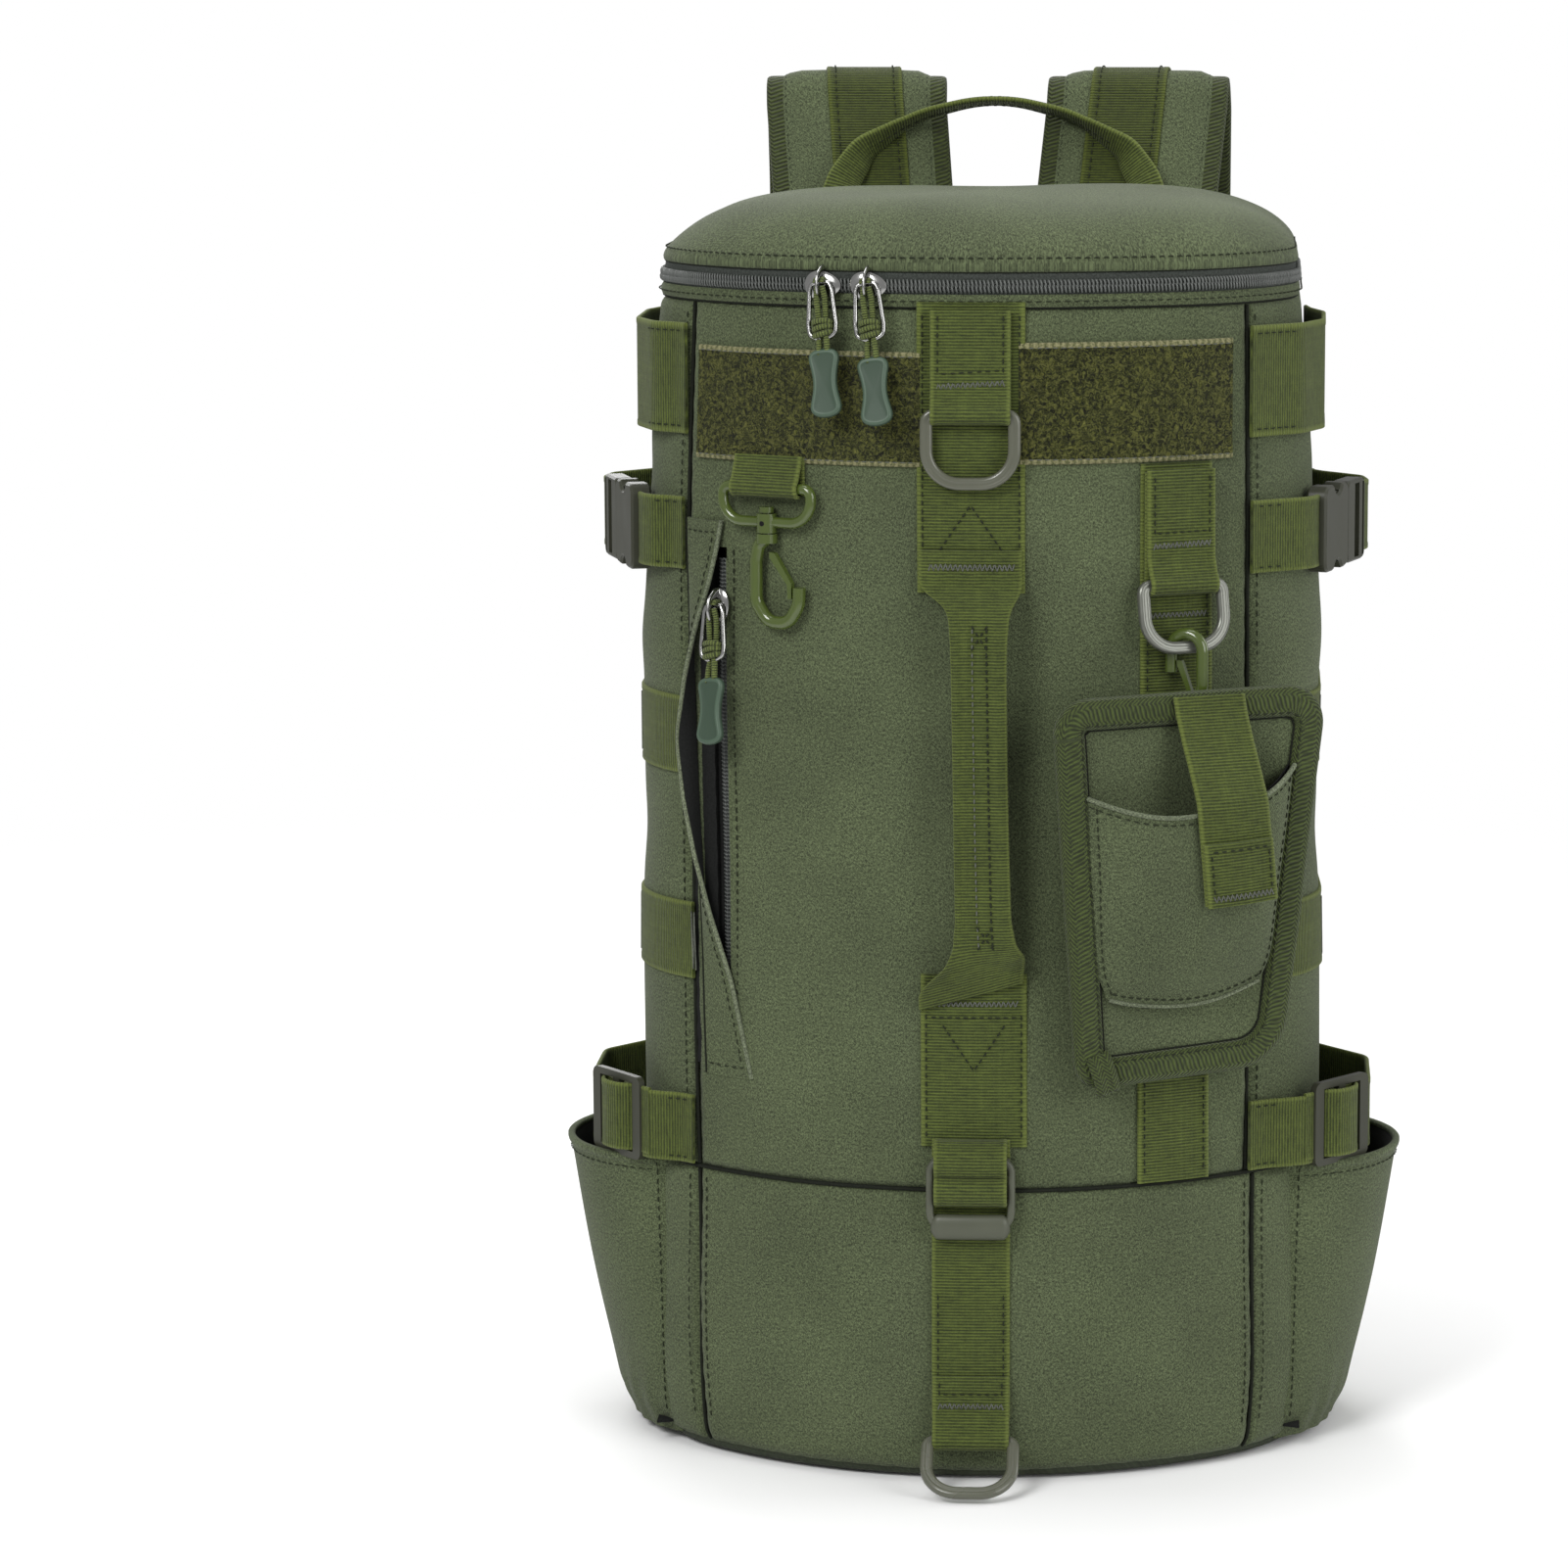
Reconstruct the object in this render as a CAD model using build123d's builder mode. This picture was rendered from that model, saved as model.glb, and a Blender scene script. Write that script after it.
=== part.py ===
from build123d import *
import os
from math import sin, cos, asin, tan, radians, degrees

os.makedirs("parts", exist_ok=True)

# Tackle backpack. Millimetres, +Z up, front of the bag toward -Y, standing on its base at z = 0,
# with the origin in the middle of the base.

# ---- driving dimensions -------------------------------------------------------------------------
HALF_W = 126.0            # half the width of the bag
FRONT_R, FRONT_CY = 165.0, 77.0   # the curved front
CORNER_R, CORNER_CX, CORNER_CY = 60.0, 66.0, -4.66   # the rounded front corners
BACK_Y, BACK_R = 86.0, 20.0       # the flat back and its corners
SEAM = 38.94              # angle of the side seams from straight ahead
WALL = 3.0                # foam-backed fabric
BASE_H = 8.0              # coated base tray
WRAP_TOP = 111.0          # top of the lower wrap
RIM_Z = 436.0             # lower edge of the rim band
TAPE_Z = 440.0            # lower edge of the main zipper
CHAIN_LO, CHAIN_HI = 443.0, 444.2   # the gap that the slider's post runs in
LID_Z = 447.6             # lower edge of the lid's band
LID_BAND = 454.0          # seam between band and crown
LID_TOP = 474.0           # crown of the lid
ZIP_BACK_Y = 60.0         # the main zipper ends here, on the sides
WEB = 1.6                 # webbing thickness
WEB_WIDE = 38.0           # centre webbing
WEB_MID = 29.0            # D-ring tabs and side straps
RING_W, RING_WIRE = 38.0, 2.0     # D-ring outer width and wire radius
TOP_BAR_Z = 398.0         # bar of the top D-ring
RIGHT_BAR_Z, RIGHT_A = 335.0, 26.6
BOTTOM_BAR_Z = 17.5
HOOK_A, HOOK_BAR_Z = -26.4, 369.5
POUCH_A = 25.4
SLIDER_A = {"right": -12.78, "left": -18.70}
SIDE_ZIP_A, SIDE_ZIP_Z = -34.3, 324.0
PULL_TILT = 10.0
HANDLE_LEAN = 27.6
HANDLE_Y, HANDLE_Z = 90.0, 427.0


def skin(angle, z, out=0.0):
    """A point `out` outside the curved front, at an angle from straight ahead."""
    s, c = sin(radians(angle)), cos(radians(angle))
    return Vector((FRONT_R + out) * s, FRONT_CY - (FRONT_R + out) * c, z)


def skin_plane(angle, z, out=0.0, tilt=0.0):
    """Plane on the front: local X runs along the skin, local Y up, normal outward. With a tilt its lower end stands out."""
    s, c = sin(radians(angle)), cos(radians(angle))
    st, ct = sin(radians(tilt)), cos(radians(tilt))
    return Plane(origin=skin(angle, z, out), x_dir=(c, s, 0), z_dir=(s * ct, -c * ct, st))


def cross_plane(angle, z=0.0, out=0.0):
    """Plane across the front: local X runs outward, local Y up."""
    s, c = sin(radians(angle)), cos(radians(angle))
    return Plane(origin=skin(angle, z, out), x_dir=(s, -c, 0), z_dir=(-c, -s, 0))


def body_outline(d):
    """Cross-section of the bag, d outside its skin."""
    s, c = sin(radians(SEAM)), cos(radians(SEAM))
    fx, fy = (FRONT_R + d) * s, FRONT_CY - (FRONT_R + d) * c
    m = radians((SEAM + 90) / 2)
    mx, my = CORNER_CX + (CORNER_R + d) * sin(m), CORNER_CY - (CORNER_R + d) * cos(m)
    hw, by = HALF_W + d, BACK_Y + d
    cx, cy = HALF_W - BACK_R, BACK_Y - BACK_R
    k = (BACK_R + d) * sin(radians(45))
    with BuildSketch() as outline:
        with BuildLine():
            ThreePointArc((-fx, fy), (0, FRONT_CY - FRONT_R - d), (fx, fy))
            ThreePointArc((fx, fy), (mx, my), (hw, CORNER_CY))
            Line((hw, CORNER_CY), (hw, cy))
            ThreePointArc((hw, cy), (cx + k, cy + k), (cx, by))
            Line((cx, by), (-cx, by))
            ThreePointArc((-cx, by), (-cx - k, cy + k), (-hw, cy))
            Line((-hw, cy), (-hw, CORNER_CY))
            ThreePointArc((-hw, CORNER_CY), (-mx, my), (-fx, fy))
        make_face()
    return outline.sketch


def sector(a0, a1, d0, d1):
    """Strip of the curved front between two angles, from d0 to d1 outside the skin."""
    m = (a0 + a1) / 2
    p, q, r = [tuple(skin(a, 0, d0))[:2] for a in (a0, m, a1)]
    t, u, v = [tuple(skin(a, 0, d1))[:2] for a in (a0, m, a1)]
    with BuildSketch() as strip:
        with BuildLine():
            ThreePointArc(p, q, r)
            Line(r, v)
            ThreePointArc(v, u, t)
            Line(t, p)
        make_face()
    return strip.sketch


def region(*points):
    """A flat polygon that cuts a piece out of the bag's wall."""
    with BuildSketch() as area:
        with BuildLine():
            Polyline(*points, close=True)
        make_face()
    return area.sketch


SKIN = {d: body_outline(d) for d in (2.0, 0.6, 0.0, -0.4, -2.6, -3.0)}
fa, fb = sin(radians(SEAM)), -cos(radians(SEAM))
FRONT_AREA = region((0, FRONT_CY), (400 * fa, FRONT_CY + 400 * fb), (-400 * fa, FRONT_CY + 400 * fb))
RIGHT_AREA = region((50 * fa, FRONT_CY + 50 * fb), (400 * fa, FRONT_CY + 400 * fb), (400, FRONT_CY + 400 * fb),
                    (400, BACK_Y - BACK_R), (60, BACK_Y - BACK_R))
BACK_AREA = region((-400, BACK_Y - BACK_R), (400, BACK_Y - BACK_R), (400, 300), (-400, 300))
NOT_BACK = region((-400, -400), (400, -400), (400, ZIP_BACK_Y), (-400, ZIP_BACK_Y))
LOOP_AREA = region((104.6, -52.0), (400, -330), (400, ZIP_BACK_Y), (104.6, ZIP_BACK_Y))

# ---- shell ----------------------------------------------------------------------------------------
# Coated base tray: floor and a low upstand.
with BuildPart() as base_panel:
    with BuildSketch():
        add(SKIN[0.0])
    extrude(amount=4.0)
    with BuildSketch(Plane.XY.offset(4.0)):
        add(SKIN[0.0])
        add(SKIN[-3.0], mode=Mode.SUBTRACT)
    extrude(amount=BASE_H - 4.0)
base_panel.part.label = "base_panel"
export_step(base_panel.part, "parts/base_panel.step")

# Lower wrap, the fabric band below the waist seam.
with BuildPart() as lower_front_wrap:
    with BuildSketch(Plane.XY.offset(BASE_H)):
        add(SKIN[0.0])
        add(SKIN[-3.0], mode=Mode.SUBTRACT)
        add(FRONT_AREA, mode=Mode.INTERSECT)
    extrude(amount=WRAP_TOP - BASE_H)
lower_front_wrap.part.label = "lower_front_wrap"
export_step(lower_front_wrap.part, "parts/lower_front_wrap.step")

# Front panel, with the slot that the side zipper is sewn into.
SLOT = (SIDE_ZIP_A - 1.75, SIDE_ZIP_A + 1.75)
slot_cut = sector(SLOT[0], SLOT[1], -4.0, 1.0)
with BuildPart() as front_panel:
    with BuildSketch(Plane.XY.offset(WRAP_TOP)):
        add(SKIN[0.0])
        add(SKIN[-3.0], mode=Mode.SUBTRACT)
        add(FRONT_AREA, mode=Mode.INTERSECT)
    extrude(amount=RIM_Z - WRAP_TOP)
    with BuildSketch(Plane.XY.offset(165.0)):
        add(slot_cut)
    extrude(amount=177.0, mode=Mode.SUBTRACT)
front_panel.part.label = "front_panel"
export_step(front_panel.part, "parts/front_panel.step")

with BuildPart() as right_side_panel:
    with BuildSketch(Plane.XY.offset(BASE_H)):
        add(SKIN[0.0])
        add(SKIN[-3.0], mode=Mode.SUBTRACT)
        add(RIGHT_AREA, mode=Mode.INTERSECT)
    extrude(amount=RIM_Z - BASE_H)
right_side_panel.part.label = "right_side_panel"
export_step(right_side_panel.part, "parts/right_side_panel.step")

with BuildPart() as left_side_panel:
    mirror(right_side_panel.part, about=Plane.YZ)
left_side_panel.part.label = "left_side_panel"
export_step(left_side_panel.part, "parts/left_side_panel.step")

with BuildPart() as back_panel:
    with BuildSketch(Plane.XY.offset(BASE_H)):
        add(SKIN[0.0])
        add(SKIN[-3.0], mode=Mode.SUBTRACT)
        add(BACK_AREA, mode=Mode.INTERSECT)
    extrude(amount=CHAIN_LO - BASE_H)
back_panel.part.label = "back_panel"
export_step(back_panel.part, "parts/back_panel.step")

# Rim band round the mouth, in front of the back panel.
RIM_AREA = region((-400, -400), (400, -400), (400, BACK_Y - BACK_R), (-400, BACK_Y - BACK_R))
with BuildPart() as rim_band:
    with BuildSketch(Plane.XY.offset(RIM_Z)):
        add(SKIN[0.0])
        add(SKIN[-3.0], mode=Mode.SUBTRACT)
        add(RIM_AREA, mode=Mode.INTERSECT)
    extrude(amount=TAPE_Z - RIM_Z)
rim_band.part.label = "rim_band"
export_step(rim_band.part, "parts/rim_band.step")

# Main zipper, lower half: the tape and its half of the coil.
with BuildPart() as lower_zip_tape:
    with BuildSketch(Plane.XY.offset(TAPE_Z)):
        add(SKIN[-0.4])
        add(SKIN[-2.6], mode=Mode.SUBTRACT)
        add(NOT_BACK, mode=Mode.INTERSECT)
    extrude(amount=CHAIN_LO - TAPE_Z)
    with BuildSketch(Plane.XY.offset(CHAIN_LO - 1.3)):
        add(SKIN[0.6])
        add(SKIN[-0.4], mode=Mode.SUBTRACT)
        add(NOT_BACK, mode=Mode.INTERSECT)
    extrude(amount=1.3)
lower_zip_tape.part.label = "lower_zip_tape"
export_step(lower_zip_tape.part, "parts/lower_zip_tape.step")

# Side zipper of the front pocket: two tapes with a gap for the slider's post, and their coils.
side_tape_l = sector(SLOT[0], SIDE_ZIP_A - 0.2, -2.6, -0.4)
side_tape_r = sector(SIDE_ZIP_A + 0.2, SLOT[1], -2.6, -0.4)
side_coil_l = sector(SIDE_ZIP_A - 0.7, SIDE_ZIP_A - 0.2, -0.4, 0.6)
side_coil_r = sector(SIDE_ZIP_A + 0.2, SIDE_ZIP_A + 0.7, -0.4, 0.6)
with BuildPart() as side_zip_track:
    with BuildSketch(Plane.XY.offset(165.0)):
        add(side_tape_l)
        add(side_tape_r)
        add(side_coil_l)
        add(side_coil_r)
    extrude(amount=177.0)
side_zip_track.part.label = "side_zip_track"
export_step(side_zip_track.part, "parts/side_zip_track.step")

# Lining sheet of the front pocket, hung behind the front panel.
liner = sector(-36.0, 30.0, -7.2, -6.2)
with BuildPart() as zip_pocket_liner:
    with BuildSketch(Plane.XY.offset(150.0)):
        add(liner)
    extrude(amount=204.0)
zip_pocket_liner.part.label = "zip_pocket_liner"
export_step(zip_pocket_liner.part, "parts/zip_pocket_liner.step")

# Placket flap beside the side zipper, sewn in at the side seam and waisted where the slider runs.
flap_strip = sector(-SEAM, -30.0, 0.8, 2.0)
flap_root = sector(-SEAM, -SEAM + 1.2, 0.0, 2.0)
with BuildPart() as side_zip_placket:
    with BuildSketch(Plane.XY.offset(147.0)):
        add(flap_strip)
        add(flap_root)
    extrude(amount=209.0)
    with BuildSketch(Plane.XZ.offset(200.0)):
        with BuildLine():
            Polyline((-120, 147), (-83.5, 147), (-88.5, 180), (-98.9, 222), (-99.4, 265), (-98.9, 336),
                     (-88.0, 356), (-120, 356), close=True)
        make_face()
    extrude(amount=-300.0, mode=Mode.INTERSECT)
side_zip_placket.part.label = "side_zip_placket"
export_step(side_zip_placket.part, "parts/side_zip_placket.step")

# ---- sewn on the front ----------------------------------------------------------------------------
half_wide = degrees(asin(WEB_WIDE / 2 / FRONT_R))
loop_left = sector(-37.0, -half_wide, 0.0, 1.8)
loop_right = sector(half_wide, 35.0, 0.0, 1.8)
with BuildPart() as loop_strip:
    with BuildSketch(Plane.XY.offset(378.0)):
        add(loop_left)
        add(loop_right)
    extrude(amount=41.0)
loop_strip.part.label = "loop_strip"
export_step(loop_strip.part, "parts/loop_strip.step")

centre_strip = sector(-half_wide, half_wide, 0.0, WEB)
with BuildPart() as centre_webbing:
    with BuildSketch(Plane.XY.offset(336.0)):
        add(centre_strip)
    extrude(amount=RIM_Z - 336.0)
    with BuildSketch(Plane.XY.offset(WRAP_TOP + 1.0)):
        add(centre_strip)
    extrude(amount=192.0 - WRAP_TOP - 1.0)
centre_webbing.part.label = "centre_webbing"
export_step(centre_webbing.part, "parts/centre_webbing.step")

# Doubled tab that holds the top D-ring in its fold.
TOP_OUT = WEB + 3.9
with BuildPart() as top_ring_tab:
    with BuildSketch(cross_plane(0.0)):
        with Locations((WEB + 1.6, (TOP_BAR_Z + 434.0) / 2)):
            Rectangle(3.2, 434.0 - TOP_BAR_Z)
        with Locations((TOP_OUT, TOP_BAR_Z)):
            Circle(3.9)
            Circle(RING_WIRE + 0.3, mode=Mode.SUBTRACT)
    extrude(amount=14.5, both=True)
top_ring_tab.part.label = "top_ring_tab"
export_step(top_ring_tab.part, "parts/top_ring_tab.step")

# Grab handle: the webbing folded to half its width and stood off the bag between its two ends.
with BuildPart() as grab_handle:
    with BuildSketch(cross_plane(0.0).offset(-13.0)):
        with BuildLine():
            FilletPolyline((3.3, 346), (3.4, 334), (11.0, 314), (11.0, 216), (3.4, 196), (3.3, 184), radius=10)
        trace(line_width=3.2)
    extrude(amount=18.0)
grab_handle.part.label = "grab_handle"
export_step(grab_handle.part, "parts/grab_handle.step")

# Tab of the snap hook.
HOOK_OUT = 3.9
with BuildPart() as hook_tab:
    with BuildSketch(cross_plane(HOOK_A)):
        with Locations((HOOK_OUT, HOOK_BAR_Z)):
            Circle(3.9)
        with Locations((1.6, HOOK_BAR_Z + 4.0)):
            Rectangle(3.2, 7.9)
        with Locations((HOOK_OUT, HOOK_BAR_Z)):
            Circle(2.3, mode=Mode.SUBTRACT)
    extrude(amount=14.5, both=True)
    with BuildSketch(Plane.XY.offset(340.0)):
        add(SKIN[0.0])
    extrude(amount=60.0, mode=Mode.SUBTRACT)
    with BuildSketch(Plane.XY.offset(378.0)):
        add(SKIN[2.0])
    extrude(amount=20.0, mode=Mode.SUBTRACT)
hook_tab.part.label = "hook_tab"
export_step(hook_tab.part, "parts/hook_tab.step")

# Right-hand webbing: the long strap, and over its top the doubled tab that holds the right D-ring.
half_mid = degrees(asin(WEB_MID / 2 / FRONT_R))
right_strip = sector(RIGHT_A - half_mid, RIGHT_A + half_mid, 0.0, WEB)
RIGHT_OUT = WEB + 3.9
with BuildPart() as right_webbing:
    with BuildSketch(Plane.XY.offset(WRAP_TOP + 1.0)):
        add(right_strip)
    extrude(amount=378.0 - WRAP_TOP - 1.0)
    with BuildSketch(cross_plane(RIGHT_A)):
        with Locations((WEB + 1.6, (RIGHT_BAR_Z + 376.0) / 2)):
            Rectangle(3.2, 376.0 - RIGHT_BAR_Z)
        with Locations((RIGHT_OUT, RIGHT_BAR_Z)):
            Circle(3.9)
            Circle(RING_WIRE + 0.3, mode=Mode.SUBTRACT)
    extrude(amount=13.5, both=True)
right_webbing.part.label = "right_webbing"
export_step(right_webbing.part, "parts/right_webbing.step")

# Lower centre strap: a flat run on the wrap, an upper layer that the tri-glide is threaded on, and the lower end folded
# round the bottom D-ring.
half_low = degrees(asin(14.2 / FRONT_R))
low_strip = sector(-half_low, half_low, 0.0, WEB)
with BuildPart() as bottom_strap:
    with BuildSketch(Plane.XY.offset(24.0)):
        add(low_strip)
    extrude(amount=WRAP_TOP - 24.0)
    with BuildSketch(cross_plane(0.0)):
        with BuildLine():
            FilletPolyline((2.5, 46), (5.5, 60), (5.5, 128), (2.5, 142), radius=12)
        trace(line_width=WEB)
    extrude(amount=14.0, both=True)
    with BuildSketch(cross_plane(0.0)):
        with Locations((WEB + 1.6, (BOTTOM_BAR_Z + 40.0) / 2)):
            Rectangle(3.2, 40.0 - BOTTOM_BAR_Z)
        with Locations((TOP_OUT, BOTTOM_BAR_Z)):
            Circle(3.9)
            Circle(RING_WIRE + 0.3, mode=Mode.SUBTRACT)
    extrude(amount=14.0, both=True)
bottom_strap.part.label = "bottom_strap"
export_step(bottom_strap.part, "parts/bottom_strap.step")

# ---- side pockets ---------------------------------------------------------------------------------
with BuildPart() as right_side_pocket:
    for z, reach in ((5.0, 140.0), (110.0, 160.0)):
        with BuildSketch(Plane.XY.offset(z)):
            with BuildLine():
                ThreePointArc((115.5, -38.5), (reach, 8.0), (124.0, 60.0))
                Line((124.0, 60.0), (115.5, -38.5))
            make_face()
    loft()
    for z, reach in ((8.0, 138.0), (111.0, 158.0)):
        with BuildSketch(Plane.XY.offset(z)):
            with BuildLine():
                ThreePointArc((118.5, -33.5), (reach, 8.0), (124.0, 56.5))
                Line((124.0, 56.5), (118.5, -33.5))
            make_face()
    loft(mode=Mode.SUBTRACT)
    with BuildSketch():
        add(SKIN[0.0])
    extrude(amount=140.0, mode=Mode.SUBTRACT)
right_side_pocket.part.label = "right_side_pocket"
export_step(right_side_pocket.part, "parts/right_side_pocket.step")

with BuildPart() as left_side_pocket:
    mirror(right_side_pocket.part, about=Plane.YZ)
left_side_pocket.part.label = "left_side_pocket"
export_step(left_side_pocket.part, "parts/left_side_pocket.step")

# ---- webbing on the sides -------------------------------------------------------------------------
# Every side strap is sewn in just behind the side seam.
SEAM_START = (105.3, -51.1)
# Wide rod loops below the rim, one each side, standing off the bag.
with BuildPart() as rod_loops:
    with BuildSketch(Plane.XY.offset(387.0)):
        with BuildLine():
            FilletPolyline(SEAM_START, (123.0, -42.0), (136.6, -12.0), (136.6, 28.0), (127.3, 50.0), (127.0, 62.0),
                           radius=9)
        trace(line_width=1.8)
        add(SKIN[0.0], mode=Mode.SUBTRACT)
    extrude(amount=41.0)
    mirror(about=Plane.YZ)
rod_loops.part.label = "rod_loops"
export_step(rod_loops.part, "parts/rod_loops.step")

# Two rows of flat attachment webbing on each side.
with BuildPart() as molle_rows:
    for z in (183.0, 260.0):
        with BuildSketch(Plane.XY.offset(z)):
            add(SKIN[2.0])
            add(SKIN[0.0], mode=Mode.SUBTRACT)
            add(LOOP_AREA, mode=Mode.INTERSECT)
        extrude(amount=29.0)
    mirror(about=Plane.YZ)
molle_rows.part.label = "molle_rows"
export_step(molle_rows.part, "parts/molle_rows.step")

# Compression straps: a front run into the buckle's socket and a rear run that ends short of the plug.
# The buckles lie across the front corners of the bag, turned 18 degrees off the sides.
BUCKLE_Z, BUCKLE_TURN, COMPRESS_W = 350.0, 18.0, 27.0
BUCKLE_FRONT = (125.6, -30.5)
BUCKLE_U = (sin(radians(BUCKLE_TURN)), cos(radians(BUCKLE_TURN)))
BUCKLE_PLANE = Plane(origin=(*BUCKLE_FRONT, BUCKLE_Z), x_dir=(*BUCKLE_U, 0), z_dir=(BUCKLE_U[1], -BUCKLE_U[0], 0))
BEFORE_BUCKLE = (BUCKLE_FRONT[0] - 6 * BUCKLE_U[0], BUCKLE_FRONT[1] - 6 * BUCKLE_U[1])
with BuildPart() as compression_straps:
    with BuildSketch(Plane.XY.offset(BUCKLE_Z - COMPRESS_W / 2)):
        with BuildLine():
            FilletPolyline(SEAM_START, BEFORE_BUCKLE, BUCKLE_FRONT, radius=6)
        trace(line_width=WEB)
        with BuildLine():
            FilletPolyline((145.5, 36.0), (143.0, 43.5), (129.6, 60.5), (126.8, 65.0), (126.8, 71.0), radius=4)
        trace(line_width=WEB)
        add(SKIN[0.0], mode=Mode.SUBTRACT)
    extrude(amount=COMPRESS_W)
    mirror(about=Plane.YZ)
compression_straps.part.label = "compression_straps"
export_step(compression_straps.part, "parts/compression_straps.step")

# Sockets of the side-release buckles: a flat sleeve open to the rear, with a scooped finger window in each edge.
with BuildPart() as buckle_sockets:
    with BuildSketch(BUCKLE_PLANE.offset(-4.0)):
        with Locations((14.5, 0)):
            RectangleRounded(29.0, 32.0, 4.0)
        with Locations((16.0, 18.0), (16.0, -18.0)):
            Circle(5.6, mode=Mode.SUBTRACT)
    extrude(amount=8.0)
    chamfer(buckle_sockets.edges().filter_by(lambda e: abs(abs(BUCKLE_PLANE.to_local_coords(e.center()).Z) - 4.0) < 0.01), 0.9)
    with BuildSketch(BUCKLE_PLANE.offset(-2.9)):
        with Locations((17.5, 0)):
            Rectangle(24.0, 27.0)
    extrude(amount=5.8, mode=Mode.SUBTRACT)
    mirror(about=Plane.YZ)
buckle_sockets.part.label = "buckle_sockets"
export_step(buckle_sockets.part, "parts/buckle_sockets.step")

# Plugs: a body with a strap bar behind and two squeeze fingers and a guide in front.
with BuildPart() as right_buckle_plug:
    with BuildSketch(BUCKLE_PLANE.offset(-3.6)):
        with Locations((40.8, 0)):
            RectangleRounded(22.8, 31.0, 3.5)
    extrude(amount=7.2)
    chamfer(right_buckle_plug.edges().filter_by(lambda e: abs(abs(BUCKLE_PLANE.to_local_coords(e.center()).Z) - 3.6) < 0.01), 0.8)
    with BuildSketch(BUCKLE_PLANE.offset(-5.0)):
        with Locations((41.5, 0)):
            Rectangle(6.0, 28.0)
        with Locations((49.5, 0)):
            Rectangle(2.2, 28.0)
    extrude(amount=10.0, mode=Mode.SUBTRACT)
    with BuildSketch(BUCKLE_PLANE.offset(-2.6)):
        with Locations((19.5, 10.4), (19.5, -10.4)):
            Rectangle(21.0, 5.4)
        with Locations((21.0, 0)):
            Rectangle(18.0, 4.0)
    extrude(amount=5.2)
right_buckle_plug.part.label = "right_buckle_plug"
export_step(right_buckle_plug.part, "parts/right_buckle_plug.step")

with BuildPart() as left_buckle_plug:
    mirror(right_buckle_plug.part, about=Plane.YZ)
left_buckle_plug.part.label = "left_buckle_plug"
export_step(left_buckle_plug.part, "parts/left_buckle_plug.step")

# Lower side straps, out over the mouths of the side pockets.
LOW_Z = 112.0
with BuildPart() as lower_side_straps:
    with BuildSketch(Plane.XY.offset(LOW_Z)):
        with BuildLine():
            FilletPolyline(SEAM_START, (121.0, -45.0), (149.0, -11.0), (149.0, 30.0), (128.0, 54.0), (126.8, 64.0),
                           radius=9)
        trace(line_width=WEB)
        add(SKIN[0.0], mode=Mode.SUBTRACT)
    extrude(amount=26.5)
    mirror(about=Plane.YZ)
lower_side_straps.part.label = "lower_side_straps"
export_step(lower_side_straps.part, "parts/lower_side_straps.step")

# ---- back: yoke, pads, shoulder straps ------------------------------------------------------------
with BuildPart() as yoke_strip:
    with BuildSketch(Plane.XZ.offset(-BACK_Y)):
        with Locations((0, 406.0)):
            RectangleRounded(196.0, 30.0, 4.0)
    extrude(amount=-2.0)
yoke_strip.part.label = "yoke_strip"
export_step(yoke_strip.part, "parts/yoke_strip.step")

with BuildPart() as back_pads:
    with BuildSketch(Plane.XZ.offset(-BACK_Y)):
        with Locations((-56.0, 258.0), (56.0, 258.0)):
            RectangleRounded(88.0, 252.0, 14.0)
    extrude(amount=-10.0)
    fillet(back_pads.faces().filter_by(Axis.Y).group_by(Axis.Y)[-1].edges(), radius=5.0)
back_pads.part.label = "back_pads"
export_step(back_pads.part, "parts/back_pads.step")

STRAP_X, STRAP_W, STRAP_T = 57.0, 72.0, 10.0
STRAP_PATH = [(93.2, 396.0), (101.0, 426.0), (144.0, 510.5), (160.0, 510.5), (170.0, 470.0), (170.0, 395.0),
              (156.0, 300.0), (132.0, 215.0), (113.0, 168.0)]
STRAP_RAD = [30.0, 9.5, 9.5, 60.0, 120.0, 120.0, 120.0]
with BuildPart() as left_shoulder_strap:
    with BuildSketch(Plane.YZ.offset(-STRAP_X - STRAP_W / 2)):
        with BuildLine():
            FilletPolyline(*STRAP_PATH, radius=STRAP_RAD)
        trace(line_width=STRAP_T)
    extrude(amount=STRAP_W)
left_shoulder_strap.part.label = "left_shoulder_strap"
export_step(left_shoulder_strap.part, "parts/left_shoulder_strap.step")

with BuildPart() as right_shoulder_strap:
    mirror(left_shoulder_strap.part, about=Plane.YZ)
right_shoulder_strap.part.label = "right_shoulder_strap"
export_step(right_shoulder_strap.part, "parts/right_shoulder_strap.step")

# Ladder locks at the lower ends of the shoulder straps, and tri-glides on the lower side straps.
LOCK_DIR = (sin(radians(22.0)), -cos(radians(22.0)))
LOCK_PLANE = Plane(origin=(0, 108.0, 155.0), x_dir=(1, 0, 0), z_dir=(0, cos(radians(22.0)), -sin(radians(22.0))))
GLIDE = Plane(origin=(135.0, -28.0, LOW_Z + 14.4), x_dir=(0.6357, 0.7719, 0), z_dir=(0.7719, -0.6357, 0))
with BuildPart() as strap_adjusters:
    with BuildSketch(LOCK_PLANE):
        with Locations((STRAP_X, 0)):
            RectangleRounded(34.0, 24.0, 3.0)
            with Locations((0, 6.0), (0, -5.0)):
                Rectangle(27.0, 5.0, mode=Mode.SUBTRACT)
    extrude(amount=2.2, both=True)
    with BuildSketch(GLIDE.offset(0.85)):
        RectangleRounded(32.0, 32.0, 3.0)
        with Locations((-6.5, 0), (6.5, 0)):
            Rectangle(9.0, 26.8, mode=Mode.SUBTRACT)
    extrude(amount=2.6)
    mirror(about=Plane.YZ)
strap_adjusters.part.label = "strap_adjusters"
export_step(strap_adjusters.part, "parts/strap_adjusters.step")

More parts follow.
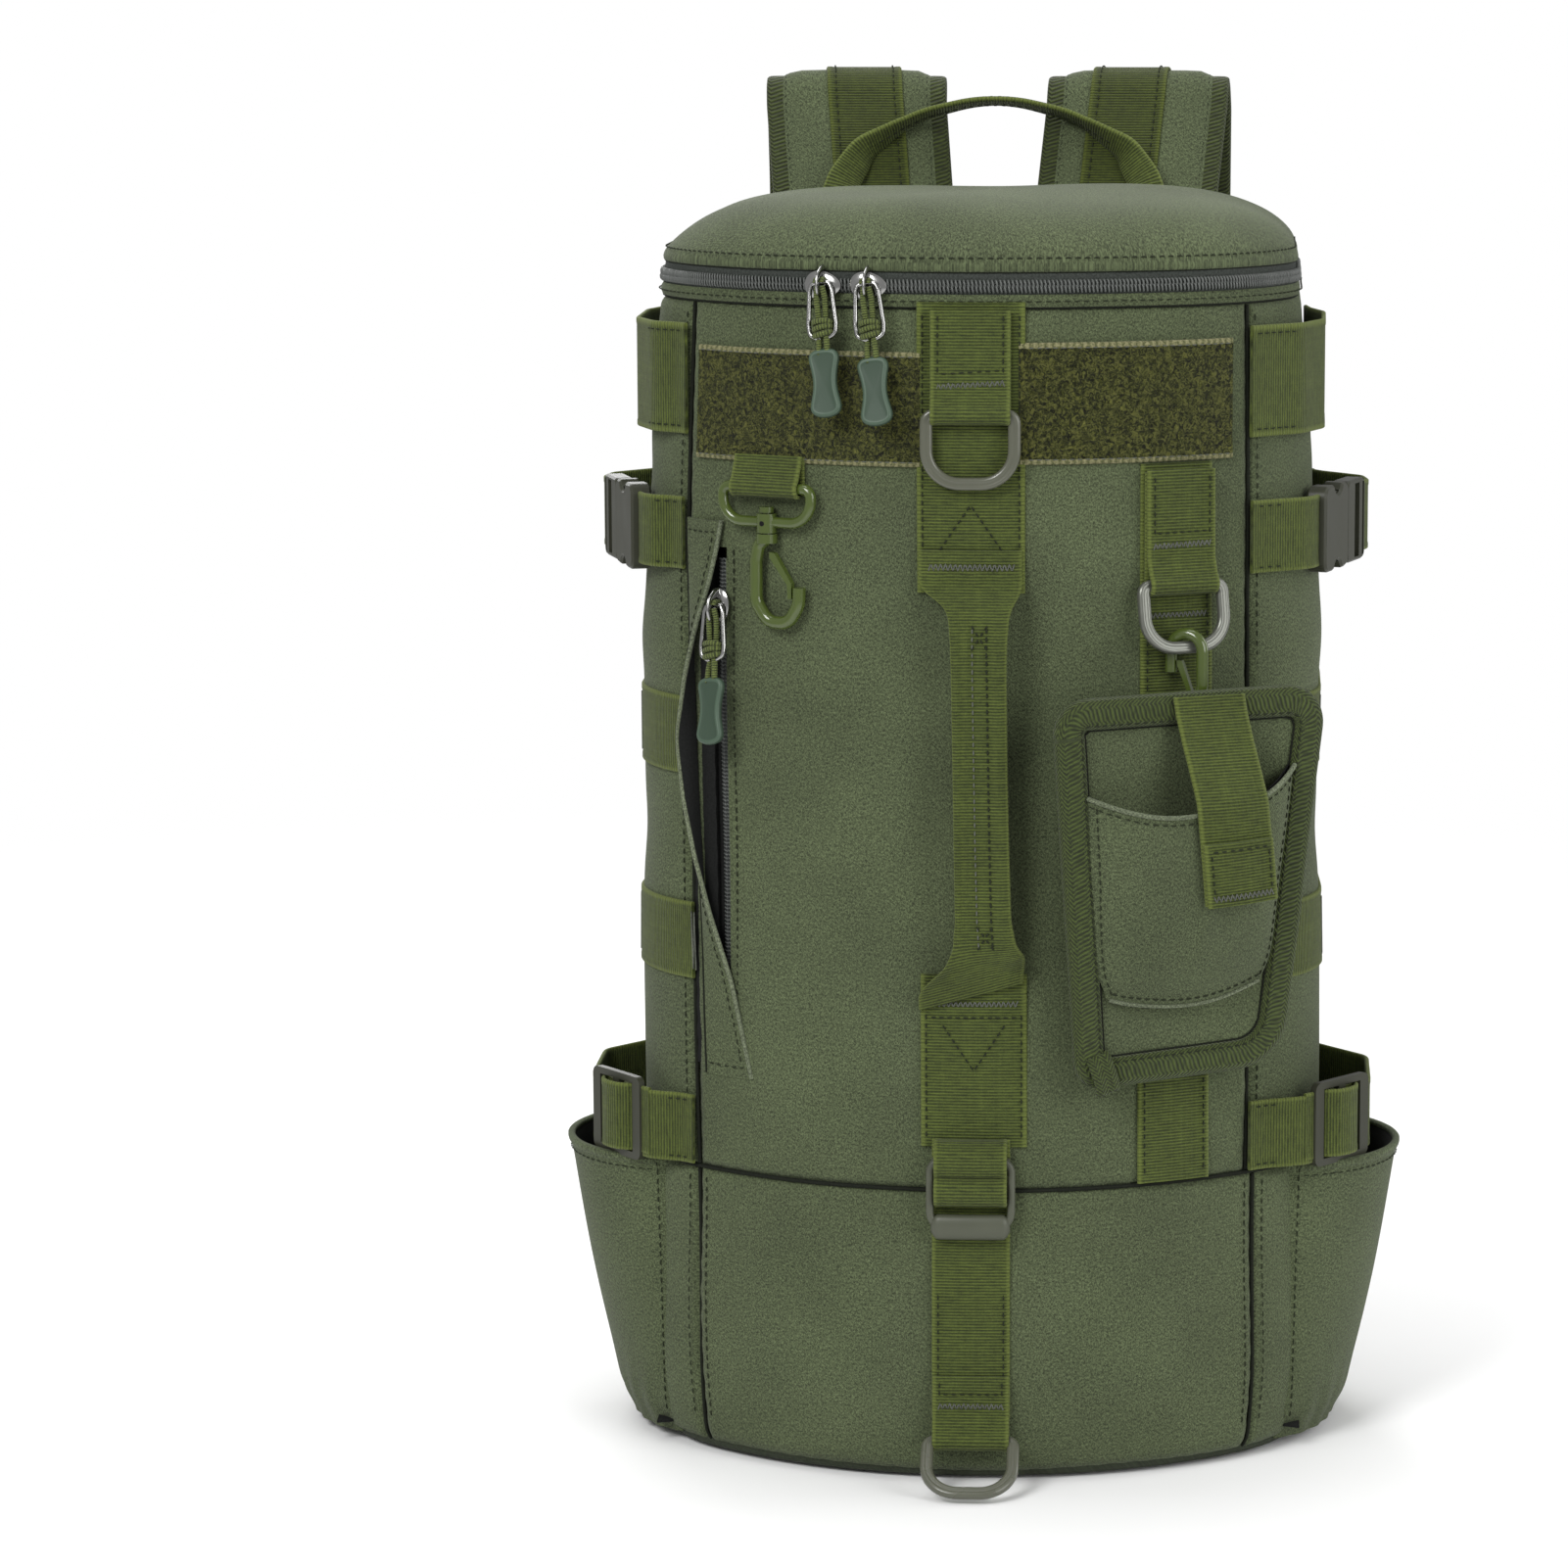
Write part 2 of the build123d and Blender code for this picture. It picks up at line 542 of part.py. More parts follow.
# Lower webbing from the ladder locks to the bottom corners of the back.
with BuildPart() as lower_webbing:
    with BuildSketch(Plane.YZ.offset(STRAP_X - 12.5)):
        with BuildLine():
            FilletPolyline((103.0, 143.0), (96.0, 105.0), (87.4, 62.0), (86.8, 24.0), radius=40)
        trace(line_width=WEB)
    extrude(amount=25.0)
    with BuildSketch(Plane.XY.offset(8.0)):
        add(SKIN[0.0])
    extrude(amount=200.0, mode=Mode.SUBTRACT)
    mirror(about=Plane.YZ)
lower_webbing.part.label = "lower_webbing"
export_step(lower_webbing.part, "parts/lower_webbing.step")

# ---- lid ------------------------------------------------------------------------------------------


def lid_front(drop):
    """The lid's outline from the front, its crown lowered by `drop`."""
    t, b = LID_TOP - drop, LID_BAND - drop
    with BuildSketch(Plane.XZ.offset(300.0)) as view:
        with BuildLine():
            Polyline((-200, b - 0.4), (-200, 400), (200, 400), (200, b - 0.4), (HALF_W + 0.5, b - 0.4))
            ThreePointArc((HALF_W + 0.5, b - 0.4), (112.0, b + 12.5), (74.0, t - 0.6))
            Line((74.0, t - 0.6), (-74.0, t - 0.6))
            ThreePointArc((-74.0, t - 0.6), (-112.0, b + 12.5), (-HALF_W - 0.5, b - 0.4))
            Line((-HALF_W - 0.5, b - 0.4), (-200, b - 0.4))
        make_face()
    return view.sketch


def lid_side(drop):
    """The lid's outline from the side."""
    t, b = LID_TOP - drop, LID_BAND - drop
    with BuildSketch(Plane.YZ.offset(-300.0)) as view:
        with BuildLine():
            Polyline((-200, b - 0.3), (-200, 400), (200, 400), (200, b - 0.3), (BACK_Y + 0.5, b - 0.3))
            ThreePointArc((BACK_Y + 0.5, b - 0.3), (74.0, b + 11.0), (46.0, t - 1.6))
            ThreePointArc((46.0, t - 1.6), (15.0, t), (-20.0, t - 1.0))
            ThreePointArc((-20.0, t - 1.0), (-62.0, b + 12.0), (-89.0, b - 0.3))
            Line((-89.0, b - 0.3), (-200, b - 0.3))
        make_face()
    return view.sketch


lid_views = [lid_front(0.0), lid_side(0.0), lid_front(2.6), lid_side(2.6)]
with BuildPart() as lid_hollow:
    with BuildSketch(Plane.XY.offset(CHAIN_HI - 1.0)):
        add(SKIN[-3.0])
    extrude(amount=60.0)
    extrude(lid_views[2], amount=-600.0, mode=Mode.INTERSECT)
    extrude(lid_views[3], amount=600.0, mode=Mode.INTERSECT)
LID_REAR = region((-400, ZIP_BACK_Y), (400, ZIP_BACK_Y), (400, 300), (-400, 300))
with BuildPart() as lid_shell:
    with BuildSketch(Plane.XY.offset(LID_Z)):
        add(SKIN[0.0])
    extrude(amount=60.0)
    with BuildSketch(Plane.XY.offset(CHAIN_HI)):
        add(SKIN[0.0])
        add(LID_REAR, mode=Mode.INTERSECT)
    extrude(amount=LID_Z - CHAIN_HI)
    extrude(lid_views[0], amount=-600.0, mode=Mode.INTERSECT)
    extrude(lid_views[1], amount=600.0, mode=Mode.INTERSECT)
    add(lid_hollow.part, mode=Mode.SUBTRACT)
lid_shell.part.label = "lid_shell"
export_step(lid_shell.part, "parts/lid_shell.step")

# Main zipper, upper half.
with BuildPart() as upper_zip_tape:
    with BuildSketch(Plane.XY.offset(CHAIN_HI)):
        add(SKIN[-0.4])
        add(SKIN[-2.6], mode=Mode.SUBTRACT)
        add(NOT_BACK, mode=Mode.INTERSECT)
    extrude(amount=LID_Z - CHAIN_HI)
    with BuildSketch(Plane.XY.offset(CHAIN_HI)):
        add(SKIN[0.6])
        add(SKIN[-0.4], mode=Mode.SUBTRACT)
        add(NOT_BACK, mode=Mode.INTERSECT)
    extrude(amount=1.3)
upper_zip_tape.part.label = "upper_zip_tape"
export_step(upper_zip_tape.part, "parts/upper_zip_tape.step")

# ---- zipper sliders and their pulls ---------------------------------------------------------------
MID_CHAIN = (CHAIN_LO + CHAIN_HI) / 2
PIVOT_OUT = 4.9
PULL_Z = MID_CHAIN + 0.9
for side in ("right", "left"):
    a = SLIDER_A[side]
    with BuildPart() as slider:
        with BuildSketch(skin_plane(a, MID_CHAIN, 0.9)):
            RectangleRounded(11.0, 8.0, 2.5)
        extrude(amount=1.5)
        with BuildSketch(skin_plane(a, MID_CHAIN, 0.9)):
            with Locations((0, 0)):
                Rectangle(3.2, 0.6)
        extrude(amount=-3.95)
        with BuildSketch(skin_plane(a, MID_CHAIN, -3.0)):
            RectangleRounded(10.0, 5.6, 2.0)
        extrude(amount=-1.5)
        with BuildSketch(cross_plane(a)):
            with Locations((4.8, PULL_Z)):
                Rectangle(5.0, 4.6)
            with Locations((PIVOT_OUT, PULL_Z)):
                Circle(1.25, mode=Mode.SUBTRACT)
        extrude(amount=1.7, both=True)
    slider.part.label = side + "_slider"
    export_step(slider.part, "parts/" + side + "_slider.step")

SIDE_PULL_Z = SIDE_ZIP_Z + 0.9
with BuildPart() as side_slider:
    with BuildSketch(skin_plane(SIDE_ZIP_A, SIDE_ZIP_Z, 0.9)):
        RectangleRounded(7.4, 11.0, 2.5)
    extrude(amount=1.5)
    with BuildSketch(skin_plane(SIDE_ZIP_A, SIDE_ZIP_Z, 0.9)):
        Rectangle(0.6, 3.2)
    extrude(amount=-3.95)
    with BuildSketch(skin_plane(SIDE_ZIP_A, SIDE_ZIP_Z, -3.0)):
        RectangleRounded(5.6, 10.0, 2.0)
    extrude(amount=-1.5)
    with BuildSketch(cross_plane(SIDE_ZIP_A)):
        with Locations((4.8, SIDE_PULL_Z)):
            Rectangle(5.0, 4.6)
        with Locations((PIVOT_OUT, SIDE_PULL_Z)):
            Circle(1.25, mode=Mode.SUBTRACT)
    extrude(amount=1.7, both=True)
side_slider.part.label = "side_slider"
export_step(side_slider.part, "parts/side_slider.step")

# Each pull is a bent wire through the slider's bail, a doubled cord knotted to it and a moulded rubber grip.
PULLS = (("right", SLIDER_A["right"], PULL_Z), ("left", SLIDER_A["left"], PULL_Z), ("side", SIDE_ZIP_A, SIDE_PULL_Z))
for side, a, z in PULLS:
    pl = skin_plane(a, z, PIVOT_OUT, PULL_TILT)
    with BuildPart() as pull_wire:
        with BuildLine(pl) as loop:
            FilletPolyline((0.5, 0), (4.0, 0), (4.8, -15.5), (1.5, -20.5), (-1.5, -20.5), (-4.8, -15.5), (-4.0, 0), (0, 0),
                           radius=[1.6, 3.0, 1.2, 1.2, 3.0, 1.6])
            Line((0, 0), (0.5, 0))
        with BuildSketch(Plane(origin=loop.line @ 0, z_dir=loop.line % 0)):
            Circle(0.9)
        sweep()
    pull_wire.part.label = side + "_pull_wire"
    export_step(pull_wire.part, "parts/" + side + "_pull_wire.step")
    with BuildPart() as pull_grip:
        with BuildSketch(pl.offset(-2.0)):
            with BuildLine():
                ThreePointArc((-6.0, -28.5), (0, -25.8), (6.0, -28.5))
                ThreePointArc((6.0, -28.5), (4.2, -38.5), (6.6, -49.0))
                ThreePointArc((6.6, -49.0), (0, -51.5), (-6.6, -49.0))
                ThreePointArc((-6.6, -49.0), (-4.2, -38.5), (-6.0, -28.5))
            make_face()
        extrude(amount=4.0)
        fillet(pull_grip.edges().filter_by(GeomType.CIRCLE), radius=0.9)
    with BuildPart() as pull_cord:
        with BuildSketch(Plane(origin=pl.from_local_coords((0, -21.5, 0)), x_dir=pl.x_dir, z_dir=-pl.y_dir)):
            with Locations((-1.6, 0), (1.6, 0)):
                Circle(1.3)
        extrude(amount=4.5)
    pull_body = pull_grip.part + pull_cord.part
    pull_body.label = side + "_pull_grip"
    export_step(pull_body, "parts/" + side + "_pull_grip.step")

# ---- D-rings --------------------------------------------------------------------------------------
HALF_RING = RING_W / 2 - RING_WIRE
RINGS = (("top_ring", skin_plane(0.0, TOP_BAR_Z, TOP_OUT), 25.0),
         ("right_ring", skin_plane(RIGHT_A, RIGHT_BAR_Z, RIGHT_OUT, 10.0), 23.0),
         ("bottom_ring", skin_plane(0.0, BOTTOM_BAR_Z, TOP_OUT, 55.0), 24.5))
for name, pl, drop in RINGS:
    with BuildPart() as ring:
        with BuildLine(pl) as loop:
            FilletPolyline((1, 0), (HALF_RING, 0), (HALF_RING, -drop), (-HALF_RING, -drop), (-HALF_RING, 0), (0, 0),
                           radius=[2.4, HALF_RING - 0.1, HALF_RING - 0.1, 2.4])
            Line((0, 0), (1, 0))
        with BuildSketch(Plane(origin=loop.line @ 0, z_dir=loop.line % 0)):
            Circle(RING_WIRE)
        sweep()
    ring.part.label = name
    export_step(ring.part, "parts/" + name + ".step")

# ---- snap hook on the left ------------------------------------------------------------------------
# Eye: a D of round bar in the webbing tab, with a boss that the hook's stem turns in.
EYE = skin_plane(HOOK_A, HOOK_BAR_Z, HOOK_OUT)
with BuildPart() as hook_eye:
    with BuildLine(EYE) as loop:
        FilletPolyline((1, 0), (18.6, 0), (18.6, -12.6), (-18.6, -12.6), (-18.6, 0), (0, 0), radius=[3.0, 8.5, 8.5, 3.0])
        Line((0, 0), (1, 0))
    with BuildSketch(Plane(origin=loop.line @ 0, z_dir=loop.line % 0)):
        Circle(RING_WIRE)
    sweep()
    with BuildSketch(Plane.XY.offset(HOOK_BAR_Z - 16.4)):
        with Locations((EYE.origin.X, EYE.origin.Y)):
            Circle(3.7)
    extrude(amount=7.0)
    with BuildSketch(Plane.XY.offset(HOOK_BAR_Z - 20.0)):
        with Locations((EYE.origin.X, EYE.origin.Y)):
            Circle(1.9)
    extrude(amount=14.0, mode=Mode.SUBTRACT)
hook_eye.part.label = "hook_eye"
export_step(hook_eye.part, "parts/hook_eye.step")

# Hook: stem with a head in the eye, collar, and a J of round bar that opens to the right.
J_POINTS = [(0, -18.2), (-3.4, -21.5), (-4.6, -27.0), (-4.6, -42.0), (0.5, -49.3), (9.0, -49.3), (13.4, -42.5), (13.6, -36.0)]
J_RADII = [3.0, 8.0, 6.5, 6.5, 6.0, 8.0]
with BuildPart() as hook_body:
    with BuildLine(EYE) as path:
        FilletPolyline(*J_POINTS, radius=J_RADII)
    with BuildSketch(Plane(origin=path.line @ 0, z_dir=path.line % 0)):
        Circle(2.4)
    sweep()
    with BuildSketch(Plane.XY.offset(HOOK_BAR_Z - 20.2)):
        with Locations((EYE.origin.X, EYE.origin.Y)):
            Circle(3.9)
    extrude(amount=3.4)
    with BuildSketch(Plane.XY.offset(HOOK_BAR_Z - 18.0)):
        with Locations((EYE.origin.X, EYE.origin.Y)):
            Circle(1.6)
    extrude(amount=10.0)
    with BuildSketch(Plane.XY.offset(HOOK_BAR_Z - 9.0)):
        with Locations((EYE.origin.X, EYE.origin.Y)):
            Circle(2.7)
    extrude(amount=2.0)
hook_body.part.label = "hook_body"
export_step(hook_body.part, "parts/hook_body.step")

# Spring gate of the hook, hinged beside the collar and closing behind the hook's tip.
GATE_X, GATE_Y = 2.6, -24.4
with BuildPart() as hook_gate:
    with BuildSketch(EYE.offset(-1.2)):
        with BuildLine():
            Polyline((GATE_X - 1.0, GATE_Y + 1.0), (GATE_X + 1.2, GATE_Y + 0.6), (10.9, -34.5), (10.9, -40.2),
                     (9.3, -40.2), (9.0, -35.0), (GATE_X - 1.0, GATE_Y - 1.0), close=True)
        make_face()
    extrude(amount=2.4)
hook_gate.part.label = "hook_gate"
export_step(hook_gate.part, "parts/hook_gate.step")

# ---- pouch on the right D-ring --------------------------------------------------------------------
# The hook is turned about the upright so that its spine passes in front of the ring's wire and its tip behind.
RING_DROP = 23.0
RING_FOOT_OUT = RIGHT_OUT + RING_DROP * sin(radians(10.0))
RING_FOOT_Z = RIGHT_BAR_Z - RING_DROP * cos(radians(10.0))
HOOK_TURN = 50.0
HW = 6.2
ca, sa = cos(radians(RIGHT_A)), sin(radians(RIGHT_A))
foot = skin(RIGHT_A, RING_FOOT_Z, RING_FOOT_OUT)
turn = radians(HOOK_TURN)
h_dir = Vector(ca * cos(turn) + sa * sin(turn), sa * cos(turn) - ca * sin(turn), 0)
n_dir = h_dir.cross(Vector(0, 0, 1))
J_PLANE = Plane(origin=Vector(foot.X, foot.Y, RING_FOOT_Z - 1.2), x_dir=h_dir, z_dir=n_dir)
swivel = J_PLANE.from_local_coords((HW - 1.4, 0, 0))
SWIVEL_XY = (swivel.X, swivel.Y)
with BuildPart() as pouch_hook:
    with BuildLine(J_PLANE) as path:
        Line((-HW, -8.0), (-HW, 0))
        ThreePointArc((-HW, 0), (0, HW), (HW, 0))
        FilletPolyline((HW, 0), (HW, -13.0), (HW - 1.4, -17.0), (HW - 1.4, -18.5), radius=3)
    with BuildSketch(Plane(origin=path.line @ 0, z_dir=path.line % 0)):
        Circle(2.2)
    sweep()
    with BuildSketch(Plane.XY.offset(J_PLANE.origin.Z - 20.2)):
        with Locations(SWIVEL_XY):
            Circle(3.6)
    extrude(amount=3.4)
    with BuildSketch(Plane.XY.offset(J_PLANE.origin.Z - 29.0)):
        with Locations(SWIVEL_XY):
            Circle(1.6)
    extrude(amount=10.0)
    with BuildSketch(Plane.XY.offset(J_PLANE.origin.Z - 30.8)):
        with Locations(SWIVEL_XY):
            Circle(2.7)
    extrude(amount=2.0)
pouch_hook.part.label = "pouch_hook"
export_step(pouch_hook.part, "parts/pouch_hook.step")

with BuildPart() as pouch_gate:
    with BuildSketch(J_PLANE.offset(-1.1)):
        with BuildLine():
            Polyline((HW - 5.6, -14.6), (HW - 3.8, -14.6), (-HW + 4.6, -3.6), (-HW + 2.7, -3.6), (-HW + 2.7, -5.0), close=True)
        make_face()
    extrude(amount=2.2)
pouch_gate.part.label = "pouch_gate"
export_step(pouch_gate.part, "parts/pouch_gate.step")

# The pouch hangs from an eye behind its top edge, its foot leaning in toward the bag.
POUCH_TOP_Z, POUCH_TOP_OUT, POUCH_LEAN = 298.0, 18.2, -4.5
PP = skin_plane(POUCH_A, POUCH_TOP_Z, POUCH_TOP_OUT, POUCH_LEAN)
POUCH_H = 146.0
with BuildPart() as pouch_eye:
    eye_top = J_PLANE.origin.Z - 27.0
    ep = Plane(origin=(swivel.X, swivel.Y, eye_top), x_dir=(ca, sa, 0), z_dir=(sa, -ca, 0))
    with BuildLine(ep) as loop:
        FilletPolyline((1, 2.4), (15, 2.4), (15, -8.6), (-15, -8.6), (-15, 2.4), (0, 2.4), radius=[7.0, 3.0, 3.0, 7.0])
        Line((0, 2.4), (1, 2.4))
    with BuildSketch(Plane(origin=loop.line @ 0, z_dir=loop.line % 0)):
        Circle(1.7)
    sweep()
    with BuildSketch(Plane.XY.offset(eye_top - 0.6)):
        with Locations(SWIVEL_XY):
            Circle(3.6)
    extrude(amount=7.0 - 0.6)
    with BuildSketch(Plane.XY.offset(eye_top - 4.0)):
        with Locations(SWIVEL_XY):
            Circle(1.9)
    extrude(amount=16.0, mode=Mode.SUBTRACT)
pouch_eye.part.label = "pouch_eye"
export_step(pouch_eye.part, "parts/pouch_eye.step")


def pouch_outline(inset):
    """The pouch's outline, narrower at the foot, with rounded corners."""
    t, b, lo = 54.5 - inset, 42.0 - inset, -POUCH_H + inset
    with BuildSketch() as outline:
        with BuildLine() as edge:
            Polyline((-t, -inset), (t, -inset), (b, lo), (-b, lo), close=True)
        make_face()
        fillet(outline.vertices(), radius=max(13.0 - inset, 4.0))
    return outline.sketch


POUCH_FULL, POUCH_INNER = pouch_outline(0.0), pouch_outline(9.5)
with BuildPart() as pouch_panel:
    with BuildSketch(PP.offset(0.8)):
        add(POUCH_INNER)
    extrude(amount=3.4)
pouch_panel.part.label = "pouch_panel"
export_step(pouch_panel.part, "parts/pouch_panel.step")

with BuildPart() as pouch_binding:
    with BuildSketch(PP):
        add(POUCH_FULL)
        add(POUCH_INNER, mode=Mode.SUBTRACT)
    extrude(amount=5.4)
pouch_binding.part.label = "pouch_binding"
export_step(pouch_binding.part, "parts/pouch_binding.step")

# Webbing that holds the eye, sewn to the back of the pouch.
with BuildPart() as pouch_hanger:
    with BuildSketch(Plane(origin=ep.origin, x_dir=ep.z_dir, z_dir=-ep.x_dir)):
        with Locations((0, -8.6)):
            Circle(3.5)
            Circle(2.0, mode=Mode.SUBTRACT)
        with Locations((2.75, -24.0)):
            Rectangle(1.5, 31.0)
        with Locations((0, -8.6)):
            Circle(2.0, mode=Mode.SUBTRACT)
    extrude(amount=11.0, both=True)
    with BuildSketch(PP):
        with Locations((0, -70)):
            Rectangle(200, 200)
    extrude(amount=30.0, mode=Mode.SUBTRACT)
pouch_hanger.part.label = "pouch_hanger"
export_step(pouch_hanger.part, "parts/pouch_hanger.step")

# Open-topped pocket on the front of the pouch.
PX = Plane(origin=PP.origin, x_dir=PP.z_dir, z_dir=-PP.x_dir)
with BuildPart() as pouch_pocket:
    with BuildSketch(PX):
        with BuildLine():
            Polyline((5.4, -36.5), (5.4, -117.0), (13.0, -113.0), (18.5, -96.0), (19.5, -36.5), close=True)
        make_face()
    extrude(amount=42.0, both=True)
    with BuildSketch(PX):
        with BuildLine():
            Polyline((5.4, -30.0), (5.4, -112.8), (12.0, -109.5), (17.0, -94.5), (18.0, -30.0), close=True)
        make_face()
    extrude(amount=40.5, both=True, mode=Mode.SUBTRACT)
    with BuildSketch(PP.offset(3.0)):
        with BuildLine():
            Polyline((-45.0, -20.0), (45.0, -20.0), (35.5, -125.0), (-35.5, -125.0), close=True)
        make_face()
    extrude(amount=30.0, mode=Mode.INTERSECT)
pouch_pocket.part.label = "pouch_pocket"
export_step(pouch_pocket.part, "parts/pouch_pocket.step")

# Closing tab, from the top binding down over the pocket's mouth.
TAB_X = 6.5
with BuildPart() as pouch_tab:
    with BuildSketch(PX.offset(-TAB_X)):
        with BuildLine():
            FilletPolyline((6.9, -1.5), (7.6, -7.0), (21.3, -34.0), (21.3, -72.0), radius=[3.0, 12.0])
        trace(line_width=2.2)
    extrude(amount=13.5, both=True)
pouch_tab.part.label = "pouch_tab"
export_step(pouch_tab.part, "parts/pouch_tab.step")

# ---- centre tri-glide -----------------------------------------------------------------------------
TG = skin_plane(0.0, 107.0, 0.0)
with BuildPart() as centre_triglide:
    with BuildSketch(TG.offset(7.0)):
        RectangleRounded(36.0, 34.0, 4.0)
        with Locations((0, 1.2)):
            Rectangle(29.2, 21.4, mode=Mode.SUBTRACT)
    extrude(amount=2.8)
    with BuildSketch(TG.offset(2.0)):
        with Locations((-16.3, 0), (16.3, 0)):
            Rectangle(3.4, 26.0)
    extrude(amount=5.4)
    with BuildSketch(TG.offset(2.0)):
        with Locations((0, 1.2)):
            Rectangle(33.0, 5.4)
    extrude(amount=2.2)
centre_triglide.part.label = "centre_triglide"
export_step(centre_triglide.part, "parts/centre_triglide.step")

# ---- carry handle ---------------------------------------------------------------------------------
lean = radians(HANDLE_LEAN)
HP = Plane(origin=(0, HANDLE_Y, HANDLE_Z), x_dir=(1, 0, 0), z_dir=(0, -cos(lean), sin(lean)))
with BuildPart() as carry_handle:
    with BuildSketch(HP.offset(-2.5)):
        with BuildLine():
            FilletPolyline((-60, 0), (-60, 52), (-30, 84), (30, 84), (60, 52), (60, 0), radius=[14.0, 16.0, 16.0, 14.0])
        trace(line_width=9.0)
    extrude(amount=5.0)
    with BuildSketch(HP.offset(-1.2)):
        with Locations((-60, 14), (60, 14)):
            RectangleRounded(24.0, 28.0, 3.0)
    extrude(amount=2.4)
carry_handle.part.label = "carry_handle"
export_step(carry_handle.part, "parts/carry_handle.step")
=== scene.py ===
import math

import bmesh
import bpy
import numpy as np
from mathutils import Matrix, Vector


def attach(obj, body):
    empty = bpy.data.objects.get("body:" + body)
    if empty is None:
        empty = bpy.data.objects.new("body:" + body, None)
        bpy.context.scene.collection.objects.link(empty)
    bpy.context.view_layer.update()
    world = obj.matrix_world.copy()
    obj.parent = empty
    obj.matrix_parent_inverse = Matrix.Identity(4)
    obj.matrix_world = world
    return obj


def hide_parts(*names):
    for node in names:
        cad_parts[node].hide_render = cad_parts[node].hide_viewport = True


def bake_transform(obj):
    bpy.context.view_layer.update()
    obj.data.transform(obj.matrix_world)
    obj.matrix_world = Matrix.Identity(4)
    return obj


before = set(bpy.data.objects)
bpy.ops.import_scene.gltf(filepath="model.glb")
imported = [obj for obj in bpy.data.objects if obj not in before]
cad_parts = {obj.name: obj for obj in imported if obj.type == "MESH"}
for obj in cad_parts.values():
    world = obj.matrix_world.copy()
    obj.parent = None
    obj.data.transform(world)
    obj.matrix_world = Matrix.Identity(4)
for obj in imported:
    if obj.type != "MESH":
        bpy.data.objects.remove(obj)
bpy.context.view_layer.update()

RNG = np.random.default_rng(11)
S = 0.001            # everything below is in millimetres and scaled once, when a mesh is made
R, CY, SEAM = 165.0, 77.0, 38.94
TAU = 2 * math.pi


# =================================================================================================
# geometry helpers
# =================================================================================================
def sstep(x, a, b):
    t = np.clip((np.asarray(x, float) - a) / (b - a), 0, 1)
    return t * t * (3 - 2 * t)


def sk(a, z, out=0.0):
    """Point on the curved front: angle in degrees, height, distance outside the skin."""
    a = np.radians(np.asarray(a, float))
    x, y, z = np.broadcast_arrays((R + out) * np.sin(a), CY - (R + out) * np.cos(a), z)
    return np.stack([x, y, z], -1)


def sk_t(a):
    a = math.radians(a)
    return np.array([math.cos(a), math.sin(a), 0.0])


def sk_n(a):
    a = math.radians(a)
    return np.array([math.sin(a), -math.cos(a), 0.0])


UP = np.array([0.0, 0.0, 1.0])
SEG = np.array([R * math.radians(SEAM), 60 * math.radians(90 - SEAM), 70.66, 20 * math.pi / 2, 106.0])
CUM = np.concatenate([[0], np.cumsum(SEG)])
HALF = CUM[-1]


def outl(s, d=0.0):
    """Outline of the bag by arc length from the front centre. Returns x, y and the outward normal."""
    s, d = np.broadcast_arrays(np.asarray(s, float), np.asarray(d, float))
    sg, q = np.where(s < 0, -1.0, 1.0), np.minimum(np.abs(s), HALF)
    a1 = q / R
    a2 = math.radians(SEAM) + (q - CUM[1]) / 60.0
    a4 = math.pi / 2 + (q - CUM[3]) / 20.0
    conds = [q <= CUM[1], q <= CUM[2], q <= CUM[3], q <= CUM[4]]
    nx = np.select(conds, [np.sin(a1), np.sin(a2), np.ones_like(q), np.sin(a4)], 0.0)
    ny = np.select(conds, [-np.cos(a1), -np.cos(a2), np.zeros_like(q), -np.cos(a4)], 1.0)
    x0 = np.select(conds, [R * np.sin(a1), 66 + 60 * np.sin(a2), np.full_like(q, 126.0), 106 + 20 * np.sin(a4)],
                   HALF - q)
    y0 = np.select(conds, [CY - R * np.cos(a1), -4.66 - 60 * np.cos(a2), -4.66 + (q - CUM[2]), 66 - 20 * np.cos(a4)],
                   86.0)
    return sg * (x0 + nx * d), y0 + ny * d, sg * nx, ny


def taper(P, amount=1.0):
    """The soft bag is a little narrower at its mouth than at its foot."""
    P = np.array(P, float)
    x, z = P[..., 0], P[..., 2]
    k = sstep(np.abs(x), 78, 122) * amount
    drop = 7.5 * np.clip((z - 310) / 135.0, 0, 1.1) ** 1.6
    P[..., 0] = x - np.sign(x) * k * (drop - 2.0 * (1 - sstep(z, 120, 260)) * sstep(z, 4, 40))
    return P


def wob(s, z):
    """Slow unevenness of the fabric."""
    return (0.60 * np.sin(s / 37 + 1.3) * np.sin(z / 52 + 0.4) + 0.34 * np.sin(s / 21 + z / 33 + 2.0)
            + 0.20 * np.sin(s / 12.5 - z / 17 + 0.7))


def seam_drift(z, left):
    """How far round the bag a front seam wanders with height, from the mean line."""
    if left:
        return np.interp(z, [100, 111, 150, 250, 330, 436], [0.0, -4.6, -4.4, -1.4, 0.4, 4.0])
    return np.interp(z, [100, 111, 330, 436], [0.0, 0.0, 0.3, 3.8])


def body_pt(s, z, d=0.0, k=1.0):
    """Point on the soft bag, d outside the uneven skin."""
    s, z, d = np.broadcast_arrays(np.asarray(s, float), np.asarray(z, float), np.asarray(d, float))
    near = np.exp(-((np.abs(s) - 113.0) / 19.0) ** 2) * (z > 111.0)
    s = s + near * np.where(s < 0, -seam_drift(z, True), seam_drift(z, False))
    x, y, _, _ = outl(s, d + k * wob(s, z))
    return taper(np.stack([x, y, z], -1))


def front(a, z, out=0.0, k=1.0):
    """Point on the soft front by angle."""
    return body_pt(np.radians(np.asarray(a, float)) * R, z, out, k)


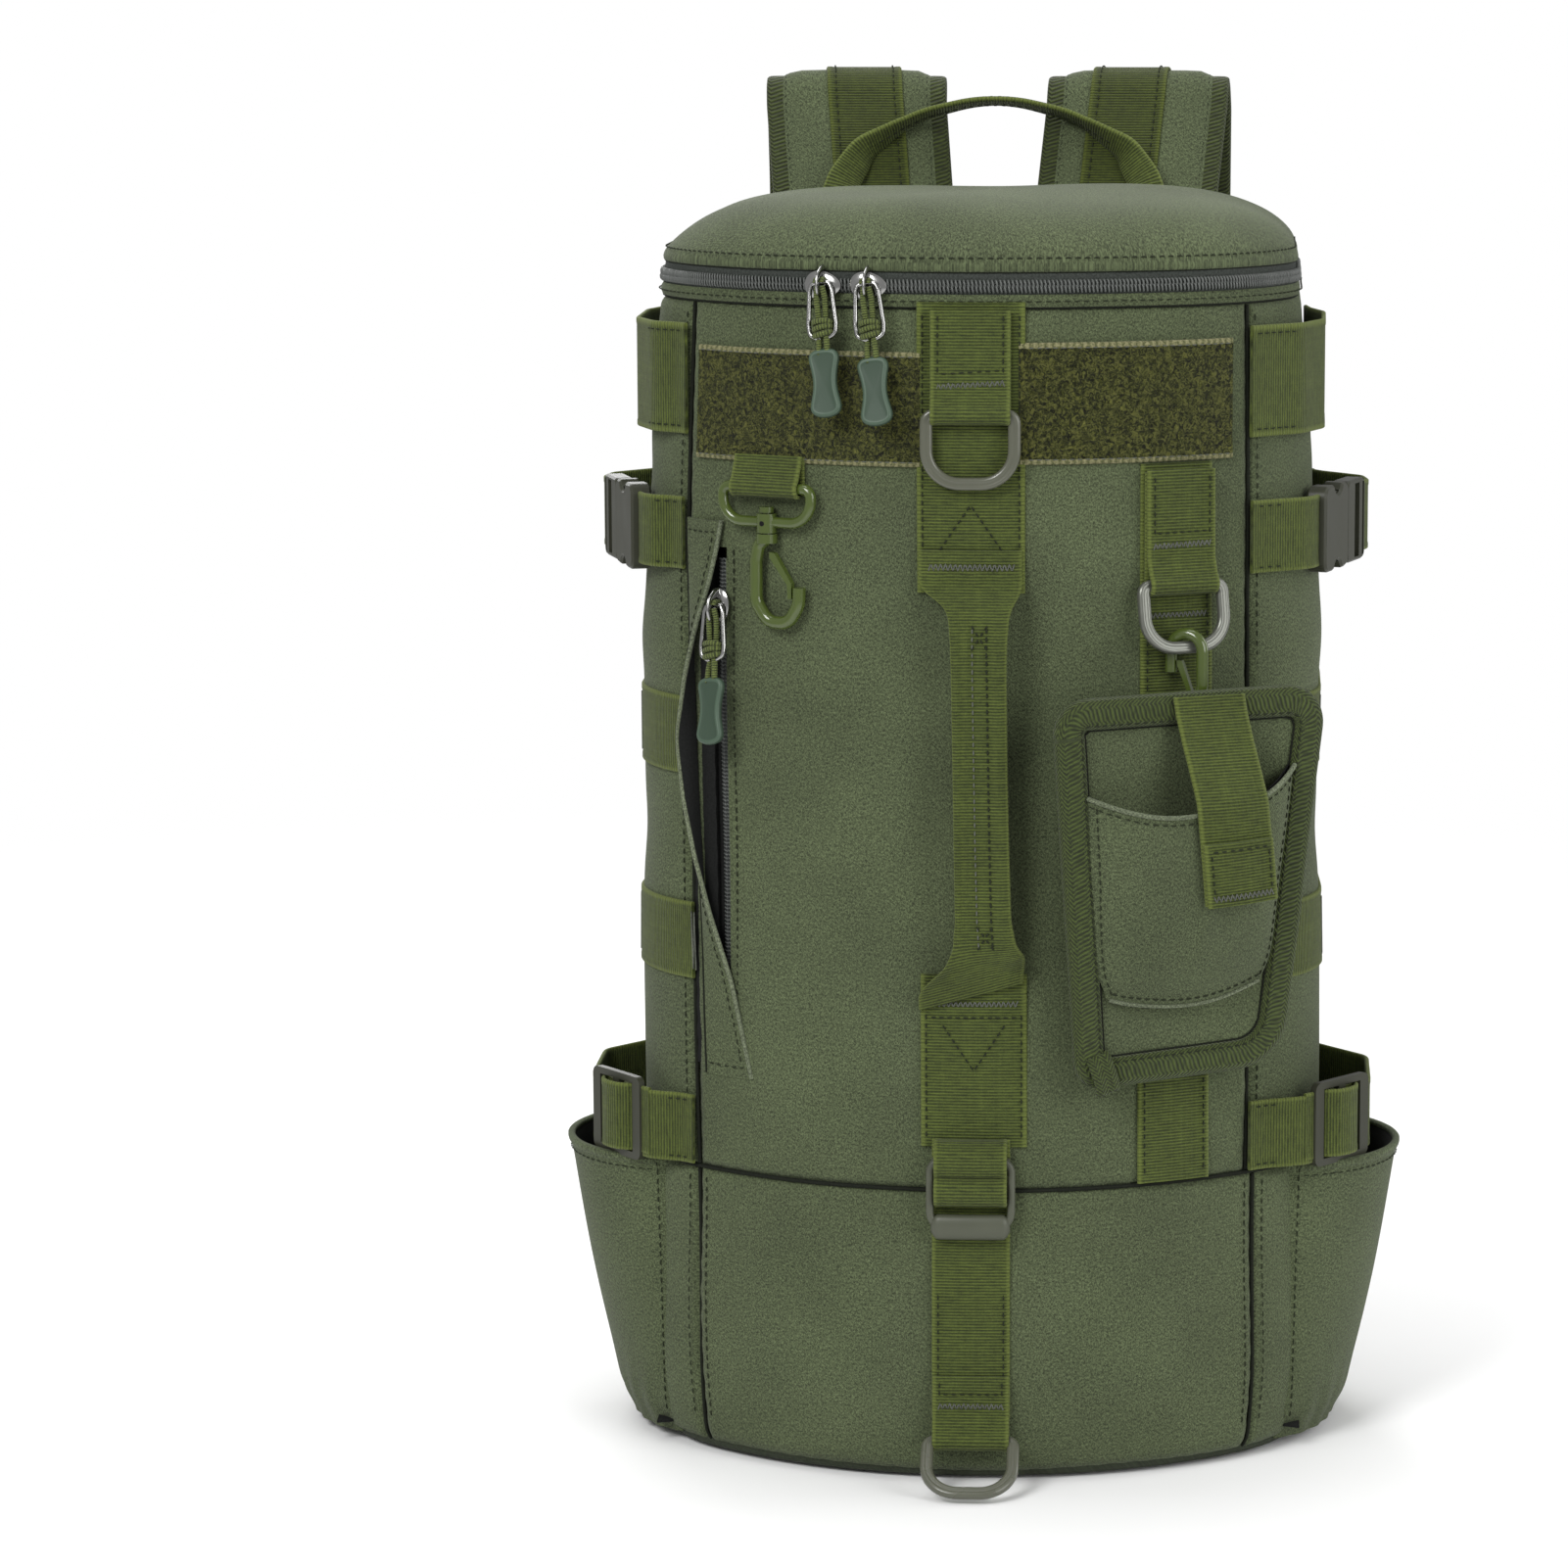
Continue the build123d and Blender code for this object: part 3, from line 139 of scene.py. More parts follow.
def resample(P, step):
    P = np.asarray(P, float)
    d = np.linalg.norm(np.diff(P, axis=0), axis=1)
    c = np.concatenate([[0], np.cumsum(d)])
    n = max(2, int(round(c[-1] / step)) + 1)
    t = np.linspace(0, c[-1], n)
    return np.stack([np.interp(t, c, P[:, i]) for i in range(P.shape[1])], -1)


def rounded(pts, radii, step=2.0):
    """Polyline with its corners rounded, as evenly spaced points."""
    pts = [np.array(p, float) for p in pts]
    if not hasattr(radii, "__len__"):
        radii = [radii] * (len(pts) - 2)
    out = [pts[0]]
    for i in range(1, len(pts) - 1):
        p0, p, p1 = pts[i - 1], pts[i], pts[i + 1]
        u, w = p0 - p, p1 - p
        lu, lw = np.linalg.norm(u), np.linalg.norm(w)
        u, w = u / lu, w / lw
        ang = math.acos(max(-1, min(1, float(u @ w))))
        if ang > math.pi - 1e-3:
            out.append(p)
            continue
        t = min(radii[i - 1] / math.tan(ang / 2), 0.49 * lu, 0.49 * lw)
        rr = t * math.tan(ang / 2)
        b = (u + w) / np.linalg.norm(u + w)
        c = p + b * (rr / math.sin(ang / 2))
        va, vb = p + u * t - c, p + w * t - c
        sweep = math.pi - ang
        k = max(3, int(sweep * rr / step) + 2)
        for j in range(k + 1):
            f = j / k
            va_w = math.sin((1 - f) * sweep) / math.sin(sweep)
            vb_w = math.sin(f * sweep) / math.sin(sweep)
            out.append(c + va * va_w + vb * vb_w)
    out.append(pts[-1])
    return resample(np.array(out), step)


def path_len(P):
    return np.concatenate([[0], np.cumsum(np.linalg.norm(np.diff(P, axis=0), axis=1))])


def tangents(P, closed=False):
    if closed:
        t = np.roll(P, -1, 0) - np.roll(P, 1, 0)
    else:
        t = np.gradient(P, axis=0)
    return t / np.maximum(np.linalg.norm(t, axis=1, keepdims=True), 1e-9)


# =================================================================================================
# mesh makers
# =================================================================================================
MADE = {}


def emit(name, verts, faces, uv, body, slot, mat, replaces=(), smooth=True, fix=True, edge=None):
    """Makes the mesh object, with UVs in millimetres, and lets it ride on a body."""
    me = bpy.data.meshes.new(name)
    me.from_pydata((np.asarray(verts) * S).tolist(), [], faces)
    if uv is not None:
        layer = me.uv_layers.new(name="UVMap")
        idx = np.zeros(len(me.loops), np.int32)
        me.loops.foreach_get("vertex_index", idx)
        layer.data.foreach_set("uv", np.asarray(uv, np.float32)[idx].ravel())
    if edge is not None:
        at = me.attributes.new("edge", "FLOAT", "POINT")
        at.data.foreach_set("value", np.ascontiguousarray(edge, np.float32))
    if fix:
        bm = bmesh.new()
        bm.from_mesh(me)
        bmesh.ops.recalc_face_normals(bm, faces=bm.faces)
        bm.to_mesh(me)
        bm.free()
    if smooth:
        me.polygons.foreach_set("use_smooth", [True] * len(me.polygons))
        if smooth != "all":
            me.set_sharp_from_angle(angle=math.radians(50 if smooth is True else smooth))
    me.materials.append(mat)
    me.update()
    o = bpy.data.objects.new(name, me)
    bpy.context.scene.collection.objects.link(o)
    if body:
        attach(o, body)
    if replaces:
        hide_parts(*replaces)
    MADE[name] = o
    return o


def grid_faces(nu, nv, off=0, cu=False, cv=False, flip=False):
    u = np.arange(nu if cu else nu - 1)
    v = np.arange(nv if cv else nv - 1)
    U, V = np.meshgrid(u, v, indexing="ij")
    U2, V2 = (U + 1) % nu, (V + 1) % nv
    f = np.stack([U * nv + V, U2 * nv + V, U2 * nv + V2, U * nv + V2], -1).reshape(-1, 4) + off
    if flip:
        f = f[:, ::-1]
    return f.tolist()


def grid_normals(P):
    du = np.gradient(P, axis=0)
    dv = np.gradient(P, axis=1)
    n = np.cross(du, dv)
    return n / np.maximum(np.linalg.norm(n, axis=-1, keepdims=True), 1e-9)


def thick(name, P, UV, t, body, slot, mat, replaces=(), tin=0.0, **k):
    """Closed sheet from an outer grid P (nu, nv, 3): an inner grid t behind it and a rim."""
    nu, nv = P.shape[:2]
    n = grid_normals(P)
    outer, inner = P, P - n * (np.asarray(t)[..., None] if np.ndim(t) else t)
    verts = np.concatenate([outer.reshape(-1, 3), inner.reshape(-1, 3)])
    uv = np.concatenate([UV.reshape(-1, 2)] * 2)
    m = nu * nv
    faces = grid_faces(nu, nv) + grid_faces(nu, nv, m, flip=True)
    for i in range(nu - 1):
        a, b = i * nv, (i + 1) * nv
        faces.append([a, b, b + m, a + m][::-1])
        a, b = i * nv + nv - 1, (i + 1) * nv + nv - 1
        faces.append([a, b, b + m, a + m])
    for j in range(nv - 1):
        a, b = j, j + 1
        faces.append([a, b, b + m, a + m])
        a, b = (nu - 1) * nv + j, (nu - 1) * nv + j + 1
        faces.append([a, b, b + m, a + m][::-1])
    return emit(name, verts, faces, uv, body, slot, mat, replaces, **k)


def profile(w, t, m=7):
    """Cross-section of webbing: a flat bar with rounded, slightly fuller selvedges."""
    xs = np.concatenate([[-w / 2 + 0.55, -w / 2 + 2.1], np.linspace(-w / 2 + 2.9, w / 2 - 2.9, m - 2), [w / 2 - 2.1, w / 2 - 0.55]])
    full = np.where(np.abs(xs) > w / 2 - 2.5, 1.12, 1.0)
    top = [(x, t * f) for x, f in zip(xs, full)]
    bot = [(x, 0.0) for x in xs[::-1]]
    return np.array([(-w / 2 + 0.12, t * 0.86)] + top + [(w / 2 - 0.12, t * 0.86), (w / 2, t * 0.5), (w / 2 - 0.12, t * 0.18)]
                    + bot + [(-w / 2 + 0.12, t * 0.18), (-w / 2, t * 0.5)])


def strip(name, F, v, w, t, body, slot, mat, replaces=(), wscale=None, uvoff=0.0, m=7, **k):
    """Webbing or tape: F(v, x, y) places a point of its cross-section at path length v."""
    pr = profile(w, t, m)
    v = np.asarray(v, float)
    ws = np.ones_like(v) if wscale is None else np.asarray(wscale, float)
    X = pr[None, :, 0] * ws[:, None]
    Y = np.broadcast_to(pr[None, :, 1], X.shape)
    V = np.broadcast_to(v[:, None], X.shape)
    P = F(V, X, Y)
    n, c = X.shape
    dist = np.concatenate([[0], np.cumsum(np.linalg.norm(np.diff(P.mean(1), axis=0), axis=1))])
    uv = np.stack([X, np.broadcast_to(dist[:, None] + uvoff, X.shape)], -1)
    verts = P.reshape(-1, 3)
    faces = grid_faces(n, c, cv=True)
    verts = np.concatenate([verts, P[0].mean(0)[None], P[-1].mean(0)[None]])
    uvs = np.concatenate([uv.reshape(-1, 2), [[0, 0]], [[0, dist[-1]]]])
    a, b = n * c, n * c + 1
    for j in range(c):
        j2 = (j + 1) % c
        faces.append([j2, j, a])
        faces.append([(n - 1) * c + j, (n - 1) * c + j2, b])
    ed = np.concatenate([np.broadcast_to(np.abs(pr[None, :, 0]) / (w / 2), X.shape).ravel(), [0.0, 0.0]])
    return emit(name, verts, faces, uvs, body, slot, mat, replaces, edge=ed, **k)


def path_F(C, wdir, side=1.0, twist=None):
    """F for strip() along a centre line C, its width along wdir and its outer face toward side * (T x wdir)."""
    L = path_len(C)
    T = tangents(C)
    W = np.broadcast_to(np.asarray(wdir, float), C.shape)
    N = np.cross(T, W) * side
    N = N / np.maximum(np.linalg.norm(N, axis=1, keepdims=True), 1e-9)

    def at(A, v):
        return np.stack([np.interp(v, L, A[:, i]) for i in range(3)], -1)

    def F(v, x, y):
        return at(C, v) + at(W, v) * x[..., None] + at(N, v) * y[..., None]

    return F, L[-1]


def frames(P, closed, up=None):
    """Two cross directions at each point, carried along without twist."""
    T = tangents(P, closed)
    n = len(P)
    A = np.zeros_like(P)
    ref = np.array(up if up is not None else (0, 0, 1.0), float)
    if abs(T[0] @ ref) > 0.95:
        ref = np.array([1.0, 0, 0]) if abs(T[0][0]) < 0.9 else np.array([0, 1.0, 0])
    a = ref - T[0] * (T[0] @ ref)
    A[0] = a / np.linalg.norm(a)
    for i in range(1, n):
        a = A[i - 1] - T[i] * (T[i] @ A[i - 1])
        A[i] = a / max(np.linalg.norm(a), 1e-9)
    if closed:
        # spread the leftover twist
        a = A[-1] - T[0] * (T[0] @ A[-1])
        a /= np.linalg.norm(a)
        ang = math.atan2(float(np.cross(A[0], a) @ T[0]), float(A[0] @ a))
        B = np.cross(T, A)
        th = -ang * np.arange(n) / n
        A = A * np.cos(th)[:, None] + B * np.sin(th)[:, None]
    return T, A, np.cross(T, A)


def tube_data(P, r, n=8, closed=False, up=None, shape=None):
    P = np.asarray(P, float)
    T, A, B = frames(P, closed, up)
    rr = np.broadcast_to(np.asarray(r, float), (len(P),))
    if shape is None:
        th = np.linspace(0, TAU, n, endpoint=False)
        sh = np.stack([np.cos(th), np.sin(th)], -1)
    else:
        sh = np.asarray(shape, float)
        n = len(sh)
    V = P[:, None] + rr[:, None, None] * (A[:, None] * sh[None, :, :1] + B[:, None] * sh[None, :, 1:])
    L = path_len(P)
    uv = np.stack(np.broadcast_arrays(np.arange(n)[None, :] * (TAU * float(np.mean(rr)) / n), L[:, None]), -1)
    faces = grid_faces(len(P), n, cu=closed, cv=True)
    verts, uvs = V.reshape(-1, 3), uv.reshape(-1, 2)
    if not closed:
        k = len(verts)
        verts = np.concatenate([verts, P[:1], P[-1:]])
        uvs = np.concatenate([uvs, [[0, 0], [0, L[-1]]]])
        for j in range(n):
            j2 = (j + 1) % n
            faces.append([j2, j, k])
            faces.append([(len(P) - 1) * n + j, (len(P) - 1) * n + j2, k + 1])
    return verts, faces, uvs


def join(parts):
    vs, fs, us, off = [], [], [], 0
    for v, f, u in parts:
        vs.append(v)
        fs += [[i + off for i in g] for g in f]
        us.append(u)
        off += len(v)
    return np.concatenate(vs), fs, np.concatenate(us)


def tube(name, P, r, body, slot, mat, n=8, closed=False, replaces=(), up=None, shape=None, **k):
    return emit(name, *tube_data(P, r, n, closed, up, shape), body, slot, mat, replaces, **k)


# ---- threads -------------------------------------------------------------------------------------
THREADS = {}


def stitch(key, P, N, pitch=3.5, length=2.7, r=0.30, lift=0.12, jitter=0.12):
    """A row of stitches along the polyline P with surface normals N (or one normal)."""
    P = np.asarray(P, float)
    L = path_len(P)
    length = min(length, 0.62 * pitch)
    N = np.broadcast_to(np.asarray(N, float), P.shape)
    n = max(1, int(L[-1] / pitch))
    c = (np.arange(n) + 0.5) * (L[-1] / n) + RNG.normal(0, jitter, n) * 0.5

    def at(A, v):
        return np.stack([np.interp(v, L, A[:, i]) for i in range(3)], -1)

    p, q = at(P, c - length / 2), at(P, c + length / 2)
    m, nn = at(P, c), at(N, c)
    nn = nn / np.maximum(np.linalg.norm(nn, axis=1, keepdims=True), 1e-9)
    ax = q - p
    ax = ax / np.maximum(np.linalg.norm(ax, axis=1, keepdims=True), 1e-9)
    side = np.cross(ax, nn)
    rings = [(-0.5, 0.45, -0.35), (-0.25, 0.95, 0.7), (0.25, 0.95, 0.7), (0.5, 0.45, -0.35)]
    th = np.linspace(0, TAU, 5, endpoint=False)
    V = []
    for f, rs, lf in rings:
        c0 = m + ax * (f * length) + nn * (lift + lf * r)
        V.append(c0[:, None] + (side[:, None] * np.cos(th)[None, :, None] + nn[:, None] * np.sin(th)[None, :, None]) * (r * rs))
    V = np.stack(V, 1)          # n, 4, 5, 3
    THREADS.setdefault(key, []).append(V)


def bartack(key, F, x0, x1, v, h=2.2, pitch=0.85, r=0.3, out=0.2, slant=0.0):
    """Dense zigzag sewn across webbing, from x0 to x1 at path length v."""
    n = int(abs(x1 - x0) / pitch)
    xs = np.linspace(x0, x1, n + 1)
    vs = v + np.where(np.arange(n + 1) % 2 == 0, -h / 2, h / 2) + slant * xs
    P = F(vs, xs, np.full_like(xs, out))
    P = resample(P, 0.8)
    THREADS.setdefault(key + ":tube", []).append((P, r))


def flush_threads(slot_of, mats, bodies):
    for key, items in THREADS.items():
        if key.endswith(":tube"):
            base = key[:-5]
            v, f, u = join([tube_data(P, r, 5) for P, r in items])
            emit("bartacks_" + base, v, f, u, bodies[base], slot_of[base], mats[base], smooth="all", fix=False)
        else:
            V = np.concatenate(items)
            n = len(V)
            verts = V.reshape(-1, 3)
            one = grid_faces(4, 5, cv=True) + [[4, 3, 2, 1, 0], [15, 16, 17, 18, 19]]
            faces = [[i + k * 20 for i in g] for k in range(n) for g in one]
            uv = np.zeros((len(verts), 2))
            emit("stitches_" + key, verts, faces, uv, bodies[key], slot_of[key], mats[key], smooth="all", fix=False)


# =================================================================================================
# materials
# =================================================================================================
class Nodes:
    def __init__(self, name):
        self.m = bpy.data.materials.new(name)
        self.m.use_nodes = True
        self.t = self.m.node_tree
        self.t.nodes.clear()
        self.out = self.t.nodes.new("ShaderNodeOutputMaterial")
        self.b = self.t.nodes.new("ShaderNodeBsdfPrincipled")
        self.t.links.new(self.b.outputs["BSDF"], self.out.inputs["Surface"])

    def new(self, kind, props=None, **inputs):
        n = self.t.nodes.new(kind)
        for k, v in (props or {}).items():
            setattr(n, k, v)
        for k, v in inputs.items():
            self.set(n, k, v)
        return n

    def set(self, n, k, v):
        key = int(k[1:]) if k[0] == "i" and k[1:].isdigit() else k.replace("_", " ")
        if hasattr(v, "is_linked") or hasattr(v, "links"):
            self.t.links.new(v, n.inputs[key])
        else:
            n.inputs[key].default_value = v

    def math(self, op, a, b=0.0, c=None, clamp=False):
        n = self.new("ShaderNodeMath", {"operation": op, "use_clamp": clamp}, i0=a, i1=b)
        if c is not None:
            self.set(n, "i2", c)
        return n.outputs[0]

    def uv(self):
        if not hasattr(self, "_uv"):
            self._uv = self.new("ShaderNodeUVMap", {"uv_map": "UVMap"}).outputs["UV"]
        return self._uv

    def scaled(self, x, y, z=1.0, src=None):
        return self.new("ShaderNodeVectorMath", {"operation": "MULTIPLY"}, i0=src or self.uv(), i1=(x, y, z)).outputs[0]

    def noise(self, scale, detail=2.0, rough=0.5, vec=None, out="Fac", distort=0.0):
        n = self.new("ShaderNodeTexNoise", None, Vector=vec or self.uv(), Scale=scale, Detail=detail, Roughness=rough,
                     Distortion=distort)
        return n.outputs[out]

    def ramp(self, fac, stops):
        n = self.t.nodes.new("ShaderNodeValToRGB")
        cr = n.color_ramp
        while len(cr.elements) < len(stops):
            cr.elements.new(0.5)
        for e, (p, c) in zip(cr.elements, stops):
            e.position = p
            e.color = (*c, 1.0) if len(c) == 3 else c
        self.t.links.new(fac, n.inputs["Fac"])
        return n.outputs["Color"]

    def mix(self, fac, a, b, blend="MIX"):
        n = self.t.nodes.new("ShaderNodeMix")
        n.data_type = "RGBA"
        n.blend_type = blend
        for sock, v in ((n.inputs[0], fac), (n.inputs[6], a), (n.inputs[7], b)):
            if hasattr(v, "links"):
                self.t.links.new(v, sock)
            elif isinstance(v, (int, float)):
                sock.default_value = v
            else:
                sock.default_value = (*v, 1.0) if len(v) == 3 else v
        return n.outputs[2]

    def sep(self, vec=None):
        return self.new("ShaderNodeSeparateXYZ", None, Vector=vec or self.uv()).outputs

    def bump(self, height, strength=0.5, dist=0.0005, normal=None):
        n = self.new("ShaderNodeBump", None, Height=height, Strength=strength, Distance=dist)
        if normal is not None:
            self.t.links.new(normal, n.inputs["Normal"])
        return n.outputs["Normal"]

    def finish(self, color=None, rough=0.8, metallic=0.0, spec=0.4, normal=None, sheen=0.0, coat=0.0):
        b = self.b.inputs
        for k, v in (("Base Color", color), ("Roughness", rough), ("Metallic", metallic), ("Specular IOR Level", spec),
                     ("Sheen Weight", sheen), ("Coat Weight", coat)):
            if v is None:
                continue
            if hasattr(v, "links"):
                self.t.links.new(v, b[k])
            elif isinstance(v, (int, float)):
                b[k].default_value = v
            else:
                b[k].default_value = (*v, 1.0)
        if normal is not None:
            self.t.links.new(normal, b["Normal"])
        return self.m


def mul(c, k):
    return tuple(x * k for x in c)


BODY_C = (0.0590, 0.0735, 0.0355)
WEB_C = (0.0425, 0.0575, 0.0105)


def melange(name, c, dark=0.46, light=1.66, grain=1.18, bump=0.45, spec=0.22):
    """Two-tone yarn-dyed canvas: fine flecks, a faint twill and slow unevenness."""
    g = Nodes(name)
    fleck = g.noise(grain, 3.0, 0.66, distort=0.6)
    fleck2 = g.noise(grain * 2.3, 1.0, 0.5, vec=g.scaled(1.0, 0.45))
    f = g.math("ADD", g.math("MULTIPLY", fleck, 0.62), g.math("MULTIPLY", fleck2, 0.38))
    col = g.ramp(f, [(0.39, mul(c, dark)), (0.50, c), (0.61, mul(c, light))])
    slow = g.noise(0.016, 3.0, 0.55)
    col = g.mix(0.55, col, g.ramp(slow, [(0.32, mul((0.5, 0.5, 0.5), 0.74)), (0.68, mul((0.5, 0.5, 0.5), 1.28))]), "OVERLAY")
    s = g.sep(g.scaled(1.0, 1.0))
    tw = g.math("SINE", g.math("MULTIPLY", g.math("ADD", s[0], g.math("MULTIPLY", s[1], 1.0)), TAU / 1.15))
    h = g.math("ADD", g.math("MULTIPLY", f, 1.3), g.math("MULTIPLY", tw, 0.10))
    n = g.bump(h, bump, 0.0008)
    return g.finish(col, 0.88, 0.0, spec, n, sheen=0.06)


def webbing_mat(name, c, pitch=1.15, strength=0.6, warp=2.1, edge=True):
    g = Nodes(name)
    s = g.sep()
    rib = g.math("SINE", g.math("MULTIPLY", s[1], TAU / pitch))
    warp_n = g.math("SINE", g.math("MULTIPLY", s[0], TAU / warp))
    streak = g.noise(0.9, 3.0, 0.6, vec=g.scaled(0.22, 1.0))
    lanes = g.noise(0.55, 2.0, 0.5, vec=g.scaled(1.0, 0.03))
    slow = g.noise(0.05, 2.0, 0.5)
    speck = g.noise(1.6, 1.0, 0.5)
    f = g.math("ADD", g.math("ADD", g.math("MULTIPLY", rib, 0.17), g.math("MULTIPLY", streak, 0.52)),
               g.math("ADD", g.math("MULTIPLY", speck, 0.34), g.math("MULTIPLY", lanes, 0.14)))
    col = g.ramp(f, [(0.28, mul(c, 0.40)), (0.50, c), (0.72, (c[0] * 1.85, c[1] * 1.76, c[2] * 1.6))])
    col = g.mix(0.6, col, g.ramp(slow, [(0.3, (0.40, 0.40, 0.40)), (0.7, (0.60, 0.60, 0.60))]), "OVERLAY")
    h = g.math("ADD", g.math("ADD", g.math("MULTIPLY", rib, 0.5), g.math("MULTIPLY", warp_n, 0.14)),
               g.math("MULTIPLY", speck, 0.5))
    if edge:
        e = g.new("ShaderNodeAttribute", {"attribute_name": "edge"}).outputs["Fac"]
        band = g.math("MULTIPLY", g.math("SUBTRACT", e, 0.875), 14.0, clamp=True)
        tick = g.math("MULTIPLY_ADD", g.math("SINE", g.math("MULTIPLY", s[1], TAU / 1.7)), 0.22, 0.62)
        col = g.mix(g.math("MULTIPLY", band, tick), col, (c[0] * 2.5, c[1] * 2.3, c[2] * 2.5))
    return g.finish(col, 0.80, 0.0, 0.26, g.bump(h, strength, 0.0005), sheen=0.05)


def herring_mat(name, c):
    """Binding tape: a fine herringbone."""
    g = Nodes(name)
    s = g.sep()
    zig = g.math("PINGPONG", s[0], 2.4)
    h = g.math("SINE", g.math("MULTIPLY", g.math("ADD", s[1], g.math("MULTIPLY", zig, 1.3)), TAU / 1.7))
    f = g.math("ADD", g.math("MULTIPLY", h, 0.22), g.noise(0.9, 2.0, 0.5))
    col = g.ramp(f, [(0.28, mul(c, 0.42)), (0.5, c), (0.74, mul(c, 1.75))])
    return g.finish(col, 0.8, 0.0, 0.3, g.bump(h, 0.6, 0.0005), sheen=0.08)


def pile_mat(name):
    """Loop pile with a paler woven edge on both sides."""
    g = Nodes(name)
    s = g.sep()
    n1 = g.noise(0.62, 4.0, 0.82, distort=1.2)
    n2 = g.noise(0.20, 2.0, 0.5)
    f = g.math("ADD", g.math("MULTIPLY", n1, 0.90), g.math("MULTIPLY", n2, 0.10))
    pile = g.ramp(f, [(0.42, (0.0070, 0.0080, 0.0016)), (0.50, (0.044, 0.050, 0.0085)), (0.57, (0.140, 0.145, 0.034))])
    tick = g.math("SINE", g.math("MULTIPLY", s[1], TAU / 2.6))
    sel = g.ramp(g.math("ADD", g.noise(1.4, 2.0, 0.5), g.math("MULTIPLY", tick, 0.12)),
                 [(0.35, (0.075, 0.080, 0.034)), (0.65, (0.215, 0.205, 0.110))])
    e = g.new("ShaderNodeAttribute", {"attribute_name": "edge"}).outputs["Fac"]
    edge = g.math("GREATER_THAN", g.math("ADD", e, g.math("MULTIPLY", g.noise(0.5, 2.0), 0.03)), 0.925)
    col = g.mix(edge, pile, sel)
    h = g.math("MULTIPLY", n1, g.math("SUBTRACT", 1.15, edge))
    return g.finish(col, 0.97, 0.0, 0.08, g.bump(h, 1.0, 0.0030), sheen=0.05)


def plastic_mat(name, c, rough=0.35, grain=0.12, spec=0.5):
    g = Nodes(name)
    tc = g.new("ShaderNodeTexCoord").outputs["Object"]
    n = g.noise(900.0, 2.0, 0.6, vec=tc)
    slow = g.noise(60.0, 2.0, 0.5, vec=tc)
    r = g.math("ADD", rough - 0.08, g.math("MULTIPLY", slow, 0.16))
    col = g.mix(0.12, c, g.ramp(slow, [(0.3, mul(c, 0.7)), (0.7, mul(c, 1.4))]))
    return g.finish(col, r, 0.0, spec, g.bump(n, grain, 0.0002))


def metal_mat(name, c, rough=0.22, metallic=1.0):
    g = Nodes(name)
    tc = g.new("ShaderNodeTexCoord").outputs["Object"]
    slow = g.noise(220.0, 3.0, 0.6, vec=tc)
    r = g.math("ADD", rough - 0.06, g.math("MULTIPLY", slow, 0.14))
    col = g.mix(0.25, c, g.ramp(slow, [(0.3, mul(c, 0.75)), (0.7, mul(c, 1.15))]))
    return g.finish(col, r, metallic, 0.5, g.bump(slow, 0.05, 0.0002))


def plain_cloth(name, c, grain=1.2, spec=0.2, rough=0.9):
    g = Nodes(name)
    n = g.noise(grain, 3.0, 0.6)
    s = g.sep()
    tw = g.math("SINE", g.math("MULTIPLY", g.math("ADD", s[0], s[1]), TAU / 1.0))
    col = g.ramp(n, [(0.35, mul(c, 0.7)), (0.65, mul(c, 1.35))])
    return g.finish(col, rough, 0.0, spec, g.bump(g.math("ADD", n, g.math("MULTIPLY", tw, 0.15)), 0.3, 0.0004))


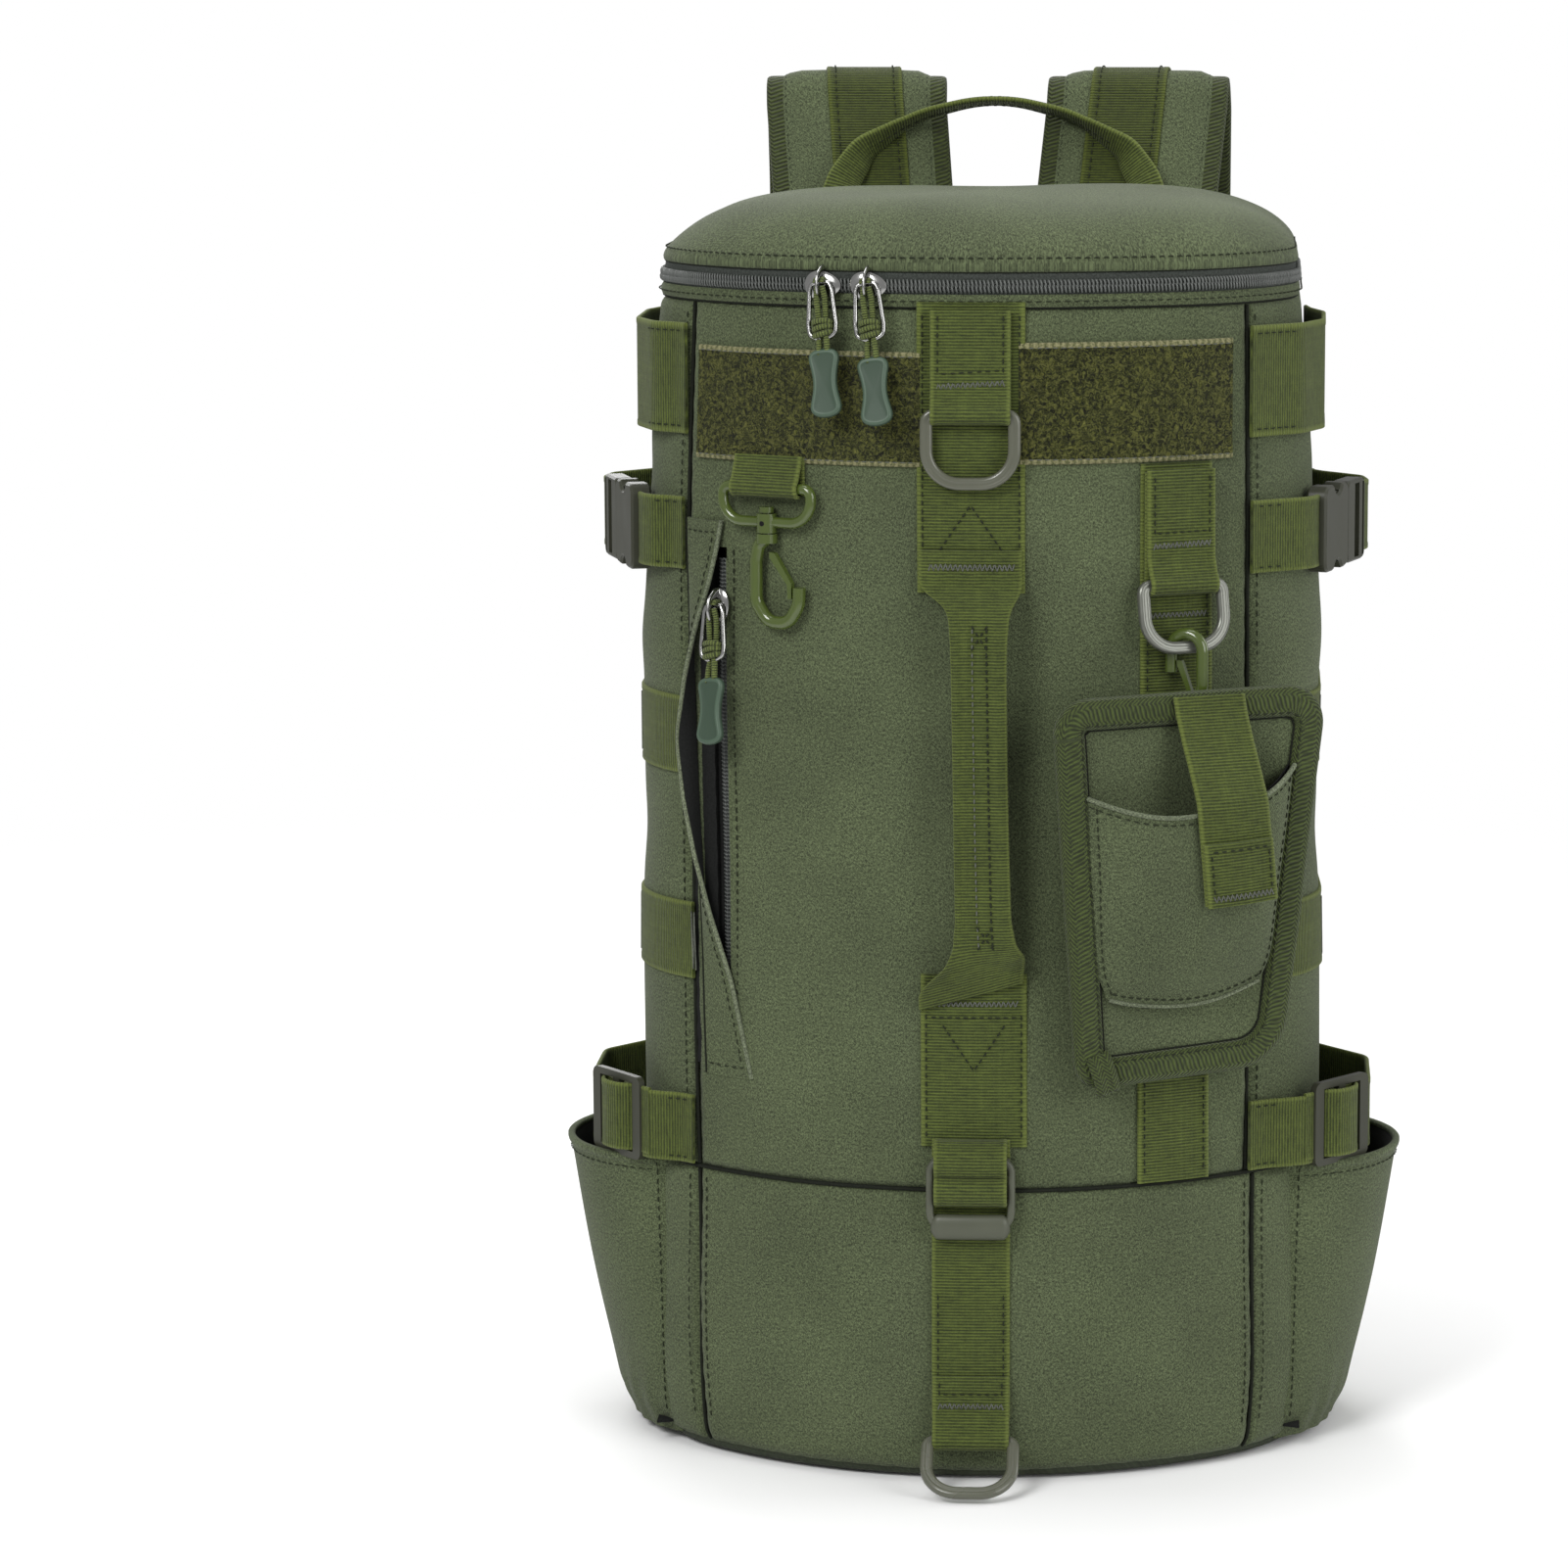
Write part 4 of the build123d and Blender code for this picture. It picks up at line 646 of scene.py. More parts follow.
M = {
    "shell": melange("shell_canvas", BODY_C),
    # painted highlight: a paler copy of the canvas for rolled and turned edges
    "shell_edge_highlight": melange("shell_edge_painted_highlight", (0.105, 0.122, 0.076)),
    "web": webbing_mat("ribbed_webbing", WEB_C),
    "bind": herring_mat("herringbone_tape", (0.0300, 0.0425, 0.0080)),
    "web_strap": webbing_mat("strap_webbing", (0.0270, 0.0370, 0.0040)),
    "bind_strap": herring_mat("strap_binding", (0.0235, 0.0320, 0.0055)),
    "pile": pile_mat("loop_pile"),
    # black lining cloth, and also the dark sheets that paint the shade beside the side zipper's slot, under the placket
    # flap and inside the pouch pocket's mouth
    "lining": plain_cloth("black_lining_and_painted_shade", (0.0070, 0.0075, 0.0070)),
    # painted shadow: near-black cloth for the cords that darken the seams' creases
    "seam": plain_cloth("painted_crease_shadow", (0.0065, 0.0080, 0.0045)),
    "base": plain_cloth("coated_base", (0.024, 0.030, 0.017), rough=0.6),
    "mesh": plain_cloth("spacer_mesh", (0.020, 0.024, 0.018), grain=0.5),
    "tape": plain_cloth("zipper_tape", (0.0330, 0.0375, 0.0330)),
    "coil": plastic_mat("nylon_coil", (0.084, 0.090, 0.084), 0.42, 0.0, 0.35),
    "coil2": plastic_mat("dark_coil", (0.014, 0.016, 0.015), 0.42, 0.0),
    "plastic": plastic_mat("olive_plastic", (0.0290, 0.0305, 0.0195), 0.46, 0.10, 0.28),
    "glide": plastic_mat("pale_olive_plastic", (0.062, 0.067, 0.046), 0.42, 0.1, 0.35),
    "hook": plastic_mat("glossy_olive", (0.0520, 0.0740, 0.0140), 0.15, 0.02, 0.6),
    "ring": plastic_mat("lacquered_ring", (0.078, 0.081, 0.058), 0.26, 0.02, 0.55),
    "ring2": metal_mat("pale_ring", (0.140, 0.145, 0.125), 0.30, 0.55),
    "chrome": metal_mat("bright_plating", (0.34, 0.34, 0.33), 0.17),
    "rubber": plastic_mat("soft_rubber", (0.0290, 0.0500, 0.0320), 0.52, 0.1, 0.3),
    "rubber_rim": plastic_mat("soft_rubber_rim", (0.0460, 0.0760, 0.0500), 0.45, 0.1, 0.35),
    "cord": webbing_mat("braided_cord", (0.068, 0.088, 0.024), 0.9, 0.7, 0.8, edge=False),
    "thread": plain_cloth("olive_thread", (0.0165, 0.0205, 0.0105)),
    "thread_lid": plain_cloth("canvas_thread", (0.030, 0.037, 0.020)),
    "thread_grey": plain_cloth("grey_thread", (0.088, 0.094, 0.078)),
    # painted shade: near-black for the boss's pin hole
    "hole": plain_cloth("pin_hole_painted_shade", (0.004, 0.004, 0.004)),
}

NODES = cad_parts


def paint(node, mat, smooth=40):
    o = NODES[node]
    o.data.materials.clear()
    o.data.materials.append(mat)
    if smooth:
        o.data.polygons.foreach_set("use_smooth", [True] * len(o.data.polygons))
        o.data.set_sharp_from_angle(angle=math.radians(smooth))


# =================================================================================================
# the shell: base, wrap, front, sides, back, rim
# =================================================================================================
def edge_dip(S_, Z_, s0, s1, z0, z1, depth=1.5, w=2.0):
    e = np.minimum(np.minimum(S_ - s0, s1 - S_), np.minimum(Z_ - z0, z1 - Z_))
    return -depth * np.exp(-(e / w) ** 2), e


def panel(name, s0, s1, z0, z1, nodes, puff=0.6, dip=2.0, ds=2.0, dz=2.0, mat="shell", t=2.4, extra=None, body="bag", hole=None):
    def spaced(a, b, st):
        if b - a < 16:
            return np.linspace(a, b, max(5, int((b - a) / 1.2)))
        e_ = np.array([0, 0.5, 1.1, 1.8, 2.7, 3.8])
        return np.concatenate([a + e_, np.linspace(a + 5.2, b - 5.2, max(2, int((b - a - 10) / st) + 1)), b - e_[::-1]])

    gs_, gz_ = spaced(s0, s1, ds), spaced(z0, z1, dz)
    if hole is not None:
        gs_, gz_ = (np.unique(np.concatenate([g_[(np.abs(g_ - lo_) > 0.8) & (np.abs(g_ - hi_) > 0.8)], [lo_, hi_]]))
                    for g_, lo_, hi_ in ((gs_, hole[0], hole[1]), (gz_, hole[2], hole[3])))
    Sg, Zg = np.meshgrid(gs_, gz_, indexing="ij")
    dd, e = edge_dip(Sg, Zg, s0, s1, z0, z1, dip)
    inside = np.minimum(1, np.maximum(0, e) / 40.0)
    d = dd + puff * inside
    d = d + 0.22 * np.sin(TAU * Sg / 9.3 + 0.7 * np.sin(Sg / 17)) * np.exp(-(np.minimum(Zg - z0, z1 - Zg) / 6.0) ** 2)
    d = d + 0.18 * np.sin(TAU * Zg / 10.1 + 0.9 * np.sin(Zg / 23)) * np.exp(-(np.minimum(Sg - s0, s1 - Sg) / 6.0) ** 2)
    if extra is not None:
        d = d + extra(Sg, Zg)
    P = body_pt(Sg, Zg, d)
    if hole is None:
        return thick(name, P, np.stack([Sg, Zg], -1), t, body, mat, M[mat], nodes)
    nu, nv = P.shape[:2]
    k = nu * nv
    Q = P - grid_normals(P) * t
    sf, zf = Sg.ravel(), Zg.ravel()
    outer = []
    for f_ in grid_faces(nu, nv):
        s_, z_ = sf[f_].mean(), zf[f_].mean()
        if not (hole[0] < s_ < hole[1] and hole[2] < z_ < hole[3]):
            outer.append(list(f_))
    count = {}
    for f_ in outer:
        for a_, b_ in zip(f_, f_[1:] + f_[:1]):
            count[(a_, b_)] = 1
    faces = outer + [[v_ + k for v_ in f_[::-1]] for f_ in outer]
    faces += [[b_, a_, a_ + k, b_ + k] for (a_, b_) in count if (b_, a_) not in count]
    used = np.unique(np.array([v_ for f_ in faces for v_ in f_]))
    back_ = np.full(2 * k, -1)
    back_[used] = np.arange(len(used))
    verts = np.concatenate([P.reshape(-1, 3), Q.reshape(-1, 3)])[used]
    uv = np.concatenate([np.stack([Sg, Zg], -1).reshape(-1, 2)] * 2)[used]
    return emit(name, verts, [[int(back_[v_]) for v_ in f_] for f_ in faces], uv, body, mat, M[mat], nodes)


S1 = CUM[1]


def wrinkles(Sg, Zg):
    """Soft pulls beside the webbing and above the waist seam."""
    d = 0.9 * np.exp(-((Zg - 146) / 24.0) ** 2) * np.sin(Sg / 16.0 + 0.6)
    d += 0.9 * np.exp(-((Zg - 330 - 0.35 * (Sg - 30)) / 11.0) ** 2) * np.exp(-((Sg - 44) / 22.0) ** 2)
    d -= 0.9 * np.exp(-((Zg - 300 + 0.30 * (Sg + 40)) / 15.0) ** 2) * np.exp(-((Sg + 52) / 26.0) ** 2)
    d -= 0.7 * np.exp(-((Zg - 196 - 0.45 * (Sg - 30)) / 13.0) ** 2) * np.exp(-((Sg - 34) / 22.0) ** 2)
    d += 0.7 * np.exp(-((Zg - 215 + 0.5 * (Sg + 36)) / 16.0) ** 2) * np.exp(-((Sg + 40) / 22.0) ** 2)
    d += 0.5 * np.sin(Zg / 17.0 + Sg / 31.0) * np.exp(-((Sg + 74) / 20.0) ** 2)
    # nothing under the webbing that lies flat
    keep = 1 - np.exp(-(Sg / 21.0) ** 4) - 0.8 * np.exp(-((Sg - 76.6) / 17.0) ** 4)
    d = d * np.maximum(keep, 0)
    # the valley beside the grab handle
    up = sstep(Zg, 176, 230) * (1 - sstep(Zg, 318, 352))
    return d - 3.9 * up * np.exp(-((Sg - 18.5 - 0.03 * (Zg - 260)) / 9.5) ** 2) - 1.2 * up * np.exp(-((Sg + 15.0) / 8.0) ** 2)


def roll_under(Zg):
    return -4.5 * np.exp(-((Zg - 1.5) / 3.6) ** 2) - 1.0 * np.exp(-((Zg - 1.5) / 12.0) ** 2)


def wrap_shape(Sg, Zg):
    d = 1.0 * np.exp(-((Zg - 55) / 34.0) ** 2) + roll_under(Zg)
    d += 0.55 * np.sin(Sg / 24.0 + 0.4) * np.exp(-((Zg - 70) / 30.0) ** 2)
    d += 0.5 * np.exp(-((Zg - 60 - 0.5 * (Sg + 60)) / 14.0) ** 2) * np.exp(-((Sg + 66) / 24.0) ** 2)
    d -= 0.6 * np.exp(-((Zg - 84 + 0.45 * (Sg - 60)) / 12.0) ** 2) * np.exp(-((Sg - 62) / 26.0) ** 2)
    return d


def side_shape(Sg, Zg):
    q = np.abs(Sg)
    d = 1.1 * np.sin(math.pi * np.clip((q - S1) / (CUM[4] - S1), 0, 1)) * np.sin(math.pi * np.clip((Zg - 8) / 428, 0, 1))
    d = d + 0.9 * np.exp(-((Zg - 305 - 0.2 * (q - 150)) / 12.0) ** 2) - 0.9 * np.exp(-((Zg - 232 + 0.25 * (q - 170)) / 13.0) ** 2)
    d = d - 0.7 * np.exp(-((Zg - 372 + 0.3 * (q - 150)) / 11.0) ** 2)
    return d + roll_under(Zg)


def crease_shadow_line(name, P, r=0.75, body="bag"):
    """Painted shadow of a seam's crease: a thin near-black cord down between two panels."""
    return tube(name, resample(P, 3.0), r, body, "shell", M["seam"], n=6, smooth="all", fix=False)


# opening of the side zipper: the front panel has a hole cut round its slot
SEAM_L, SEAM_R = -S1 - 4.3, S1 - 3.5
SLOT0, SLOT1 = math.radians(-36.2) * R, math.radians(-33.45) * R
panel("front_fabric", SEAM_L, SEAM_R, 111, 436, ("front_panel",), extra=wrinkles, ds=2.0, hole=(SLOT0 - 6.0, SLOT1, 158.0, 346.0))
# black sheet under the flap beside the slot: painted shade of the slot's depth
panel("slot_side_shade_sheet", SEAM_L + 0.5, SLOT0, 151, 353, (), puff=-1.2, dip=0.9, ds=1.8, mat="lining")
panel("wrap_fabric", -S1, S1, 1.5, 111, ("lower_front_wrap",), extra=wrap_shape)
for sg, nm in ((1, "right"), (-1, "left")):
    a, b = (SEAM_R, CUM[3]) if sg > 0 else (-CUM[3], SEAM_L)
    panel(nm + "_side_fabric", a, b, 111, 436, (nm + "_side_panel",), extra=side_shape, ds=2.6, dz=2.8)
    a, b = (S1, CUM[3]) if sg > 0 else (-CUM[3], -S1)
    panel(nm + "_side_foot", a, b, 1.5, 111, (), extra=side_shape, ds=3.0, dz=3.0)
    zz = np.linspace(112, 435, 110)
    # dark cords in the seams: painted shadow of their creases
    crease_shadow_line(nm + "_upper_seam_shadow", body_pt(SEAM_R if sg > 0 else SEAM_L, zz, -1.05))
    zz = np.linspace(3, 110, 40)
    crease_shadow_line(nm + "_lower_seam_shadow", body_pt(S1 * sg, zz, -1.05 + roll_under(zz)))
    zz = np.linspace(4, 434, 110)
    crease_shadow_line(nm + "_rear_seam_shadow", body_pt(CUM[3] * sg, zz, -1.05 + roll_under(zz)), 0.7)
ss = np.linspace(-CUM[3], CUM[3], 320)
# painted shadow along the waist and rim seams
crease_shadow_line("waist_seam_shadow", body_pt(ss, 0 * ss + 111.0, -1.05), 0.8)
crease_shadow_line("rim_seam_shadow", body_pt(ss, 0 * ss + 436.0, -1.05), 0.8)


def back_fabric():
    s0, s1, z0, z1 = CUM[3], 2 * HALF - CUM[3], 1.5, 442.6
    s = np.linspace(s0, s1, 110)
    z = np.linspace(z0, z1, 160)
    Sg, Zg = np.meshgrid(s, z, indexing="ij")
    dd, e = edge_dip(Sg, Zg, s0, s1, z0, z1, 1.3)
    d = dd + 0.3 * np.sin(Sg / 33) * np.sin(Zg / 41) + roll_under(Zg)
    q = np.where(Sg > HALF, Sg - 2 * HALF, Sg)
    x, y, _, _ = outl(q, d)
    # at the very middle both halves meet
    P = taper(np.stack([x, y, Zg], -1))
    thick("back_fabric", P, np.stack([Sg, Zg], -1), 2.4, "bag", "shell", M["shell"], ("back_panel",))


back_fabric()


def loop_band(name, z0, z1, d0, t, mat, slot, nodes, body, s_end, round_=0.8, n=420, mz=7, kw=1.0):
    """A band round the front and sides from z0 to z1, rounded at its edges."""
    s = np.linspace(-s_end, s_end, n)
    z = np.linspace(z0, z1, mz)
    Sg, Zg = np.meshgrid(s, z, indexing="ij")
    e = np.minimum(Zg - z0, z1 - Zg)
    d = d0 - round_ * np.exp(-(e / 1.0) ** 2)
    return thick(name, body_pt(Sg, Zg, d, kw), np.stack([Sg, Zg], -1), t, body, slot, M[mat], nodes)


loop_band("rim_fabric", 436.1, 440.6, 0.55, 2.6, "shell", "shell", ("rim_band",), "bag", CUM[3] - 1.0, mz=8)


def base_tray():
    """Coated tray: a low upstand rolled under to the floor."""
    s = np.linspace(-HALF, HALF, 420)
    prof_ = [(-4.6, 8.2), (-4.4, 5.0), (-4.6, 3.0), (-5.4, 1.4), (-7.5, 0.45), (-14, 0.0), (-30, 0.0), (-60, 0.0)]
    rows = []
    for d, z in prof_:
        k = 1 - max(0, -d - 14) / 60.0
        x, y, _, _ = outl(s, max(d, -14))
        P = np.stack([x, y, np.full_like(x, z)], -1)
        if d < -14:
            P[:, 0] *= k
            P[:, 1] = 0 + P[:, 1] * k
        rows.append(P)
    P = np.stack(rows, 1)
    n, m = P.shape[:2]
    verts = np.concatenate([P.reshape(-1, 3), [[0, 0, 0.0]]])
    faces = grid_faces(n, m)
    for i in range(n - 1):
        faces.append([(i + 1) * m + m - 1, i * m + m - 1, n * m])
    # inner floor
    inner = P[:, 0].copy()
    x, y, _, _ = outl(s, -7.4)
    top = np.stack([x, y, np.full_like(x, 8.2)], -1)
    floor = np.stack([x, y, np.full_like(x, 4.2)], -1)
    k0 = len(verts)
    verts = np.concatenate([verts, top, floor, [[0, 0, 4.2]]])
    for i in range(n - 1):
        faces.append([i * m, (i + 1) * m, k0 + i + 1, k0 + i])
        faces.append([k0 + i, k0 + i + 1, k0 + n + i + 1, k0 + n + i])
        faces.append([k0 + n + i, k0 + n + i + 1, k0 + 2 * n])
    uv = verts[:, :2] + verts[:, 2:] * 0.7
    emit("base_tray", verts, faces, uv, "bag", "base", M["base"], ("base_panel",))


base_tray()

# top-stitching beside the seams
zz = np.linspace(116, 432, 120)
stitch("bag", body_pt(np.full_like(zz, SEAM_R + 3.6), zz, 0.15), sk_n(38), pitch=3.6)
stitch("bag", body_pt(np.full_like(zz, SEAM_L - 3.6), zz, 0.15), sk_n(-42), pitch=3.6)
for sa in (S1 - 4.6, S1 + 3.6, -S1 + 4.6, -S1 - 3.6):
    z2 = np.linspace(14, 108, 40)
    stitch("bag", body_pt(np.full_like(z2, sa), z2, 0.1 + wrap_shape(sa, z2)), sk_n(38 * np.sign(sa)), pitch=3.6)

# =================================================================================================
# zipper of the lid, side zipper
# =================================================================================================
ZEND = CUM[2] + 64.66


def coil(name, s_fn, z_fn, d0, r, pitch, length, wire, body, slot, lean=0.0, vertical=False):
    """A nylon coil: a flattened helix along a track. s_fn(l), z_fn(l) give the track at length l."""
    turns = length / pitch
    n = int(turns * 9)
    l = np.linspace(0, length, n)
    th = TAU * l / pitch
    cr, dr = r * np.cos(th), 0.62 * r * np.sin(th)
    if vertical:
        P = body_pt(s_fn(l) + cr, z_fn(l) + lean * cr, d0 + dr)
    else:
        P = body_pt(s_fn(l) + lean * cr, z_fn(l) + cr, d0 + dr)
    return tube(name, P, wire, body, slot, M["coil"], n=5, smooth="all", fix=False)


loop_band("lower_tape", 440.3, 443.2, -0.30, 0.7, "tape", "zip_tape", ("lower_zip_tape",), "bag", ZEND, 0.2, 420, 5)
coil("lower_coil", lambda l: l - ZEND, lambda l: 0 * l + 442.65, 0.30, 1.25, 1.45, 2 * ZEND, 0.40, "bag", "zip_tape")
loop_band("upper_tape", 444.0, 449.6, -0.30, 0.7, "tape", "zip_tape", ("upper_zip_tape",), "lid", ZEND, 0.2, 420, 5)
coil("upper_coil", lambda l: l - ZEND, lambda l: 0 * l + 444.55, 0.30, 1.25, 1.45, 2 * ZEND, 0.40, "lid", "zip_tape")

SZ = math.radians(-34.6) * R


def side_zip():
    parts = []
    for x0, x1 in ((SLOT0 - 4.0, SZ - 0.15), (SZ + 0.15, SLOT1 + 1.5)):
        s = np.linspace(x0, x1, 5)
        z = np.linspace(165, 342, 60)
        Sg, Zg = np.meshgrid(s, z, indexing="ij")
        P = body_pt(Sg, Zg, -3.4)
        n = grid_normals(P)
        Q = P - n * 0.6
        m = len(P.reshape(-1, 3))
        f = grid_faces(5, 60) + grid_faces(5, 60, m, flip=True)
        parts.append((np.concatenate([P.reshape(-1, 3), Q.reshape(-1, 3)]), f,
                      np.concatenate([np.stack([Sg, Zg], -1).reshape(-1, 2)] * 2)))
    v, f, u = join(parts)
    emit("side_tapes", v, f, u, "bag", "zip_tape", M["lining"], ("side_zip_track",), fix=False)
    for nm, off in (("side_coil_left", -0.95), ("side_coil_right", 0.95)):
        tube(nm, body_pt(SZ + off, np.linspace(165.5, 341.5, 120), -2.5), 1.0, "bag", "zip_tape", M["coil2"], n=8, smooth="all", fix=False)
        coil(nm + "_turns", lambda l, off=off: 0 * l + SZ + off, lambda l: 165.5 + l, -2.3, 1.0, 1.45, 176.0, 0.34, "bag", "zip_tape", vertical=True)
    # turned edge of the front fabric beside the slot
    zz = np.linspace(165, 342, 100)
    tube("slot_edge_fold", body_pt(SLOT1 + 0.2, zz, -0.3), 0.85, "bag", "shell", M["shell"], n=8, smooth="all", fix=False)


side_zip()
q = np.linspace(158, 346, 70)
for off in (3.4, ):
    stitch("bag", body_pt(np.full_like(q, SLOT1 + off), q, 0.25), sk_n(-32), pitch=3.4, r=0.36)

# lining behind the side zipper
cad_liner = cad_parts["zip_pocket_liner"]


def liner():
    a = np.radians(np.linspace(-36, 30, 60)) * R
    z = np.linspace(150, 354, 60)
    Sg, Zg = np.meshgrid(a, z, indexing="ij")
    x, y, _, _ = outl(Sg, -6.3 + 0.4 * np.sin(Sg / 13) * np.sin(Zg / 21))
    thick("pocket_lining", np.stack([x, y, Zg], -1), np.stack([Sg, Zg], -1), 0.9, "bag", "lining", M["lining"], ("zip_pocket_liner",))


liner()


# placket flap beside the side zipper: sewn along the seam, its free edge standing open in the middle
def placket():
    zk = np.array([148.0, 165, 184, 210, 230, 252, 275, 298, 315, 331, 345, 356.0])
    xe = np.array([-83.3, -87.0, -91.1, -100.4, -105.8, -109.2, -111.0, -108.2, -104.0, -98.7, -95.2, -93.1])
    he = np.array([1.7, 2.0, 2.8, 5.2, 7.0, 8.2, 8.6, 7.6, 5.8, 4.2, 2.9, 2.2])
    z = np.linspace(148.0, 356.0, 150)
    ker = np.hanning(13)
    ker /= ker.sum()
    sm = lambda A: np.convolve(np.pad(np.interp(z, zk, A), 6, mode="reflect", reflect_type="odd"), ker, "valid")
    X, H = sm(xe), sm(he)
    ae = np.degrees(np.arcsin(X / (R + H)))
    root = np.degrees(np.interp(z, [148, 190, 250, 356], [SEAM_L + 6.0, SEAM_L + 5.6, SEAM_L + 3.6, SEAM_L + 0.8]) / R)
    n = 26
    u = np.linspace(0, 1, n)[:, None]
    wide = np.clip((ae - root) / 7.0, 0.0, 1.0)
    a1 = root + (0.30 + 0.30 * wide) * np.maximum(ae - root, 1.6)
    h1 = 0.55 * H + 0.8
    A = (1 - u) ** 2 * root + 2 * u * (1 - u) * a1 + u ** 2 * ae
    O = (1 - u) ** 2 * 0.9 + 2 * u * (1 - u) * h1 + u ** 2 * H
    O = O + 0.35 * np.sin(z / 13.0)[None] * u * (1 - u) * 2
    Z = np.broadcast_to(z[None, :], A.shape) + 2.0 * u * (1 - u) * np.sin(z / 30.0)[None]
    P = front(A, Z, O, 0.7)
    arc = np.concatenate([np.zeros((1, len(z))), np.cumsum(np.linalg.norm(np.diff(P, axis=0), axis=-1), 0)])
    thick("placket_flap", P, np.stack([arc, Z], -1), 1.2, "bag", "shell", M["shell"], ("side_zip_placket",))
    nn = grid_normals(P)
    # black sheet on the flap's inner face: painted shade of its underside
    thick("placket_underside_shade", (P - nn * 1.25)[1:-1, 2:-2], np.stack([arc, Z], -1)[1:-1, 2:-2], 0.3, "bag", "lining", M["lining"])
    # turned edge, in a paler canvas as a painted highlight, and the stitching in from it
    tube("placket_edge_fold", resample(P[-1] - nn[-1] * 0.5, 2.0), 0.85, "bag", "shell", M["shell_edge_highlight"], n=8, smooth="all", fix=False)
    k = np.clip((arc[-1][None] - arc - 2.6), -99, 99)
    i0 = np.argmin(np.abs(k), axis=0)
    row = P[i0, np.arange(len(z))] + nn[i0, np.arange(len(z))] * 0.12
    stitch("bag", row[4:-4], nn[i0, np.arange(len(z))][4:-4], pitch=3.3, r=0.26)
    for j in (3, len(z) - 4):
        stitch("bag", P[1:-2, j] + nn[1:-2, j] * 0.12, nn[1:-2, j], pitch=3.0, r=0.30)
    # dark cord at the flap's root: painted shadow of the crease
    crease_shadow_line("placket_root_seam_shadow", P[0] + sk_n(-40) * -0.2, 0.55)


placket()

# =================================================================================================
# loop strip and webbing on the front
# =================================================================================================
deg = lambda mm: np.degrees(mm / R)


def skin_strip(a0, xc=0.0, out=None, lean=0.0, k=1.0):
    """F for a strip running up the front at angle a0; v is the height."""
    def F(v, x, y):
        o = 0.0 if out is None else out(v)
        return front(a0 + np.degrees((x + (xc(v) if callable(xc) else xc) + lean * (v - 250)) / R), v, y + o, k)
    return F


def skin_strip_h(z0):
    """F for a strip running round the front at height z0; v is the arc length."""
    def F(v, x, y):
        return front(np.degrees(v / R), z0 - x, y)
    return F


parts_keep = []
v = np.arange(-109.5, -17.0, 1.5)
strip("loop_strip_left", skin_strip_h(399.2), v, 41.5, 1.9, "bag", "loop_pile", M["pile"], ("loop_strip",), m=23)
v = np.arange(17.0, 99.6, 1.5)
strip("loop_strip_right", skin_strip_h(401.5), v, 44.0, 1.9, "bag", "loop_pile", M["pile"], (), m=23)
for a, b, zt, zb in ((-108.5, -20.0, 418.2, 380.2), (20.0, 98.5, 421.6, 381.4)):
    for z in (zt, zb):
        q = np.linspace(a, b, 60)
        stitch("bag_grey", front(deg(q), np.full_like(q, z), 2.05), np.stack([np.sin(q / R), -np.cos(q / R), 0 * q], -1), pitch=2.9, r=0.24)

# centre webbing
Fc = skin_strip(0.0, out=lambda v: 0.15 + 0 * v, k=1.0)
v = np.arange(333, 438.5, 1.5)
strip("centre_webbing_top", Fc, v, 39.0, 1.5, "bag", "webbing", M["web"], ("centre_webbing",), m=13)
v = np.arange(128, 193, 1.5)
strip("centre_webbing_low", skin_strip(0.0, xc=1.0, out=lambda v: 0.15 + 0 * v), v, 39.0, 1.5, "bag", "webbing", M["web"], (), m=13)
for x in (-17.3, 17.3):
    for a, b in ((346, 434), (131, 178)):
        q = np.linspace(a, b, 60)
        stitch("bag", Fc(q, np.full_like(q, x + (1.0 if b < 200 else 0.0)), np.full_like(q, 1.75)), sk_n(x / 2.9), pitch=3.0, r=0.30)
# triangles of the box stitches
for (za, zb, up_) in ((348.0, 365.0, 1), (156.5, 174.0, -1)):
    zt = zb if up_ > 0 else za
    zb2 = za if up_ > 0 else zb
    for sx in (-1, 1):
        f = np.linspace(0, 1, 14)
        stitch("bag", Fc(zt + (zb2 - zt) * f, sx * 11.5 * f + (1.0 if up_ < 0 else 0.0), np.full_like(f, 1.6)), sk_n(0), pitch=2.9, r=0.38)
bartack("bag_grey", Fc, -15.0, 17.0, 181.5, h=2.2, out=1.8)
q = np.linspace(-15, 17, 20)
stitch("bag", Fc(176.5 + 0 * q, q, 1.6 + 0 * q), sk_n(0), pitch=2.9, r=0.34)


